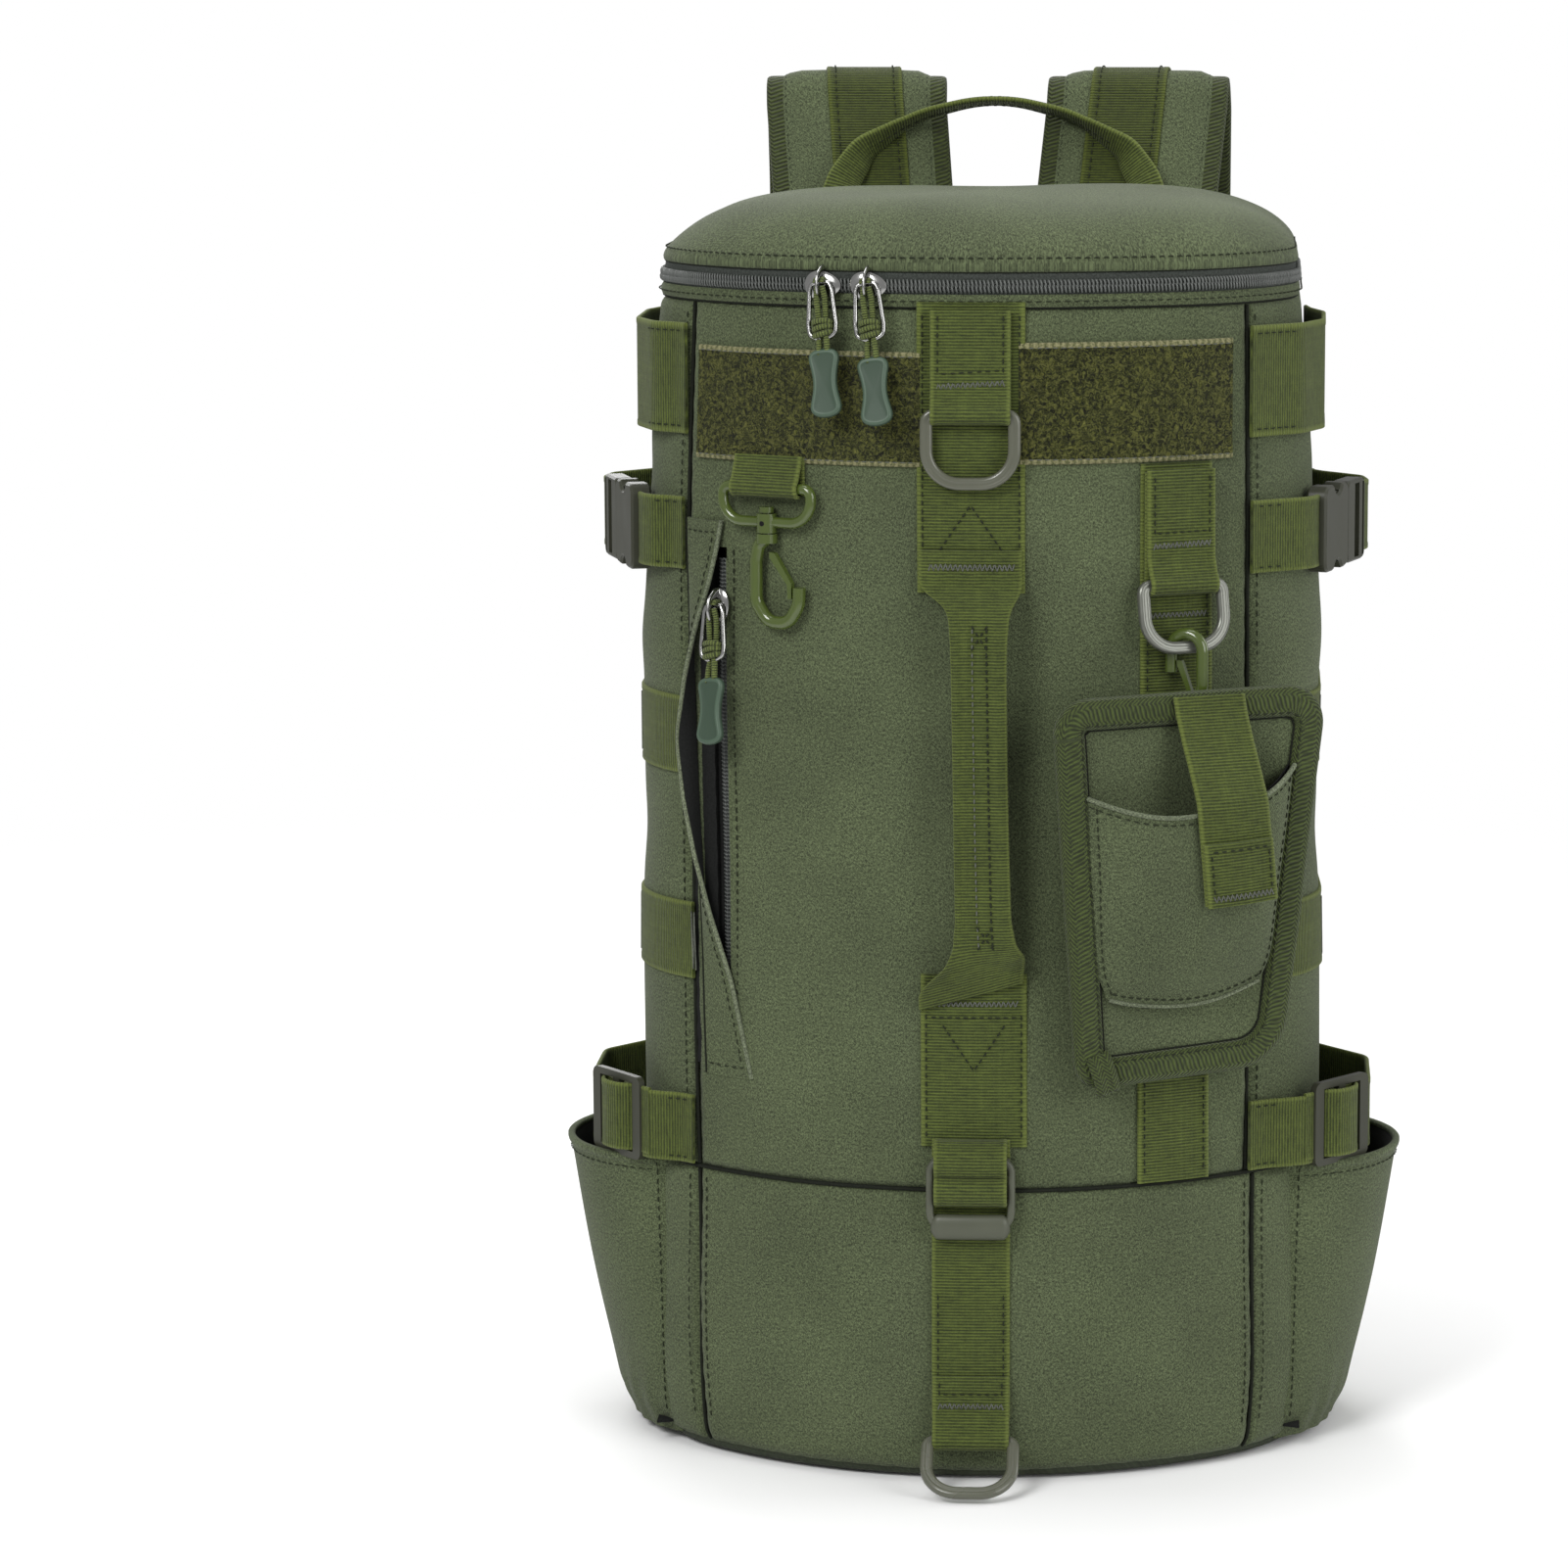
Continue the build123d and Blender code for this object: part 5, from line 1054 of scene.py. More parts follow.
# grab handle: the webbing folded narrower and stood off the bag
def grab():
    z = np.array([349, 345, 341, 337.6, 335.4, 333.4, 331.2, 328.6, 325, 316, 304, 270, 240, 214, 204, 198.6, 195.6, 192.8, 190, 187, 184])
    wl = np.array([19.3, 19.3, 19.3, 19.2, 18.6, 16.4, 12.6, 9.2, 7.6, 6.9, 6.5, 6.0, 5.6, 5.2, 6.0, 9.2, 13.8, 17.6, 19.2, 19.4, 19.3])
    wr = np.array([19.3, 19.3, 19.3, 19.3, 19.2, 18.6, 17.2, 15.4, 14.2, 13.4, 13.2, 13.6, 14.2, 15.0, 17.0, 19.4, 20.3, 20.4, 20.2, 20.0, 19.8])
    o = np.array([1.7, 1.7, 1.8, 2.0, 2.6, 3.6, 5.2, 6.8, 8.2, 9.3, 9.6, 9.6, 9.5, 9.0, 8.0, 6.6, 5.2, 4.0, 3.0, 2.2, 1.8])
    tz = np.array([1.5, 1.5, 1.5, 1.6, 1.9, 2.4, 3.0, 3.3, 3.4, 3.5, 3.4, 3.3, 3.4, 3.5, 3.6, 3.6, 3.4, 3.0, 2.4, 1.9, 1.5])
    L = path_len(np.stack([o, z], -1))
    q = np.linspace(0, L[-1], 190)
    ker = np.hanning(7)
    ker /= ker.sum()
    sm = lambda A: np.convolve(np.pad(np.interp(q, L, A), 3, mode="edge"), ker, "valid")
    Z, Wl, Wr, O, T_ = sm(z), sm(wl) * 0.97, sm(wr) * 0.95, sm(o), sm(tz)
    top = np.linspace(-0.97, 0.97, 23)
    X = np.concatenate([[-0.995], top, [0.995, 1.0, 0.995], top[::-1], [-0.995, -1.0]])
    Y = np.concatenate([[0.80], np.ones(23), [0.80, 0.5, 0.2], np.zeros(23), [0.2, 0.5]])
    Wd = Wl + Wr
    fold = np.clip((38 - Wd) / 18, 0, 1)
    P = np.zeros((len(q), len(X), 3))
    # the lower end turns in on a slant: the left corner sits lower than the right
    slant = sstep(q, L[-1] - 26, L[-1] - 6)
    for j in range(len(X)):
        xx = np.where(X[j] < 0, X[j] * Wl, X[j] * Wr)
        full = (0.75 * fold * np.exp(-((np.abs(X[j]) - 0.74) / 0.17) ** 2) - 0.35 * fold * math.exp(-(X[j] / 0.13) ** 2)) if Y[j] > 0.6 else 0.0
        puck = 0.6 * np.exp(-((Z - 337.5) / 2.6) ** 2) * math.cos(X[j] * 9.0) + 0.7 * np.exp(-((Z - 196) / 4.0) ** 2) * math.cos(X[j] * 7.0 + 1.0)
        yy = O + Y[j] * T_ + full + (puck if Y[j] > 0.6 else 0.0)
        P[:, j] = front(np.degrees(xx / R), Z + slant * X[j] * 5.2, yy, 0.6)
    n, c = P.shape[:2]
    uv = np.stack(np.broadcast_arrays(X[None, :] * Wd[:, None] / 2, q[:, None]), -1)
    verts = np.concatenate([P.reshape(-1, 3), P[0].mean(0)[None], P[-1].mean(0)[None]])
    faces = grid_faces(n, c, cv=True)
    for j in range(c):
        j2 = (j + 1) % c
        faces.append([j2, j, n * c])
        faces.append([(n - 1) * c + j, (n - 1) * c + j2, n * c + 1])
    ed = np.concatenate([np.broadcast_to(np.abs(X)[None, :] * 0.96, P.shape[:2]).ravel(), [0, 0]])
    emit("grab_handle_webbing", verts, faces, np.concatenate([uv.reshape(-1, 2), [[0, 0], [0, q[-1]]]]), "bag", "webbing",
         M["web"], ("grab_handle",), edge=ed)
    mid = lambda zz_: (np.interp(zz_, z[::-1], wr[::-1]) - np.interp(zz_, z[::-1], wl[::-1])) / 2
    zi = np.linspace(204, 322, 70)
    for off, key, rr in ((-2.4, "bag_grey", 0.34), (2.4, "bag", 0.44)):
        x = mid(zi) + off
        oo = np.interp(zi, z[::-1], o[::-1]) + np.interp(zi, z[::-1], tz[::-1])
        stitch(key, front(np.degrees(x / R), zi, oo + 0.1, 0.6), sk_n(0), pitch=2.9, r=rr)
    for zc in (318.0, 208.0):
        for sx in (-1, 1):
            f = np.linspace(-1, 1, 8)
            zz_ = zc + 5.0 * f
            oo = np.interp(zz_, z[::-1], o[::-1]) + np.interp(zz_, z[::-1], tz[::-1])
            stitch("bag", front(np.degrees((mid(zz_) + sx * 3.0 * f) / R), zz_, oo + 0.1, 0.6), sk_n(0), pitch=2.6, r=0.40)
    F = lambda v, x, y: front(np.degrees(x / R), v, 3.15 + y, 1.0)
    bartack("bag_grey", F, -15.0, 15.5, 342.5, h=2.6)


grab()


def tab(name, a0, z_top, bar_z, bar_out, base, width, nodes, slack=0.0, gap_top=0.15, thick_=1.5, wave=0.0):
    """Doubled webbing tab folded round a ring's bar."""
    r = 2.0 + 0.35 + thick_ / 2
    back = max(bar_out - r, base + thick_ / 2 + 0.1)
    pts = [(base + thick_ / 2 + thick_ + 0.25, z_top)]
    zs = max(bar_z + 10, z_top - 40)
    pts.append((base + thick_ * 1.5 + 0.4 + slack * 0.2, (z_top + bar_z + 9) / 2))
    pts.append((base + thick_ * 1.5 + 0.7, bar_z + 9.5))
    th = np.radians(np.linspace(62, -180, 26))
    arc = np.stack([bar_out + r * np.sin(np.radians(90) + 0 * th) * np.cos(th), bar_z + r * np.sin(th)], -1)
    pts += [tuple(p) for p in arc]
    pts += [(back, bar_z + 6), (base + thick_ / 2 + 0.1, bar_z + 10), (base + thick_ / 2 + 0.1, z_top)]
    C2 = resample(np.array(pts), 1.0)
    ker = np.hanning(5)
    ker /= ker.sum()
    C2 = np.stack([np.convolve(np.pad(C2[:, i], 2, mode="edge"), ker, "valid") for i in range(2)], -1)
    L = path_len(C2)
    T = tangents(C2)
    Nn = np.stack([T[:, 1], -T[:, 0]], -1) * -1.0

    def F(v, x, y):
        o = np.interp(v, L, C2[:, 0]) + np.interp(v, L, Nn[:, 0]) * (y - thick_ / 2)
        z = np.interp(v, L, C2[:, 1]) + np.interp(v, L, Nn[:, 1]) * (y - thick_ / 2)
        return sk(a0, z, 0) * 0 + np.stack([
            (R + o) * math.sin(math.radians(a0)) + x * math.cos(math.radians(a0)),
            CY - (R + o) * math.cos(math.radians(a0)) + x * math.sin(math.radians(a0)), z], -1)

    strip(name, F, np.arange(0, L[-1], 1.0), width, thick_, "bag", "webbing", M["web"], nodes, m=11)
    return F, L


def tab_deco(a0, out, zs, za, zb, w, slant=0.0):
    """Stitch rows down the tab's edges and bartacks across it, on its flat upper layer."""
    F = lambda v, x, y: np.stack([
        (R + out + y) * math.sin(math.radians(a0)) + x * math.cos(math.radians(a0)),
        CY - (R + out + y) * math.cos(math.radians(a0)) + x * math.sin(math.radians(a0)), v], -1)
    for x in (-w / 2 + 2.7, w / 2 - 2.7):
        q = np.linspace(za, zb, 30)
        stitch("bag", F(q, np.full_like(q, x), np.full_like(q, 0.05)), sk_n(a0), pitch=3.0, r=0.3)
    for z in zs:
        bartack("bag_grey", F, -w / 2 + 2.2, w / 2 - 2.2, z, h=2.4, slant=slant)
        q = np.linspace(-w / 2 + 3.4, w / 2 - 3.4, 14)
        stitch("bag", F(z + 4.6 + slant * q, q, 0 * q + 0.05), sk_n(a0), pitch=2.9, r=0.3)
    return F


tab("top_ring_tab_web", 0.0, 435.5, 398.0, 5.5, 1.65, 29.0, ("top_ring_tab",))
tab_deco(0.0, 1.65 + 3.5, (408.6,), 412.5, 434.0, 29.0, 0.06)
tab("right_ring_tab_web", 26.6, 377.0, 335.0, 5.5, 1.65, 27.5, ())
tab_deco(26.6, 1.65 + 3.5, (349.5,), 353, 375.0, 27.5, 0.03)
tab("bottom_ring_tab_web", 0.0, 42.0, 17.5, 5.5, 1.5, 28.5, ())
tab_deco(0.0, 1.5 + 3.5, (30.5,), 34.0, 40.0, 28.5)
tab("hook_tab_web", -26.4, 381.5, 369.5, 3.9, 0.1, 28.5, ("hook_tab",), thick_=1.4)

# right webbing and the lower strap
Fr = skin_strip(26.6, out=lambda v: 0.12 + 0 * v)
strip("right_webbing_long", Fr, np.arange(112, 379.5, 1.5), 29.0, 1.5, "bag", "webbing", M["web"], ("right_webbing",), m=11)
for x in (-12.0, 12.0):
    q = np.linspace(115, 376, 90)
    stitch("bag", Fr(q, np.full_like(q, x), np.full_like(q, 1.55)), sk_n(26.6 + x / 2.9), pitch=3.2, r=0.3)
bartack("bag_grey", Fr, -11.5, 11.5, 323.5, out=1.75)


def low_strap():
    """The strap through the tri-glide: over its middle bar, with the lower run flat on the wrap."""
    pts = [(0.6, 131.5), (1.7, 127.0), (1.9, 124.0), (1.5, 114.0), (1.5, 103.0), (1.5, 94.0), (1.5, 86.0), (1.5, 74.0), (1.6, 62.0), (1.7, 44.0), (1.7, 24.5)]
    C2 = resample(np.array(pts), 1.0)
    ker = np.hanning(9)
    ker /= ker.sum()
    C2 = np.stack([np.convolve(np.pad(C2[:, i], 4, mode="edge"), ker, "valid") for i in range(2)], -1)
    L = path_len(C2)

    def F(v, x, y):
        o = np.interp(v, L, C2[:, 0]) + y
        z = np.interp(v, L, C2[:, 1])
        return front(np.degrees(x / R), z, o, 1.0)

    strip("bottom_strap_run", F, np.arange(0, L[-1], 1.2), 28.5, 1.5, "bag", "webbing", M["web"], ("bottom_strap",), m=11)
    for x in (-11.8, 11.8):
        q = np.linspace(58, L[-1] - 2, 30)
        stitch("bag", F(q, np.full_like(q, x), np.full_like(q, 1.6)), sk_n(0), pitch=3.1, r=0.3)
    F2 = lambda v, x, y: front(np.degrees(x / R), v, 0.12 + y, 1.0)
    strip("bottom_strap_under", F2, np.arange(24, 127, 1.5), 27.0, 1.3, "bag", "webbing", M["web"], (), m=11)


low_strap()


def webbing_hump(name, C2, w, body, x0=0.0):
    """A short run of webbing over a bar: (out, z) points in the middle plane."""
    C2 = rounded([(p[0], p[1], 0) for p in C2], 2.6, 0.6)[:, :2]
    L = path_len(C2)
    T = tangents(C2)
    Nn = np.stack([-T[:, 1], T[:, 0]], -1)
    if (Nn[len(Nn) // 2, 0]) < 0:
        Nn = -Nn

    def F(v, x, y):
        o = np.interp(v, L, C2[:, 0]) + np.interp(v, L, Nn[:, 0]) * y
        z = np.interp(v, L, C2[:, 1]) + np.interp(v, L, Nn[:, 1]) * y
        x = x + x0
        return np.stack([x, CY - (R + o) + x * x / (2 * R), z], -1)

    strip(name, F, np.arange(0, L[-1] + 0.3, 0.6), w, 1.6, body, "webbing", M["web"], (), m=11)


def triglide():
    """Slider buckle of the centre strap, with the strap's two turns over its bars."""
    b = "centre_triglide"
    c = lambda x, z, o: np.array([x, CY - (R + o) + x * x / (2 * R), z])
    loop = rounded([c(0, 123.6, 5.0), c(15.0, 123.6, 5.0), c(15.0, 98.5, 6.4), c(-15.0, 98.5, 6.4), c(-15.0, 123.6, 5.0), c(-0.01, 123.6, 5.0)],
                   [4.5, 6.0, 6.0, 4.5], 0.8)[:-1]
    sh = [(math.copysign(abs(math.cos(a_)) ** 0.75, math.cos(a_)) * 1.75, math.copysign(abs(math.sin(a_)) ** 0.75, math.sin(a_)) * 1.45) for a_ in np.linspace(0, TAU, 16, endpoint=False)]
    parts = [tube_data(loop, 1.0, closed=True, up=(0, -1, 0), shape=sh)]
    # broad rounded lower bar
    bar = np.array([c(x, 98.9, 6.6) for x in np.linspace(-14.6, 14.6, 26)])
    f = np.abs(np.linspace(-1, 1, 26))
    rr = (1 - np.clip((f - 0.80) / 0.20, 0, 1) ** 2.2 * 0.62)
    sh2 = [(math.copysign(abs(math.cos(a_)) ** 0.8, math.cos(a_)) * 2.6, math.copysign(abs(math.sin(a_)) ** 0.8, math.sin(a_)) * 4.7) for a_ in np.linspace(0, TAU, 22, endpoint=False)]
    parts.append(tube_data(bar, rr, up=(0, -1, 0), shape=sh2))
    for zc, oo in ((123.0, 4.4), (112.2, 4.6)):
        parts.append(tube_data(np.array([c(x, zc, oo) for x in np.linspace(-14.4, 14.4, 12)]), 1.5, 10, up=(0, -1, 0)))
    v, f, u = join(parts)
    emit("centre_glide_frame", v, f, u, b, "buckle_plastic", M["glide"], ("centre_triglide",), smooth="all")
    webbing_hump("centre_glide_turn_upper", [(2.4, 129.6), (5.6, 129.0), (8.2, 126.6), (8.6, 122.0), (7.4, 118.9), (3.6, 118.4)], 27.0, b)
    webbing_hump("centre_glide_turn_lower", [(3.0, 117.2), (6.4, 116.6), (8.8, 114.6), (9.0, 111.2), (7.8, 108.4), (3.4, 107.8)], 27.0, b)


triglide()


# =================================================================================================
# straps on the sides
# =================================================================================================
def side_strip(name, pts, radius, z0, width, nodes, body="bag", t=1.5, tap=1.0, sides=(1, -1), tail=None, mat="web"):
    """Webbing along a plan path at height z0 (its middle), made on both sides."""
    for sg in sides:
        pq = pts[sg] if isinstance(pts, dict) else pts
        C = rounded([(x, y, z0) for x, y in pq], radius, 1.4)
        if sg < 0:
            C = C * np.array([-1, 1, 1])
        C = C.copy()
        k = sstep(np.abs(C[:, 0]), 112, 134)
        Ct = taper(C)
        C = C * k[:, None] * tap + Ct * (1 - k[:, None] * tap)
        F, Ln = path_F(C, (0, 0, 1), 1.0 * sg)
        strip(name + ("_right" if sg > 0 else "_left"), F, np.arange(0, Ln, 1.4), width, t, body, "webbing", M[mat],
              nodes if sg > 0 else (), m=11, uvoff=3.0 * sg)
        yield sg, F, Ln


def start_at(s, d=0.5):
    x, y, _, _ = outl(np.array([abs(s)]), d)
    return (float(x[0]), float(y[0]))


def both(z0, *pts):
    r, l = SEAM_R + float(seam_drift(z0, False)), -SEAM_L + float(seam_drift(z0, True))
    return {1: [start_at(r - 0.5), start_at(r + 7, 0.9)] + list(pts), -1: [start_at(l + 0.5), start_at(l + 7, 0.9)] + list(pts)}


for sg, F, Ln in side_strip("rod_loop", both(407.0, (123.4, -36.0), (131.6, -14.0), (132.4, 28.0), (127.6, 48.0), (126.2, 62.0)), 12, 407.0, 41.0, ("rod_loops",), tap=0.0):
    for x in (-17.5, 17.5):
        q = np.linspace(2, 22, 12)
        stitch("bag", F(q, np.full_like(q, x), np.full_like(q, 1.7)), (0.5 * sg, -0.8, 0), pitch=3.2)
BU = np.array([0.309, 0.951])          # along the side buckles, rearwards
BA = np.array([125.6, -30.5])
for sg, F, Ln in side_strip("compression_front", both(350.0, (120.4, -40.2), (123.9, -35.6), tuple(BA + BU * 2.0)), 4, 350.0, 27.0, ("compression_straps",)):
    for x in (-11.3, 11.3):
        q = np.linspace(2, 14, 8)
        stitch("bag", F(q, np.full_like(q, x), np.full_like(q, 1.7)), (0.5 * sg, -0.8, 0), pitch=3.0)


def rear_strap(sg):
    """From the plug's rear bar back to the seam: it crosses the buckle's joint."""
    nm = "right" if sg > 0 else "left"
    a = BA + BU * 46.0
    pts = [tuple(a), tuple(BA + BU * 52.0), (145.2, 30.0), (143.6, 43.0), (129.8, 60.0), (126.6, 66.0), (126.4, 70.0)]
    C = rounded([(x * sg, y, 350.0) for x, y in pts], 5, 1.4)
    k = sstep(C[:, 1], 40, 66)
    C = C * (1 - k[:, None]) + taper(C) * k[:, None]
    F, Ln = path_F(C, (0, 0, 1), 1.0 * sg)
    o = strip(nm + "_rear_strap", F, np.arange(0, Ln, 1.4), 27.0, 1.5, None, "webbing", M["web"], (), m=11)
    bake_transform(o)


rear_strap(1)
rear_strap(-1)
for sg, F, Ln in side_strip("lower_side_strap", both(125.0, (122.0, -43.6), (147.2, -12.5), (147.6, 30.0), (128.0, 54.0), (126.0, 66.0)), 10, 125.25, 26.5, ("lower_side_straps",)):
    for x in (-11.0, 11.0):
        q = np.linspace(2, 12, 8)
        stitch("bag", F(q, np.full_like(q, x), np.full_like(q, 1.7)), (0.5 * sg, -0.8, 0), pitch=3.0)
for sg in (1, -1):
    go = np.array([135.0 * sg, -28.0, 126.4])
    gx, gn = np.array([0.6357 * sg, 0.7719, 0]), np.array([0.7719 * sg, -0.6357, 0])
    for i_, pts_ in enumerate(([(-9.6, -1.2), (-8.4, 2.6), (-4.6, 5.2), (0.0, 5.9), (4.6, 5.2), (8.6, 2.4), (9.8, -1.2)],
                               [(-20.0, 0.6), (-16.5, 1.0), (-12.2, 0.9), (-10.4, -0.6), (-10.2, -1.4)])):
        C = rounded([go + gx * a_ + gn * b_ for a_, b_ in pts_], 3.0, 0.8)
        F, Ln = path_F(C, (0, 0, 1), 1.0 * sg)
        strip(("right" if sg > 0 else "left") + ("_glide_turn", "_glide_lead")[i_], F, np.arange(0, Ln, 0.8), 26.0, 1.4, "bag", "webbing", M["web"], (), m=9)
for z0, nm in ((197.5, "molle_low"), (274.5, "molle_high")):
    for sg in (1, -1):
        s = np.arange((SEAM_R if sg > 0 else -SEAM_L) - 1.0, CUM[3] + 2, 2.0) * sg
        pr = profile(29.0, 1.5, 11)
        Fm = (lambda z0, sg: lambda v, x, y: body_pt(v, z0 - x * sg, y + side_shape(v, z0 + 0 * v)))(z0, sg)
        strip(nm + ("_right" if sg > 0 else "_left"), Fm, s, 29.0, 1.5, "bag", "webbing", M["web"],
              ("molle_rows",) if (sg > 0 and z0 < 200) else (), m=11)
        for sv in (S1 + 2.5, S1 + 48, CUM[2] + 24, CUM[2] + 60):
            bartack("bag_grey", lambda v, x, y, z0=z0, sg=sg: body_pt(x * sg, z0 + (v - z0), y + side_shape(x * sg, z0)), sv - 1.0, sv + 1.0, z0, h=22.0, pitch=0.6, out=1.6)


# =================================================================================================
# side pockets
# =================================================================================================
def side_pocket(sg):
    nm = "right" if sg > 0 else "left"
    n, m = 90, 54
    u = np.linspace(0, 1, n)
    zf = np.linspace(0, 1, m)

    def circle3(p, q, r):
        ax, ay = p
        bx, by = q
        cx, cy = r
        d = 2 * (ax * (by - cy) + bx * (cy - ay) + cx * (ay - by))
        ux = ((ax ** 2 + ay ** 2) * (by - cy) + (bx ** 2 + by ** 2) * (cy - ay) + (cx ** 2 + cy ** 2) * (ay - by)) / d
        uy = ((ax ** 2 + ay ** 2) * (cx - bx) + (bx ** 2 + by ** 2) * (ax - cx) + (cx ** 2 + cy ** 2) * (bx - ax)) / d
        return ux, uy, math.hypot(ax - ux, ay - uy)

    P = np.zeros((n, m, 3))
    for j, f in enumerate(zf):
        z = 3.0 + (110.0 - 3.0) * f
        reach = 140.0 + (160.0 - 140.0) * ((z - 5) / 105.0)
        a, b, c = (115.5, -38.5), (reach, 8.0), (124.0, 60.0)
        cx, cy, r = circle3(a, b, c)
        t0 = math.atan2(a[1] - cy, a[0] - cx)
        t1 = math.atan2(c[1] - cy, c[0] - cx)
        th = t0 + (t1 - t0) * u
        r2 = r - 0.3 - 1.2 * np.exp(-(u * 60 / 3.0) ** 2) - 1.0 * np.exp(-((1 - u) * 60 / 3.0) ** 2)
        bulge = 1.1 * math.sin(math.pi * f) * np.sin(math.pi * u) + 0.7 * np.sin(u * 9.0 + f * 5.0) * (1 - f) * 0.9
        pinch = -3.0 * math.exp(-((z - 3) / 7.0) ** 2)
        gather = 0.45 * np.sin(u * TAU * 9 + 0.4) * math.exp(-((z - 8) / 14.0) ** 2)
        lip = 0.7 * math.exp(-((z - 110) / 3.0) ** 2)
        rr = r2 + bulge + pinch + gather + lip
        zz_ = z + (2.2 * np.sin(math.pi * u) * f if f > 0.8 else 0) * 0
        P[:, j, 0] = cx + rr * np.cos(th)
        P[:, j, 1] = cy + rr * np.sin(th)
        P[:, j, 2] = zz_
    L = 118.0
    U, Zf = np.meshgrid(u * L, zf * 107 + 3, indexing="ij")
    # the mouth: rolled hem, the lining inside
    outer = P
    nrm = grid_normals(P)
    t = 1.1
    inner = P - nrm * t
    inner2 = P - nrm * (t + 0.9)
    for A in (outer, inner, inner2):
        A[..., 0] *= sg
    uv = np.stack([U, Zf], -1)

    def closed(name, A, B, mat, slot, nodes):
        verts = np.concatenate([A.reshape(-1, 3), B.reshape(-1, 3)])
        mm = n * m
        f = grid_faces(n, m) + grid_faces(n, m, mm, flip=True)
        for i in range(n - 1):
            a, b = i * m + m - 1, (i + 1) * m + m - 1
            f.append([a, b, b + mm, a + mm])
            a, b = i * m, (i + 1) * m
            f.append([b, a, a + mm, b + mm])
        for j in range(m - 1):
            f.append([j, j + 1, j + 1 + mm, j + mm])
            a = (n - 1) * m + j
            f.append([a + 1, a, a + mm, a + 1 + mm])
        emit(name, verts, f, np.concatenate([uv.reshape(-1, 2)] * 2), "bag", slot, mat, nodes)

    closed(nm + "_pocket_fabric", outer, inner, M["shell"], "shell", (nm + "_side_pocket",))
    closed(nm + "_pocket_lining", inner, inner2, M["lining"], "lining", ())
    # floor of the pocket
    ring = inner2[:, 2]
    base = np.array([[sg * 122.5, y, 8.0] for y in np.linspace(-38, 60, n)])
    A = np.stack([ring, (ring + base) / 2, base], 1)
    A[..., 2] = 8.0
    thick(nm + "_pocket_floor", A, np.stack([A[..., 0], A[..., 1]], -1), 1.0, "bag", "lining", M["lining"])
    # hem binding over the mouth
    lip = outer[:, -1] * 0.5 + inner2[:, -1] * 0.5
    lip = resample(lip, 2.0)
    sh = [(math.cos(a) * (3.2 if math.cos(a) < 0 else 1.2), math.sin(a) * 1.75) for a in np.linspace(0, TAU, 14, endpoint=False)]
    sh = [(c if c > 0 else c, s_) for c, s_ in sh]
    tube(nm + "_pocket_hem", lip + np.array([0, 0, 0.1]), 0.8, "bag", "webbing", M["shell"], up=(0, 0, 1), shape=sh)
    row = resample(outer[:, int(m * 0.945)], 2.0)
    stitch("bag", row + 0.1 * np.array([sg, -0.2, 0]), (sg, -0.3, 0), pitch=3.5)
    # front seam allowance down the pocket
    for k_ in (4, 85):
        row = resample(outer[k_, 4:], 2.0)
        stitch("bag", row, (0.6 * sg, -0.8, 0) if k_ < 40 else (0.8 * sg, 0.5, 0), pitch=3.5)


side_pocket(1)
side_pocket(-1)


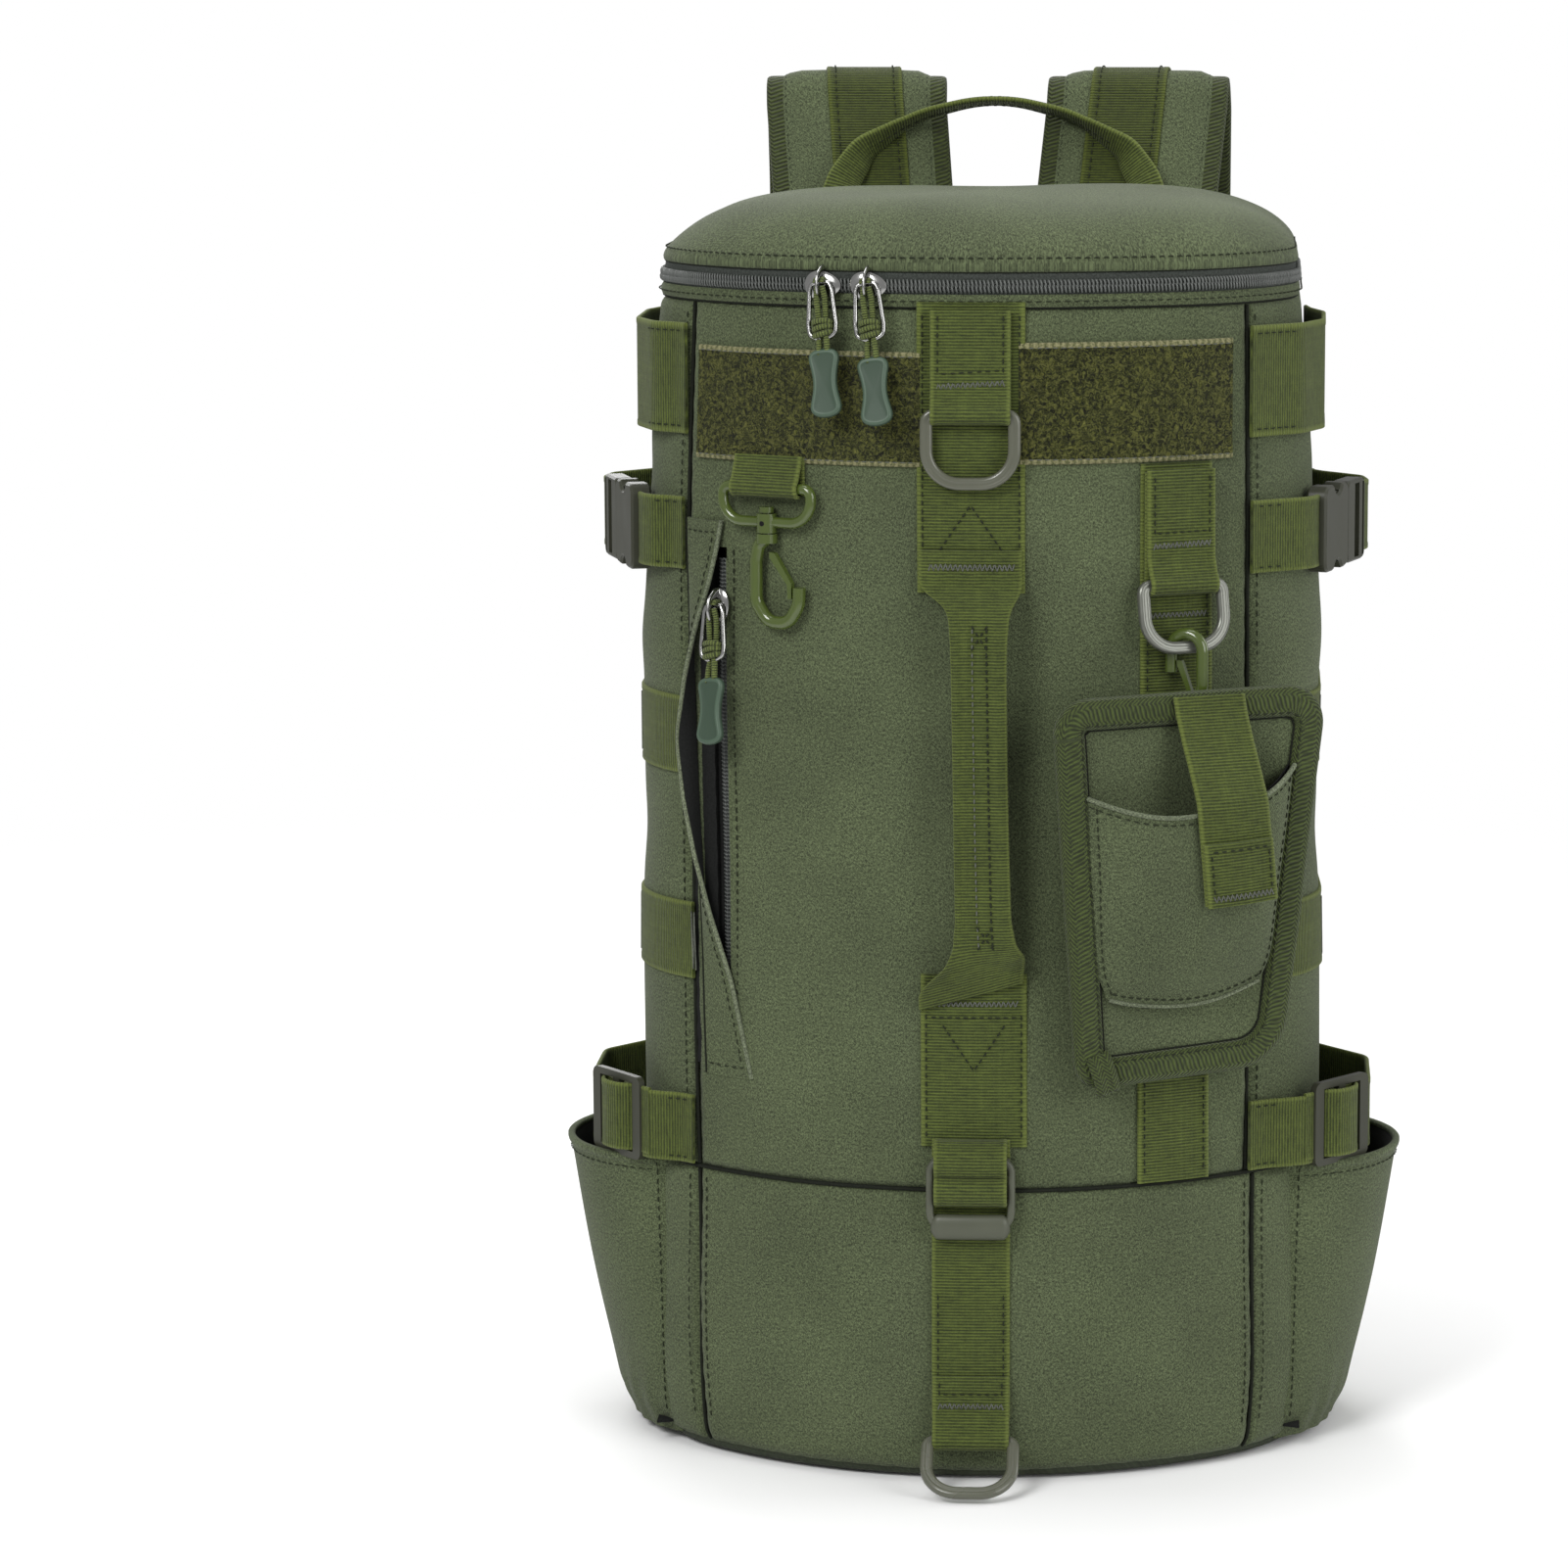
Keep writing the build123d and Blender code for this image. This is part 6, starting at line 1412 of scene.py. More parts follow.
# =================================================================================================
# lid
# =================================================================================================
def lid():
    s = np.linspace(-HALF, HALF, 560)[:-1]
    x0, y0, nx, ny = outl(s, 0.0)
    cx, cy = 0.0, 7.0
    zb = 452.6
    top = 21.4
    rows, arcs = [], []
    # turned edge over the zipper's tape, then one smooth dome
    lead = [(-0.7, 448.9), (0.1, 448.6), (0.55, 449.1), (0.75, 450.2), (0.55, 451.4), (0.15, 452.3)]
    wv = 0.6 * wob(s, 0 * s + 440) * (np.abs(s) < CUM[3])
    for d, z in lead:
        x, y, _, _ = outl(s, d + wv)
        rows.append(taper(np.stack([x, y, np.full_like(x, z)], -1)))
    base = taper(np.stack([x0 + nx * wv, y0 + ny * wv, np.full_like(x0, zb)], -1))
    gs = np.concatenate([1 - np.array([0.004, 0.010, 0.018, 0.028, 0.040]), np.linspace(0.945, 0.02, 52)])
    for g in gs:
        x = cx + (base[:, 0] - cx) * g
        y = cy + (base[:, 1] - cy) * g
        h = zb + top * (1 - g ** 5.6) ** np.interp(x / 110.0, [-1.0, -0.4, 0.4, 1.0], [0.94, 0.82, 0.72, 0.70])
        h = h + (0.9 * np.sin(x / 33 + 0.5) * np.sin(y / 29 + 0.8) + 0.5 * np.sin(x / 17 - y / 21)) * (1 - g ** 8)
        rows.append(np.stack([x, y, h], -1))
    P = np.stack(rows, 1)
    n, m = P.shape[:2]
    inner = P.copy()
    inner[..., 2] -= 2.0
    inner[..., 0] *= 0.984
    inner[..., 1] = cy + (inner[..., 1] - cy) * 0.978
    inner[:, :6, 2] += 1.6
    verts = np.concatenate([P.reshape(-1, 3), inner.reshape(-1, 3), [[cx, cy, zb + top]], [[cx, cy, zb + top - 2.0]]])
    mm = n * m
    faces = grid_faces(n, m, cu=True) + grid_faces(n, m, mm, cu=True, flip=True)
    for i in range(n):
        a, b = i * m, ((i + 1) % n) * m
        faces.append([b, a, a + mm, b + mm])
        faces.append([a + m - 1, b + m - 1, 2 * mm])
        faces.append([b + m - 1 + mm, a + m - 1 + mm, 2 * mm + 1])
    low = np.where(P[..., 2] < 453.5, 1.0, 0.0)
    U = P[..., 0] * (1 - low) + low * s[:, None]
    V = P[..., 1] * (1 - low) + low * P[..., 2]
    uv = np.concatenate([np.stack([P[..., 0], P[..., 1]], -1).reshape(-1, 2)] * 2 + [[[cx, cy]]] * 2)
    emit("lid_crown", verts, faces, uv, "lid", "shell", M["shell"], ("lid_shell",), smooth="all")
    # rear skirt of the lid, below the crown behind the zipper's ends
    s2 = np.linspace(ZEND, 2 * HALF - ZEND, 160)
    zs = np.linspace(444.4, 450.0, 5)
    Sg, Zg = np.meshgrid(s2, zs, indexing="ij")
    Sq = np.where(Sg > HALF, Sg - 2 * HALF, Sg)
    x, y, _, _ = outl(Sq, -0.1)
    thick("lid_rear_skirt", taper(np.stack([x, y, Zg], -1)), np.stack([Sg, Zg], -1), 2.0, "lid", "shell", M["shell"])
    q_ = np.linspace(-ZEND, ZEND, 400)
    x, y, nx, ny = outl(q_, -0.35 + 0.6 * wob(q_, 0 * q_ + 440))
    ringb = taper(np.stack([x, y, np.full_like(x, 453.4)], -1))
    stitch("lid", ringb, np.stack([nx * 0.7, ny * 0.7, 0 * nx + 0.7], -1), pitch=3.5, r=0.34, lift=0.25)
    # dark cord where the lid's edge turns in: painted shadow of the crease
    crease_shadow_line("lid_edge_crease_shadow", taper(np.stack([x + nx * 0.1, y + ny * 0.1, np.full_like(x, 448.7)], -1)), 0.5, "lid")


lid()
q = np.linspace(-ZEND, ZEND, 400)
x, y, nx, ny = outl(q, 0.85 + wob(q, 438.3 + 0 * q))
stitch("bag", taper(np.stack([x, y, np.full_like(x, 438.2)], -1)), np.stack([nx, ny, 0 * nx], -1), pitch=3.5)


# fabric that the lid hinges on, along the top of the back
def hinge_fabric():
    x = np.linspace(-104, 104, 90)
    z = np.linspace(430, 460, 26)
    X, Z = np.meshgrid(x, z, indexing="ij")
    Y = 86.9 + 0.35 * np.exp(-((Z - 445) / 3.0) ** 2) - 0.6 * sstep(np.abs(X), 96, 104) - 3.0 * sstep(Z, 456, 461)
    P = np.stack([X, Y, Z], -1)[::-1]
    n = grid_normals(P)
    t = 1.2
    verts = np.concatenate([P.reshape(-1, 3), (P - n * t * np.sign(n[..., 1:2])).reshape(-1, 3)])
    nu, nv = P.shape[:2]
    mm = nu * nv
    faces = grid_faces(nu, nv) + grid_faces(nu, nv, mm, flip=True)
    for i in range(nu - 1):
        for j in (0, nv - 1):
            a, b = i * nv + j, (i + 1) * nv + j
            faces.append([a, b, b + mm, a + mm])
    for j in range(nv - 1):
        for i in (0, nu - 1):
            a, b = i * nv + j, i * nv + j + 1
            faces.append([a, b, b + mm, a + mm])
    me = bpy.data.meshes.new("lid_hinge_fabric")
    me.from_pydata((verts * S).tolist(), [], faces)
    uvl = me.uv_layers.new(name="UVMap")
    idx = np.zeros(len(me.loops), np.int32)
    me.loops.foreach_get("vertex_index", idx)
    uv = np.stack([verts[:, 0], verts[:, 2]], -1).astype(np.float32)
    uvl.data.foreach_set("uv", uv[idx].ravel())
    bm = bmesh.new()
    bm.from_mesh(me)
    bmesh.ops.recalc_face_normals(bm, faces=bm.faces)
    bm.to_mesh(me)
    bm.free()
    me.polygons.foreach_set("use_smooth", [True] * len(me.polygons))
    me.materials.append(M["shell"])
    o = bpy.data.objects.new("lid_hinge_fabric", me)
    bpy.context.scene.collection.objects.link(o)
    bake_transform(o)


hinge_fabric()


# =================================================================================================
# sliders and pulls
# =================================================================================================
def slider(name, a, z, body, upright=False):
    """Shield-shaped slider: two rounded plates, a crown that the pull hangs from."""
    t_, n_ = sk_t(a), sk_n(a)
    c = sk(a, z, 0.0)
    rot = (lambda x, y: (y, -x)) if upright else (lambda x, y: (x, y))

    def pt(x, y, o):
        x2, y2 = rot(x, y)
        return c + t_ * x2 + UP * y2 + n_ * o

    parts = []

    def plate(outline, o0, o1, bev=0.45):
        n = len(outline)
        cen = outline.mean(0)
        dome = 0.9 if bev > 0.4 else 0.2
        rings = [(o0, 1.0 - bev / 5), (o0 + bev * 0.6, 1.0), (o1 - bev * 0.6, 1.0), (o1, 0.93), (o1 + dome * 0.45, 0.80), (o1 + dome * 0.8, 0.55), (o1 + dome * 0.95, 0.28), (o1 + dome, 0.0)]
        V = []
        for o, k in rings:
            for p in outline:
                qx = cen + (p - cen) * k
                V.append(pt(qx[0], qx[1], o))
        V = np.array(V)
        f = grid_faces(len(rings), n, cv=True)
        f.append(list(range(n))[::-1])
        parts.append((V, f, np.zeros((len(V), 2))))

    th = np.linspace(0, TAU, 40, endpoint=False)
    # pointed oval, as wide as the chain and blunter on one end
    ox = 7.0 * np.cos(th)
    oy = 5.0 * np.sin(th) * (1 - 0.20 * np.cos(th))
    plate(np.stack([ox, oy], -1), 1.75, 2.9)
    plate(np.stack([ox * 0.82, oy * 0.66], -1), -4.4, -3.3, 0.3)
    post = np.array([pt(x, y, o) for o in (-3.4, 2.0) for x, y in ((-1.5, -0.3), (1.5, -0.3), (1.5, 0.3), (-1.5, 0.3))])
    parts.append((post, [[0, 1, 5, 4], [1, 2, 6, 5], [2, 3, 7, 6], [3, 0, 4, 7]], np.zeros((8, 2))))
    v, f, u = join(parts)
    emit(body + "_shield", v, f, u, body, "slider_metal", M["chrome"], (body,))
    # crown: a narrow strap of metal arching over the wire
    zc = z + 0.9
    arch = [(5.6, 2.2), (5.0, 4.4), (3.0, 6.9), (0.9, 7.6), (-0.9, 7.6), (-3.0, 6.9), (-5.0, 4.4), (-5.6, 2.2)]
    if upright:
        C = np.array([c + UP * y + n_ * o for y, o in arch])
    else:
        C = np.array([c + t_ * y * 0 + UP * (0.9 + y * 0.85) + n_ * o for y, o in arch])
    C = rounded(C, 2.0, 0.5)
    sh = [(math.cos(q_) * 0.75, math.sin(q_) * 1.9) for q_ in np.linspace(0, TAU, 14, endpoint=False)]
    up_ = t_
    tube(body + "_crown", C, 1.0, body, "slider_metal", M["chrome"], up=n_, shape=sh, smooth=60)


slider("right", -12.78, 443.6, "right_slider")
slider("left", -18.70, 443.6, "left_slider")
slider("side", -34.3, 324.0, "side_slider", upright=True)


def pull(side, a, z):
    body = side + "_pull"
    tilt = math.radians(10.0)
    t_, n0 = sk_t(a), sk_n(a)
    y_ = UP * math.cos(tilt) - n0 * math.sin(tilt)     # up along the pull; its foot stands out
    n_ = n0 * math.cos(tilt) + UP * math.sin(tilt)
    o = sk(a, z, 4.9)
    roll = math.radians({"left": 7.0, "right": 7.6, "side": 5.5}[side])
    short = {"left": 2.6, "right": 0.0, "side": 0.0}[side]
    cr_, sr_ = math.cos(roll), math.sin(roll)

    def pt(x, y, h=0.0):
        if y < -20.5:
            y = y + short
        x, y = x * cr_ - y * sr_, x * sr_ + y * cr_
        return o + t_ * x + y_ * y + n_ * h

    # bent wire, its two ends turned in at the foot round the cord
    pts = [(1.0, -19.9), (1.6, -20.3), (4.9, -18.6), (5.3, -15.0), (4.2, -2.4), (3.2, 0.0), (-3.2, 0.0), (-4.2, -2.4), (-5.3, -15.0), (-4.9, -18.6), (-1.6, -20.3), (-1.0, -19.9)]
    C = rounded([pt(*p) for p in pts], [1.0, 2.2, 3.0, 2.5, 1.4, 1.4, 2.5, 3.0, 2.2, 1.0], 0.7)
    tube(body + "_wire", C, 0.88, body, "slider_metal", M["chrome"], n=10, replaces=(side + "_pull_wire",))
    # doubled cord: down from the wire's head, knotted, and on into the grip
    def strand(x0, x1, x2, ph):
        q = np.linspace(0, 1, 40)
        y = -1.3 - 27.5 * q
        x = np.interp(q, [0, 0.15, 0.45, 0.62, 0.8, 1], [x0 * 0.6, x0, x1, x1 * 0.8, x2, x2])
        h = 0.5 * np.sin(q * 7 + ph) + 0.6 * np.exp(-((q - 0.0) / 0.08) ** 2)
        return np.array([pt(a_, b_, c_) for a_, b_, c_ in zip(x, y, h)])
    parts = [tube_data(strand(-1.5, -1.25, -1.6, 0.3), 1.15, 8), tube_data(strand(1.5, 1.25, 1.6, 2.0), 1.15, 8)]
    # loop over the wire's head
    arcp = [pt(1.4 * math.cos(w), 0.2 + 0.0, 0) for w in (0,)]
    th = np.linspace(-0.2, math.pi + 0.2, 14)
    for xs in (-1.4, 1.4):
        lp = np.array([pt(xs * 0.9, 0.9 * math.sin(w) * 1.3 - 1.2 * 0 + 0.1, 1.7 * math.cos(w)) for w in th])
        parts.append(tube_data(lp, 0.95, 8))
    # knot: three wraps, a little askew
    for k_, yy in enumerate((-14.6, -16.6, -18.5)):
        w = np.linspace(0, TAU, 28, endpoint=False)
        ring = np.array([pt(3.0 * math.cos(q_), yy + 0.6 * math.sin(q_ + k_), 2.0 * math.sin(q_)) for q_ in w])
        parts.append(tube_data(ring, 1.15, 8, closed=True))
    v, f, u = join(parts)
    emit(body + "_cord", v, f, u, body, "webbing", M["cord"], smooth="all")
    # grip: waisted tab with a raised rim
    n = 96
    yk = np.array([-27.2, -28.0, -30.0, -33.5, -38.5, -43.5, -47.0, -49.4, -50.4])
    wk = np.array([0.0, 4.4, 6.2, 5.35, 4.35, 5.2, 6.6, 5.2, 0.0])
    cy_ = -38.8
    # outline as a closed loop from straight measures
    right = np.array([(0, -26.4), (2.6, -26.5), (4.7, -27.1), (6.0, -28.6), (6.0, -30.4), (5.2, -33.4), (4.7, -36.3), (4.5, -38.6), (4.7, -41.2), (5.3, -44.0), (6.0, -46.6),
                      (6.2, -48.3), (5.2, -50.1), (3.0, -51.2), (0, -51.6)])
    outl_ = np.concatenate([right, (right[::-1] * [-1, 1])[1:-1]])
    c2 = np.concatenate([outl_, outl_[:1]])
    c2 = resample(c2, 0.9)[:-1]
    for _ in range(3):
        c2 = 0.5 * c2 + 0.25 * (np.roll(c2, 1, 0) + np.roll(c2, -1, 0))
    nrm2 = np.roll(c2, -1, 0) - np.roll(c2, 1, 0)
    nrm2 = np.stack([nrm2[:, 1], -nrm2[:, 0]], -1)
    nrm2 /= np.linalg.norm(nrm2, axis=1, keepdims=True)
    if ((c2 + nrm2 * 0.1 - [0, cy_]) ** 2).sum() < ((c2 - [0, cy_]) ** 2).sum():
        nrm2 = -nrm2
    rings = [(0.0, 0.0), (-0.25, 0.8), (-0.7, 1.4), (-1.2, 1.6), (-1.7, 1.45), (-2.3, 1.35)]
    m = len(c2)
    rows = []
    for inset, h in rings[::-1]:
        rows.append(np.array([pt(*(p + q_ * inset), -h) for p, q_ in zip(c2, nrm2)]))
    for inset, h in rings[1:]:
        rows.append(np.array([pt(*(p + q_ * inset), h) for p, q_ in zip(c2, nrm2)]))
    A = np.stack(rows)
    k_ = A.shape[0]
    verts = np.concatenate([A.reshape(-1, 3), pt(0, cy_, -1.15)[None], pt(0, cy_, 1.15)[None]])
    faces = grid_faces(k_, m, cv=True)
    # flat faces: fan to a spine
    for j in range(m):
        j2 = (j + 1) % m
        faces.append([j2, j, k_ * m])
        faces.append([(k_ - 1) * m + j, (k_ - 1) * m + j2, k_ * m + 1])
    uv = np.concatenate([np.tile(c2, (k_, 1)), [[0, cy_]] * 2])
    go = emit(body + "_grip_pad", verts, faces, uv, body, "grip_rubber", M["rubber"], (side + "_pull_grip",), smooth=60)
    go.data.materials.append(M["rubber_rim"])
    rim_rows = {i for i in range(k_ - 1) if 1 <= i <= k_ - 3}
    npoly = (k_ - 1) * m
    for i, p in enumerate(go.data.polygons):
        if i < npoly and (i // m) in (k_ - 5, k_ - 4, k_ - 3, 2, 3, 4 - 1):
            p.material_index = 1


pull("right", -12.78, 444.5)
pull("left", -18.70, 444.5)
pull("side", -34.3, 324.9)


# =================================================================================================
# D-rings, hooks, buckles
# =================================================================================================
def ridged(n_=28, a_=2.35, b_=1.8):
    """Cross-section of the rings' wire: an oval with a groove along its face and back."""
    th = np.linspace(0, TAU, n_, endpoint=False)
    c_, s_ = np.cos(th), np.sin(th)
    x_ = np.sign(c_) * np.abs(c_) ** 0.85 * a_
    y_ = np.sign(s_) * np.abs(s_) ** 0.70 * b_ * (1 - 0.30 * np.exp(-(x_ / 0.55) ** 2))
    return np.stack([x_, y_], -1)


def dring(name, a, z, out, lean, drop, mat, half=15.9):
    """D-ring: a straight bar in the webbing, the bow hanging from it."""
    lr = math.radians(lean)
    tx, nn_ = sk_t(a), sk_n(a)
    dn = -UP * math.cos(lr) + nn_ * math.sin(lr)
    o = sk(a, z, out)
    zc = np.cross(tx, -dn)
    pts = [(0.01, 0), (half, 0), (half, drop), (-half, drop), (-half, 0), (-0.01, 0)]
    C = rounded([o + tx * x_ + dn * y_ for x_, y_ in pts], [3.2, half - 0.6, half - 0.6, 3.2], 0.9)
    C = C[:-1] if np.linalg.norm(C[0] - C[-1]) < 0.3 else C
    bar = np.exp(-np.maximum(np.abs((C - o) @ tx) - 11.5, 0) / 1.6) * (np.abs((C - o) @ dn) < 1.2)
    scale = 1.0 - 0.20 * bar
    T = tangents(C, True)
    B = np.cross(zc, T)
    B /= np.linalg.norm(B, axis=1, keepdims=True)
    sh = ridged()
    V = C[:, None] + (B[:, None] * sh[None, :, :1] + zc[None, None] * sh[None, :, 1:]) * scale[:, None, None]
    n_ = len(sh)
    uv = np.stack(np.broadcast_arrays(sh[None, :, 0], np.arange(len(C))[:, None] * 0.9), -1)
    emit(name + "_wire", V.reshape(-1, 3), grid_faces(len(C), n_, cu=True, cv=True), uv.reshape(-1, 2), name,
         "ring_metal" if name == "right_ring" else "ring_plastic", M[mat], (name,), smooth="all")


dring("top_ring", 0.0, 398.0, 5.5, 0.0, 25.0, "ring")
dring("right_ring", 26.6, 335.0, 5.5, 10.0, 23.0, "ring2")
dring("bottom_ring", 0.0, 17.5, 5.5, 55.0, 24.5, "ring")
for n_ in ("hook_eye", "hook_body", "hook_gate", "pouch_hook", "pouch_gate", "pouch_eye"):
    paint(n_, M["hook"], 40)
for n_ in ("buckle_sockets", "right_buckle_plug", "left_buckle_plug", "strap_adjusters"):
    paint(n_, M["plastic"], 30)
# pin hole in the eye's boss: a black plug, painted shade for the hole's depth
hb = sk(-26.4, 369.5 - 12.9, 3.9 + 3.55)
th_ = np.linspace(0, TAU, 18, endpoint=False)
Vh = np.concatenate([[hb + (sk_t(-26.4) * math.cos(q_) + UP * math.sin(q_)) * 0.95 + sk_n(-26.4) * 0.18 for q_ in th_],
                     [hb + (sk_t(-26.4) * math.cos(q_) + UP * math.sin(q_)) * 1.0 - sk_n(-26.4) * 0.6 for q_ in th_]])
emit("hook_eye_pin_hole_shade", Vh, grid_faces(2, 18, cv=True) + [list(range(18))[::-1], list(range(18, 36))], np.zeros((36, 2)), "hook_eye", "hook_plastic", M["hole"])

# =================================================================================================
# pouch
# =================================================================================================
POUCH_A = 25.4
lean_ = math.radians(-4.5)
PPx = sk_t(POUCH_A)
PPz = sk_n(POUCH_A) * math.cos(lean_) + UP * math.sin(lean_)
PPy = np.cross(PPz, PPx)
PP0 = sk(POUCH_A, 298.0, 18.2)


def pp(x, y, z):
    x, y, z = np.broadcast_arrays(np.asarray(x, float), y, z)
    return PP0 + x[..., None] * PPx + y[..., None] * PPy + z[..., None] * PPz


def pouch_outline(inset, n_corner=12):
    """Outline of the pouch: four corners, each with its own rounding, the left foot lower and sharper."""
    base = [((-54.5, -0.3), 13.0), ((54.5, 0.6), 15.0), ((43.6, -143.6), 21.0), ((-40.6, -147.0), 11.0)]
    cen = np.array([0.0, -72.0])
    pts, rad = [], []
    for (x_, y_), r_ in base:
        sx, sy = (1 if x_ > 0 else -1), (1 if y_ > -72 else -1)
        pts.append((x_ - sx * inset, y_ - sy * inset))
        rad.append(max(r_ - inset, 3.0))
    out = []
    m = len(pts)
    for i in range(m):
        p0, p, p1 = (np.array(pts[(i - 1) % m]), np.array(pts[i]), np.array(pts[(i + 1) % m]))
        u, w = (p0 - p) / np.linalg.norm(p0 - p), (p1 - p) / np.linalg.norm(p1 - p)
        ang = math.acos(float(u @ w))
        r = rad[i]
        tt = r / math.tan(ang / 2)
        c = p + (u + w) / np.linalg.norm(u + w) * (r / math.sin(ang / 2))
        va, vb = p + u * tt - c, p + w * tt - c
        sw = math.pi - ang
        for j in range(n_corner + 1):
            f = j / n_corner
            out.append(c + va * math.sin((1 - f) * sw) / math.sin(sw) + vb * math.sin(f * sw) / math.sin(sw))
    return np.array(out)


def pouch():
    # binding: a broad bar of herringbone tape folded over the edge
    mid = pouch_outline(5.9)
    mid = np.concatenate([mid, mid[:1]])
    mid = resample(mid, 1.4)[:-1]
    wav = 0.35 * np.sin(np.arange(len(mid)) / 9.0)
    P = pp(mid[:, 0], mid[:, 1], 2.7 + wav * 0.5)
    nsec = 26
    th = np.linspace(0, TAU, nsec, endpoint=False)
    cx_ = np.sign(np.cos(th)) * np.abs(np.cos(th)) ** 0.50 * 5.9
    cy_ = np.sign(np.sin(th)) * np.abs(np.sin(th)) ** 0.80 * 2.75
    T = tangents(P, True)
    side_ = np.cross(T, PPz)
    V = P[:, None] + side_[:, None] * cx_[None, :, None] + PPz[None, None] * cy_[None, :, None]
    L = np.arange(len(P)) * 1.4
    uv = np.stack(np.broadcast_arrays(np.arange(nsec)[None, :] * 0.95, L[:, None]), -1)
    emit("pouch_edge_tape", V.reshape(-1, 3), grid_faces(len(P), nsec, cu=True, cv=True), uv.reshape(-1, 2), "pouch", "webbing", M["bind"],
         ("pouch_binding",), smooth="all")
    inward = -1.0 if ((P + side_ - pp(0, -72, 2.7)) ** 2).sum() > ((P - side_ - pp(0, -72, 2.7)) ** 2).sum() else 1.0
    Q = P + side_ * inward * 4.0
    stitch("pouch", np.concatenate([Q, Q[:1]]) + PPz * 2.35, PPz, pitch=3.2, r=0.34)
    # dark cord inside the binding's edge: painted shadow of the crease
    cr_ = P + side_ * inward * 6.0 + PPz * 0.9
    crease_shadow_line("pouch_binding_crease_shadow", np.concatenate([cr_, cr_[:1]]), 0.38, "pouch")
    # lap of the tape at the lower left corner
    lap = np.array([pp(-27.5, -147.6, 2.6), pp(-28.3, -147.3, 5.9), pp(-30.4, -141.2, 6.7), pp(-32.8, -134.6, 5.9), pp(-33.0, -134.2, 4.4)])
    F, Ln = path_F(resample(lap, 1.0), (PPx * math.cos(0.30) + PPy * math.sin(0.30)), -1.0)
    strip("pouch_tape_lap", F, np.arange(0, Ln, 1.0), 9.5, 1.1, "pouch", "webbing", M["bind"], (), m=9)
    # panel behind the pocket, a little sunken
    nx_, ny_ = 44, 64
    ys = np.linspace(-1, 1, ny_)
    xs = np.linspace(-1, 1, nx_)
    Xn, Yn = np.meshgrid(xs, ys, indexing="ij")
    yy = -73.5 + 64.5 * Yn
    half = 54.5 - 8.5 + (42.0 - 54.5) * (-yy / 146.0)
    xx = Xn * half + 0.7 * (1 - Yn) / 2
    sunk = -1.6 * np.exp(-((yy + 34) / 20.0) ** 2) * (1 - Xn ** 4)
    P = pp(xx, yy, 3.0 + sunk + 0.5 * (1 - Xn ** 4) * (1 - Yn ** 4) + 0.25 * np.sin(xx / 9) * np.sin(yy / 13))
    thick("pouch_back_fabric", P, np.stack([xx, yy], -1), 2.2, "pouch", "shell", M["shell"], ("pouch_panel",))
    # pocket
    n, m = 70, 80
    u = np.linspace(-1, 1, n)
    f = np.linspace(0, 1, m)
    U, Fm = np.meshgrid(u, f, indexing="ij")
    ytop = -33.0 + 3.8 * U - 9.0 * (1 - np.abs(U) ** 2.2)
    ybot = -111.0 - 5.5 * (1 - U ** 2) + 1.5 * U
    Y = ybot + (ytop - ybot) * Fm
    hw = (54.5 - 11.0) + (42.0 - 54.5) * (-Y / 146.0) + 0.6
    hw_low = hw - 4.0 * np.exp(-((Y + 114) / 9.0) ** 2)
    X = U * hw_low + 0.5
    prof_in = 1 - np.abs(U) ** 2.8
    depth = np.interp(Y, [-118, -112, -106, -97, -84, -60, -38, -20], [0.5, 3.2, 6.6, 10.2, 12.6, 13.9, 13.4, 12.4])
    Zp = 4.6 + depth * prof_in + 1.0 * prof_in ** 0.3
    Zp += 0.9 * np.sin(U * 4.2 + Y / 21.0) * prof_in + 0.8 * np.exp(-((U - 0.10 - (Y + 70) / 300.0) / 0.10) ** 2) * sstep(Y, -112, -80)
    Zp += 0.5 * np.sin(Y / 7.0 + U * 2) * np.exp(-((np.abs(U) - 0.85) / 0.15) ** 2)
    Zp += 0.6 * np.exp(-((1 - Fm) / 0.03) ** 2)
    P = pp(X, Y, Zp)
    thick("pouch_pocket_fabric", P, np.stack([X * 1.15, Y], -1), 1.0, "pouch", "shell", M["shell"], ("pouch_pocket",))
    lip = P[:, -1]
    # rolled lip of the pocket's mouth in paler canvas: a painted highlight
    tube("pouch_pocket_lip", lip, 0.9, "pouch", "shell", M["shell_edge_highlight"], n=8)
    k = int(m * 0.955)
    stitch("pouch", P[:, k] + PPz * 0.1, PPz, pitch=3.4, r=0.28)
    k = int(m * 0.035) + 1
    stitch("pouch", P[2:-2, k] + PPz * 0.2, PPz, pitch=3.2, r=0.36)
    # the lower hem is also paler canvas: a painted highlight
    tube("pouch_pocket_hem", P[1:-1, 0] + PPz * 0.2, 0.75, "pouch", "shell", M["shell_edge_highlight"], n=8)
    for i in (2, n - 3):
        stitch("pouch", P[i, 2:-2] + PPz * 0.15, PPz, pitch=3.2, r=0.30)
    # dark inside of the mouth: a black sheet, painted shade of the pocket's depth
    A = pp(X * 0.96, Y, Zp - 1.5)
    thick("pouch_pocket_mouth_shade", A, np.stack([X, Y], -1), 0.5, "pouch", "lining", M["lining"])


pouch()


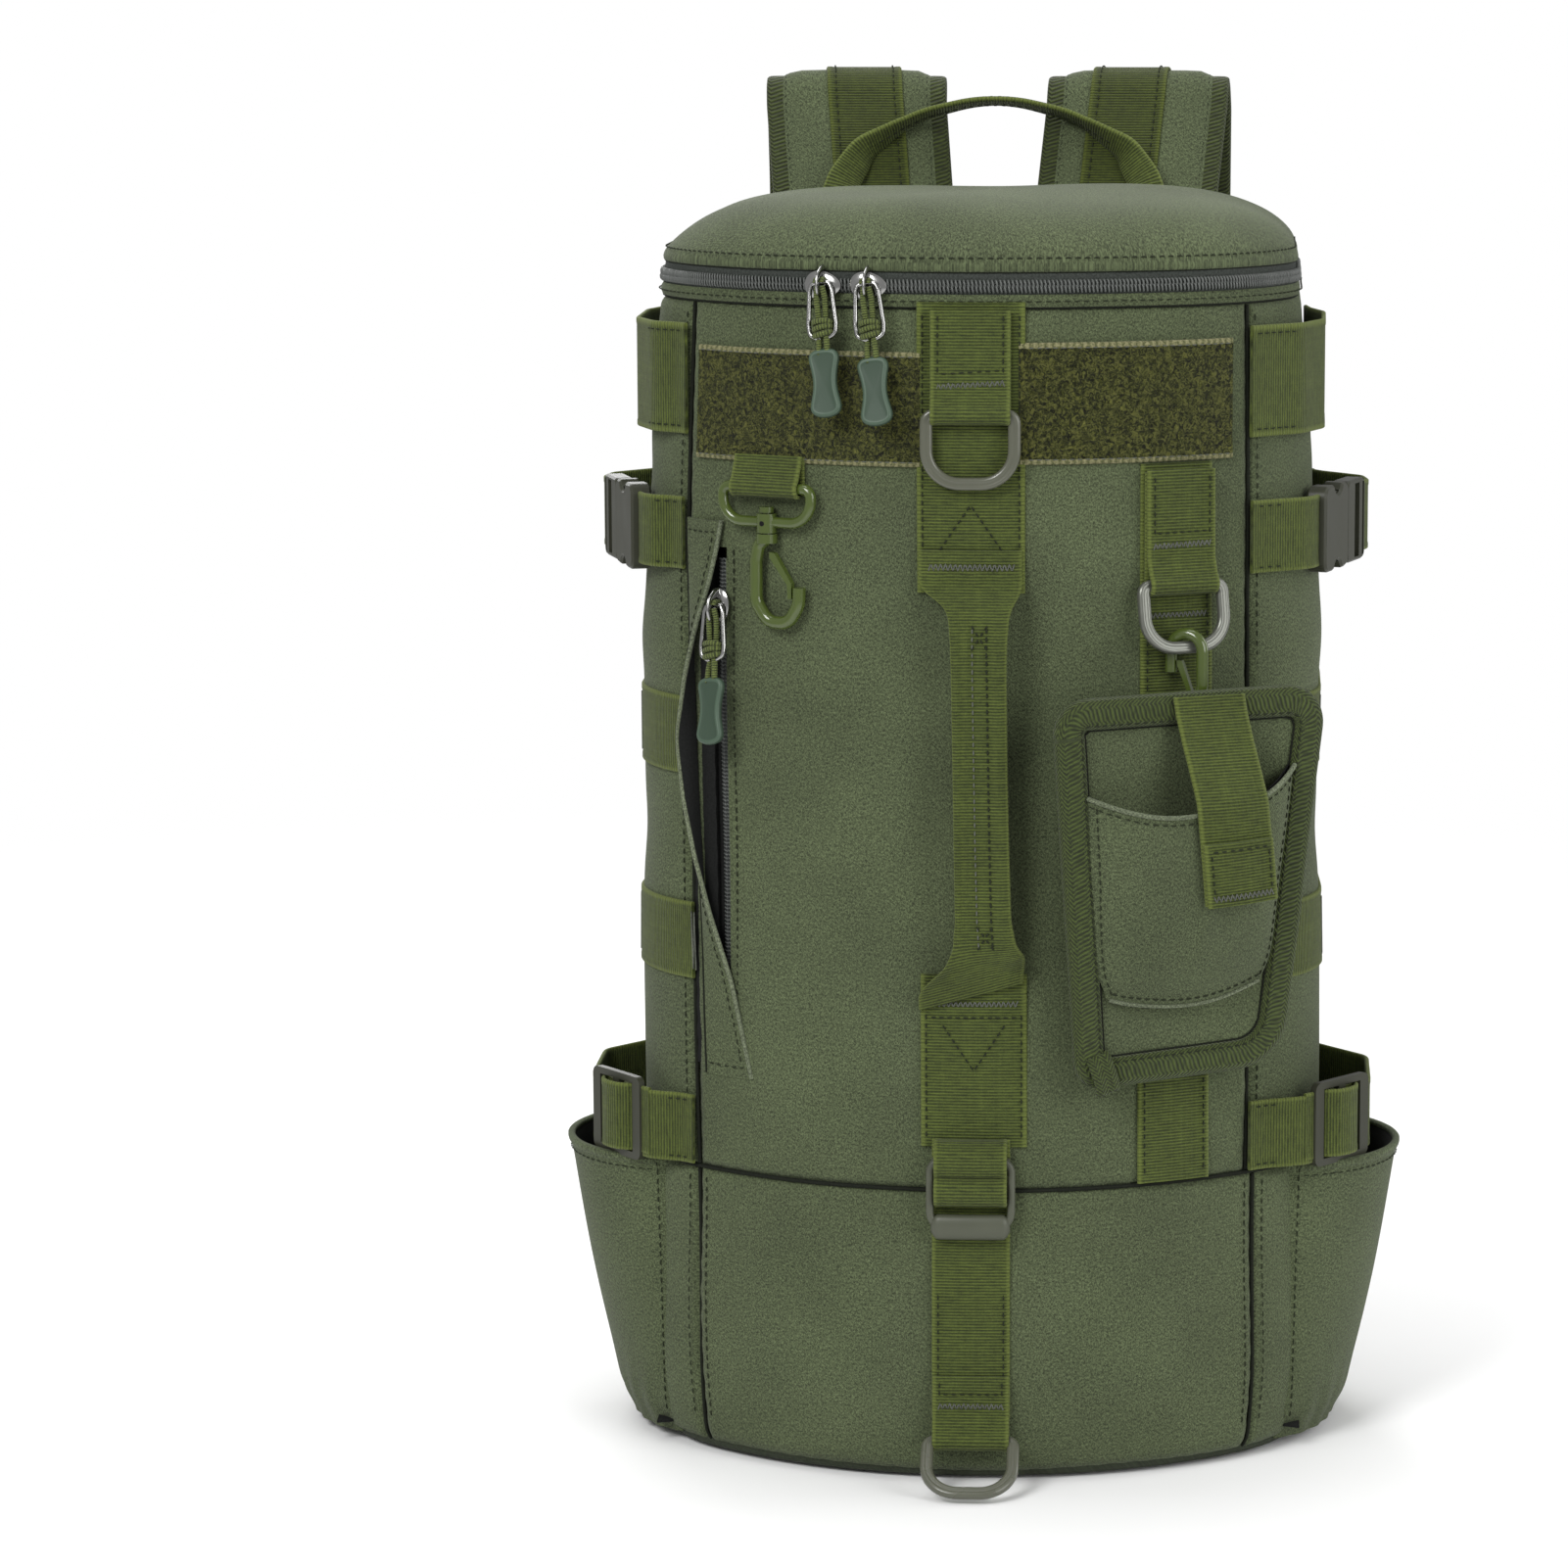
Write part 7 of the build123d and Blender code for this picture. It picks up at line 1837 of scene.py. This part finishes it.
def pouch_tab():
    """Closing tab: rides out over the pocket's mouth and hangs with a slight lean."""
    pts = [(5.9, -1.0), (6.8, -7.0), (11.0, -18.0), (20.8, -38.0), (21.6, -52.0), (21.8, -75.5)]
    C2 = rounded([(p[0], p[1], 0) for p in pts], [3, 8, 12, 10], 1.2)[:, :2]
    L = path_len(C2)
    T = tangents(C2)
    Nn = np.stack([-T[:, 1], T[:, 0]], -1)

    def F(v, x, y):
        h = np.interp(v, L, C2[:, 0]) + np.interp(v, L, Nn[:, 0]) * y - 0.010 * x * x * sstep(v, 20, 50) * 0.6
        yy = np.interp(v, L, C2[:, 1]) + np.interp(v, L, Nn[:, 1]) * y
        return pp(6.6 + x + (-(yy + 10.0)) * 0.125 + y * 0.0, yy + x * 0.075 * sstep(v, 30, 70), h)

    strip("pouch_tab_web", F, np.arange(0, L[-1], 1.2), 28.5, 1.5, "pouch_tab", "webbing", M["web"], ("pouch_tab",), m=11)
    strip("pouch_tab_turned", lambda v, x, y: F(v, x, y + 1.5), np.linspace(L[-1] - 23.5, L[-1] - 0.4, 18), 27.8, 1.5, "pouch_tab", "webbing", M["web"], m=11)
    for x in (-11.4, 11.4):
        q = np.linspace(L[-1] - 20, L[-1] - 5, 10)
        stitch("pouch_tab", F(q, np.full_like(q, x), np.full_like(q, 3.2)), PPz, pitch=2.9, r=0.3)
    x = np.linspace(-11.4, 11.4, 12)
    stitch("pouch_tab", F(np.full_like(x, L[-1] - 21.0), x, np.full_like(x, 3.2)), PPz, pitch=2.9, r=0.34)
    bartack("pouch_tab_grey", F, -11.8, 11.8, L[-1] - 3.6, h=2.2, out=3.3)


pouch_tab()


def hanger():
    """Short webbing that holds the pouch's eye, sewn behind its top edge."""
    swx = sk(26.6, 0, 0)
    ca_, sa_ = sk_t(26.6), sk_n(26.6)
    foot_z, foot_out = 335 - 23 * math.cos(math.radians(10)), 5.5 + 23 * math.sin(math.radians(10))
    foot = sk(26.6, foot_z, foot_out)
    turn = math.radians(50.0)
    h = ca_ * math.cos(turn) - sa_ * math.sin(turn)
    j0 = foot - UP * 1.2
    sw = j0 + h * 4.8
    bar = sw + UP * (-27.0 - 8.6)
    n_ = sa_
    pts = [(-1.9, -34.0), (-2.2, -20.0), (-2.6, -6.0), (-2.5, 0.0)]
    r = 2.6
    th = np.radians(np.linspace(180, 0, 14))
    P2 = [(-2.9, -28.0), (-2.7, -8.0)] + [(r * math.cos(w), r * math.sin(w)) for w in th] + [(2.4, -6.0), (1.6, -14.0)]
    C = np.array([bar + n_ * a_ * -1.0 * -1.0 + UP * b_ for a_, b_ in P2])
    C = resample(C, 1.0)
    F, Ln = path_F(C, ca_, 1.0)
    strip("pouch_hanger_web", F, np.arange(0, Ln, 1.0), 21.0, 1.3, "pouch", "webbing", M["web"], ("pouch_hanger",), m=9)


hanger()

# =================================================================================================
# back: yoke, pads, shoulder straps, adjusters' webbing
# =================================================================================================
def yoke():
    x = np.linspace(-99, 99, 90)
    z = np.linspace(390.5, 421.5, 18)
    X, Z = np.meshgrid(x, z, indexing="ij")
    e = np.minimum(np.minimum(X + 99, 99 - X), np.minimum(Z - 390.5, 421.5 - Z))
    Y = 88.4 - 1.2 * np.exp(-(e / 1.2) ** 2) + 0.2 * np.sin(X / 9)
    P = np.stack([X, Y, Z], -1)[::-1]
    thick("yoke_web", P, np.stack([Z, X], -1), 1.8, "bag", "webbing", M["web"], ("yoke_strip",))
    for zc in (393.5, 418.5):
        q = np.linspace(-95, 95, 100)
        stitch("bag", np.stack([q, np.full_like(q, 88.5), np.full_like(q, zc)], -1), (0, 1, 0))


yoke()


def back_pad(sg):
    x0, x1, z0, z1 = 56.0 - 44, 56.0 + 44, 132.0, 384.0
    n, m = 60, 130
    u, w = np.meshgrid(np.linspace(-1, 1, n), np.linspace(-1, 1, m), indexing="ij")
    X = 56.0 + 44.0 * u
    Z = 258.0 + 126.0 * w
    # rounded corners by pulling the edge in
    ex = 44.0 - np.abs(X - 56)
    ez = 126.0 - np.abs(Z - 258)
    e = np.minimum(ex, ez)
    corner = np.maximum(0, 14 - ex) ** 2 + np.maximum(0, 14 - ez) ** 2
    inside = 14 - np.sqrt(corner)
    prof_ = np.clip(np.where((ex < 14) & (ez < 14), inside, e), 0, 40)
    H = 9.6 * (1 - np.exp(-prof_ / 3.2))
    for c_ in (-63.0, 0.0, 63.0):
        H -= 3.4 * np.exp(-((Z - 258 - c_) / 2.6) ** 2) * (prof_ > 3)
    H += 0.3 * np.sin(X / 7) * np.sin(Z / 9)
    k = np.where((ex < 14) & (ez < 14) & (inside < 0), 0.0, 1.0)
    Y = 86.3 + np.maximum(H, 0) * k
    P = np.stack([X * sg, Y, Z], -1)
    if sg > 0:
        P = P[::-1]
        u = u[::-1]
    o = thick(("right" if sg > 0 else "left") + "_back_pad", P, np.stack([X, Z], -1), 0.8, "bag", "pad_mesh", M["mesh"],
              ("back_pads",) if sg > 0 else ())


back_pad(1)
back_pad(-1)

STRAP_PATH = [(93.2, 396.0), (101.0, 426.0), (144.0, 510.5), (160.0, 510.5), (170.0, 470.0), (170.0, 395.0), (156.0, 300.0), (132.0, 215.0), (113.0, 168.0)]
STRAP_RAD = [30.0, 9.5, 9.5, 60.0, 120.0, 120.0, 120.0]


def shoulder(sg):
    nm = "right" if sg > 0 else "left"
    C2 = rounded([(0, y, z) for y, z in STRAP_PATH], STRAP_RAD, 2.0)
    L = path_len(C2)
    T = tangents(C2)
    N = np.stack([0 * T[:, 0], T[:, 2], -T[:, 1]], -1)      # away from the bag on the outer face
    w = np.interp(L / L[-1], [0, 0.12, 0.3, 0.6, 0.86, 0.97, 1.0], [70, 71, 72, 70, 62, 44, 34])
    xc = sg * (57.0 + 0.0 * L)
    front_run = L < 150
    xc = sg * np.interp(L, [0, 50, 115, 150, 260, L[-1]], [47.5, 50.0, 56.0, 57.5, 58.0, 57.0])
    m = 31
    th = np.linspace(0, TAU, m, endpoint=False)
    cx_ = np.sign(np.cos(th)) * np.abs(np.cos(th)) ** 0.35
    cy_ = np.sign(np.sin(th)) * np.abs(np.sin(th)) ** 0.8
    # thin bound edge, fuller middle
    thick_ = np.interp(np.abs(cx_), [0, 0.70, 0.80, 0.86, 1.0], [5.0, 4.7, 3.2, 2.1, 1.9])
    P = np.zeros((len(C2), m, 3))
    for j in range(m):
        x = xc + cx_[j] * w / 2 + 0 * L
        P[:, j] = C2 + N * (cy_[j] * thick_[j])
        P[:, j, 0] = x
    n = len(C2)
    uv = np.stack(np.broadcast_arrays(cx_[None, :] * w[:, None] / 2, L[:, None]), -1)
    verts = np.concatenate([P.reshape(-1, 3), P[0].mean(0)[None], P[-1].mean(0)[None]])
    faces = grid_faces(n, m, cv=True)
    for j in range(m):
        j2 = (j + 1) % m
        faces.append([j2, j, n * m])
        faces.append([(n - 1) * m + j, (n - 1) * m + j2, n * m + 1])
    o = emit(nm + "_strap_pad", verts, faces, np.concatenate([uv.reshape(-1, 2), [[0, 0], [0, L[-1]]]]), "bag", "pad_fabric", M["shell"],
             (nm + "_shoulder_strap",), smooth="all")
    at = lambda A, v: np.interp(v, L, A)

    def F(v, x, y):
        k = np.sign(y) * 0
        base = np.stack([at(xc, v) + x, at(C2[:, 1], v), at(C2[:, 2], v)], -1)
        nn_ = np.stack([0 * v, at(N[:, 1], v), at(N[:, 2], v)], -1)
        return base + nn_ * y[..., None]

    # webbing down the middle, on both faces
    off_ = lambda v: -sg * 4.0 * (1 - sstep(v, 110, 170))
    strip(nm + "_strap_web_out", lambda v, x, y: F(v, x, 4.7 + y), np.arange(6, L[-1] - 4, 2.0), 29.0, 1.4, "bag", "webbing", M["web_strap"], m=9)
    strip(nm + "_strap_web_in", lambda v, x, y: F(v, x + off_(v), -4.6 - y), np.arange(6, 200, 2.0), 30.0, 1.4, "bag", "webbing", M["web_strap"], m=9)
    # bound edges
    for e in (-1, 1):
        sel = np.arange(4, len(C2) - 6)
        C = C2[sel].copy()
        C[:, 0] = xc[sel] + e * (w[sel] / 2 - 4.6)
        sh = [(math.copysign(abs(math.cos(a_)) ** 0.5, math.cos(a_)) * 2.45, math.copysign(abs(math.sin(a_)) ** 0.5, math.sin(a_)) * 4.9) for a_ in np.linspace(0, TAU, 16, endpoint=False)]
        V = []
        for i_, p in enumerate(C):
            nn_ = N[sel][i_]
            V.append([p + nn_ * a_ + np.array([b_, 0, 0]) for a_, b_ in sh])
        V = np.array(V)
        k_ = V.shape[0]
        uv2 = np.stack(np.broadcast_arrays(np.arange(16)[None, :] * 0.8, L[sel][:, None]), -1)
        emit(nm + ("_strap_edge_a" if e < 0 else "_strap_edge_b"), np.concatenate([V.reshape(-1, 3), V[0].mean(0)[None], V[-1].mean(0)[None]]),
             grid_faces(k_, 16, cv=True) + [[(j + 1) % 16, j, k_ * 16] for j in range(16)] + [[(k_ - 1) * 16 + j, (k_ - 1) * 16 + (j + 1) % 16, k_ * 16 + 1] for j in range(16)],
             np.concatenate([uv2.reshape(-1, 2), [[0, 0], [0, 1]]]), "bag", "webbing", M["bind_strap"], smooth="all")
        for face, yv in ((-1, -2.55), (1, 2.55)):
            q = np.arange(8, L[-1] - 14, 2.0)
            xo = e * (np.interp(q, L, w) / 2 - 7.6)
            stitch("bag", F(q, xo, np.full_like(q, face * 2.5)), np.stack([0 * q, at(N[:, 1], q) * face, at(N[:, 2], q) * face], -1), pitch=3.4)
    for x in (-11.5, 11.5):
        q = np.arange(10, 195, 2.0)
        stitch("bag", F(q, off_(q) + x, np.full_like(q, -6.15)), np.stack([0 * q, -at(N[:, 1], q), -at(N[:, 2], q)], -1), pitch=3.4)


shoulder(1)
shoulder(-1)


def lower_web(sg):
    C = rounded([(sg * 57, 108, 158), (sg * 57, 103.0, 143.0), (sg * 57, 96.0, 105.0), (sg * 57, 87.6, 62.0), (sg * 57, 87.2, 24.0)], 30, 2.0)
    F, Ln = path_F(C, (1, 0, 0), 1.0)
    strip(("right" if sg > 0 else "left") + "_lower_web", F, np.arange(0, Ln, 1.6), 25.0, 1.5, "bag", "webbing", M["web"],
          ("lower_webbing",) if sg > 0 else (), m=9)


lower_web(1)
lower_web(-1)


# carry handle: rolled webbing grip on two flat legs
def carry():
    lean = math.radians(27.6)
    ex = np.array([1.0, 0, 0])
    ez = np.array([0, -math.cos(lean), math.sin(lean)])
    ey = np.cross(ez, ex)
    o = np.array([0, 90.0, 427.0])
    pl = lambda x, y, h=0.0: o + ex * x + ey * y + ez * h
    pts = [(-60, 0), (-60.6, 26), (-60.2, 50), (-52, 65), (-31, 79.5), (0, 88.0), (31, 79.5), (52, 65), (60.2, 50), (60.6, 26), (60, 0)]
    C = rounded([pl(*p, 1.0) for p in pts], [60, 16, 14, 50, 90, 50, 14, 16, 60], 1.4)
    L = path_len(C)
    T = tangents(C)
    f = np.abs(2 * L / L[-1] - 1)           # 0 at the crown, 1 at the feet
    # flat at the feet facing forward; folded narrow and turned edge-on along the top
    phi = np.radians(np.interp(f, [0, 0.30, 0.42, 0.52, 0.70, 1.0], [4, 12, 34, 62, 84, 90]))
    wd = np.interp(f, [0, 0.35, 0.45, 0.60, 0.75, 1.0], [6.6, 6.4, 6.0, 7.0, 10.5, 12.0])
    th_ = np.interp(f, [0, 0.35, 0.45, 0.60, 0.80, 1.0], [1.35, 1.45, 1.8, 1.5, 1.0, 0.85])
    B = np.cross(ez, T)
    B /= np.linalg.norm(B, axis=1, keepdims=True)
    sgn = np.where(L < L[-1] / 2, 1.0, -1.0)
    blend_ = np.tanh((L - L[-1] / 2) / 8.0)
    lv = np.broadcast_to(np.array([0, -0.992, 0.125]), C.shape)
    lv = lv - T * (lv * T).sum(1, keepdims=True)
    lv /= np.linalg.norm(lv, axis=1, keepdims=True)
    W1 = B * np.sin(phi)[:, None] * np.where(L < L[-1] / 2, 1.0, 1.0)[:, None] + lv * np.cos(phi)[:, None]
    W1 /= np.linalg.norm(W1, axis=1, keepdims=True)
    W2 = np.cross(T, W1)
    m = 20
    a = np.linspace(0, TAU, m, endpoint=False)
    cx_ = np.sign(np.cos(a)) * np.abs(np.cos(a)) ** 0.6
    cy_ = np.sign(np.sin(a)) * np.abs(np.sin(a)) ** 0.8
    V = C[:, None] + W1[:, None] * (cx_[None, :, None] * wd[:, None, None]) + W2[:, None] * (cy_[None, :, None] * th_[:, None, None])
    uv = np.stack(np.broadcast_arrays(cx_[None, :] * wd[:, None], L[:, None]), -1)
    n = len(C)
    verts = np.concatenate([V.reshape(-1, 3), V[0].mean(0)[None], V[-1].mean(0)[None]])
    faces = grid_faces(n, m, cv=True) + [[(j + 1) % m, j, n * m] for j in range(m)] + [[(n - 1) * m + j, (n - 1) * m + (j + 1) % m, n * m + 1] for j in range(m)]
    ed = np.concatenate([np.broadcast_to(np.abs(cx_)[None, :], V.shape[:2]).ravel(), [0, 0]])
    emit("carry_handle_web", verts, faces, np.concatenate([uv.reshape(-1, 2), [[0, 0], [0, 1]]]), "carry_handle", "webbing", M["web"], ("carry_handle",), smooth="all", edge=ed)
    k = (f < 0.42)
    stitch("carry", C[k] + W2[k] * 1.45, W2[k], pitch=3.2)
    stitch("carry", C[k] - W2[k] * 1.45, -W2[k], pitch=3.2)


carry()

flush_threads(
    {"bag": "webbing", "bag_grey": "webbing", "lid": "shell", "pouch": "shell", "pouch_tab": "webbing", "pouch_tab_grey": "webbing", "carry": "webbing"},
    {"bag": M["thread"], "bag_grey": M["thread_grey"], "lid": M["thread"], "pouch": M["thread"], "pouch_tab": M["thread"], "pouch_tab_grey": M["thread_grey"], "carry": M["thread"]},
    {"bag": "bag", "bag_grey": "bag", "lid": "lid", "pouch": "pouch", "pouch_tab": "pouch_tab", "pouch_tab_grey": "pouch_tab", "carry": "carry_handle"})

# =================================================================================================
# camera, floor, light
# =================================================================================================
scene = bpy.context.scene
cam_data = bpy.data.cameras.new("camera")
cam = bpy.data.objects.new("camera", cam_data)
scene.collection.objects.link(cam)
az, el, dist = math.radians(2.5), math.radians(9.0), 2.0
back = Vector((math.sin(az) * math.cos(el), -math.cos(az) * math.cos(el), math.sin(el)))
cam.location = Vector((0, 0, 0.249)) + back * dist
cam.rotation_mode = "QUATERNION"
cam.rotation_quaternion = (-back).to_track_quat("-Z", "Y")
cam_data.sensor_width = 36.0
cam_data.lens = 5360.0 / 1601.0 * 36.0
cam_data.shift_x = -0.126
cam_data.dof.use_dof = False
scene.camera = cam

me = bpy.data.meshes.new("floor")
ang = np.linspace(0, TAU, 64, endpoint=False)
verts = [(2.6 * math.cos(a_), 2.6 * math.sin(a_), -0.0006) for a_ in ang]
me.from_pydata(verts, [], [list(range(64))])
floor = bpy.data.objects.new("floor", me)
scene.collection.objects.link(floor)
g = Nodes("studio_floor")
me.materials.append(g.finish((0.86, 0.86, 0.86), 0.9, 0.0, 0.1))
# the floor fades into the pale surroundings away from the object
nt = me.materials[0].node_tree
out_ = next(n_ for n_ in nt.nodes if n_.type == "OUTPUT_MATERIAL")
geo = nt.nodes.new("ShaderNodeNewGeometry")
ln = nt.nodes.new("ShaderNodeVectorMath")
ln.operation = "LENGTH"
mr = nt.nodes.new("ShaderNodeMapRange")
mr.interpolation_type = "SMOOTHSTEP"
mr.inputs["From Min"].default_value, mr.inputs["From Max"].default_value = 0.45, 1.5
mixs, tr = nt.nodes.new("ShaderNodeMixShader"), nt.nodes.new("ShaderNodeBsdfTransparent")
src = out_.inputs["Surface"].links[0].from_socket
nt.links.new(geo.outputs["Position"], ln.inputs[0])
nt.links.new(ln.outputs["Value"], mr.inputs["Value"])
nt.links.new(mr.outputs["Result"], mixs.inputs["Fac"])
nt.links.new(src, mixs.inputs[1])
nt.links.new(tr.outputs[0], mixs.inputs[2])
nt.links.new(mixs.outputs[0], out_.inputs["Surface"])

world = bpy.data.worlds.new("studio")
scene.world = world
world.use_nodes = True
wt = world.node_tree
wb = wt.nodes["Background"]
wb.inputs["Color"].default_value = (1.0, 1.0, 1.0, 1.0)
wb.inputs["Strength"].default_value = 0.50
wb2, wl, wm = wt.nodes.new("ShaderNodeBackground"), wt.nodes.new("ShaderNodeLightPath"), wt.nodes.new("ShaderNodeMixShader")
wb2.inputs["Color"].default_value = (1.0, 1.0, 1.0, 1.0)
wb2.inputs["Strength"].default_value = 1.0
wo = next(n_ for n_ in wt.nodes if n_.type == "OUTPUT_WORLD")
wt.links.new(wl.outputs["Is Camera Ray"], wm.inputs["Fac"])
wt.links.new(wb.outputs[0], wm.inputs[1])
wt.links.new(wb2.outputs[0], wm.inputs[2])
wt.links.new(wm.outputs[0], wo.inputs["Surface"])


def area(name, loc, target, size, power, color=(1, 1, 1)):
    d = bpy.data.lights.new(name, "AREA")
    d.shape = "RECTANGLE"
    d.size, d.size_y = size
    d.energy = power
    d.color = color
    o = bpy.data.objects.new(name, d)
    scene.collection.objects.link(o)
    o.location = loc
    o.rotation_mode = "QUATERNION"
    o.rotation_quaternion = (Vector(target) - Vector(loc)).to_track_quat("-Z", "Y")
    return o


area("key", (-0.85, -1.50, 1.45), (0, 0, 0.36), (0.8, 0.8), 29.5)
area("fill", (1.5, -1.3, 0.8), (0, 0, 0.25), (1.1, 1.3), 19.0)
area("top", (-0.1, 0.2, 1.7), (0, 0, 0.3), (0.9, 0.9), 11.0)
area("rim_right", (1.5, 0.5, 0.8), (0, 0, 0.3), (0.6, 1.2), 7.0)
area("behind", (-0.6, 1.6, 1.0), (0, 0, 0.3), (1.0, 1.0), 14.0)
scene.view_settings.view_transform = "Standard"
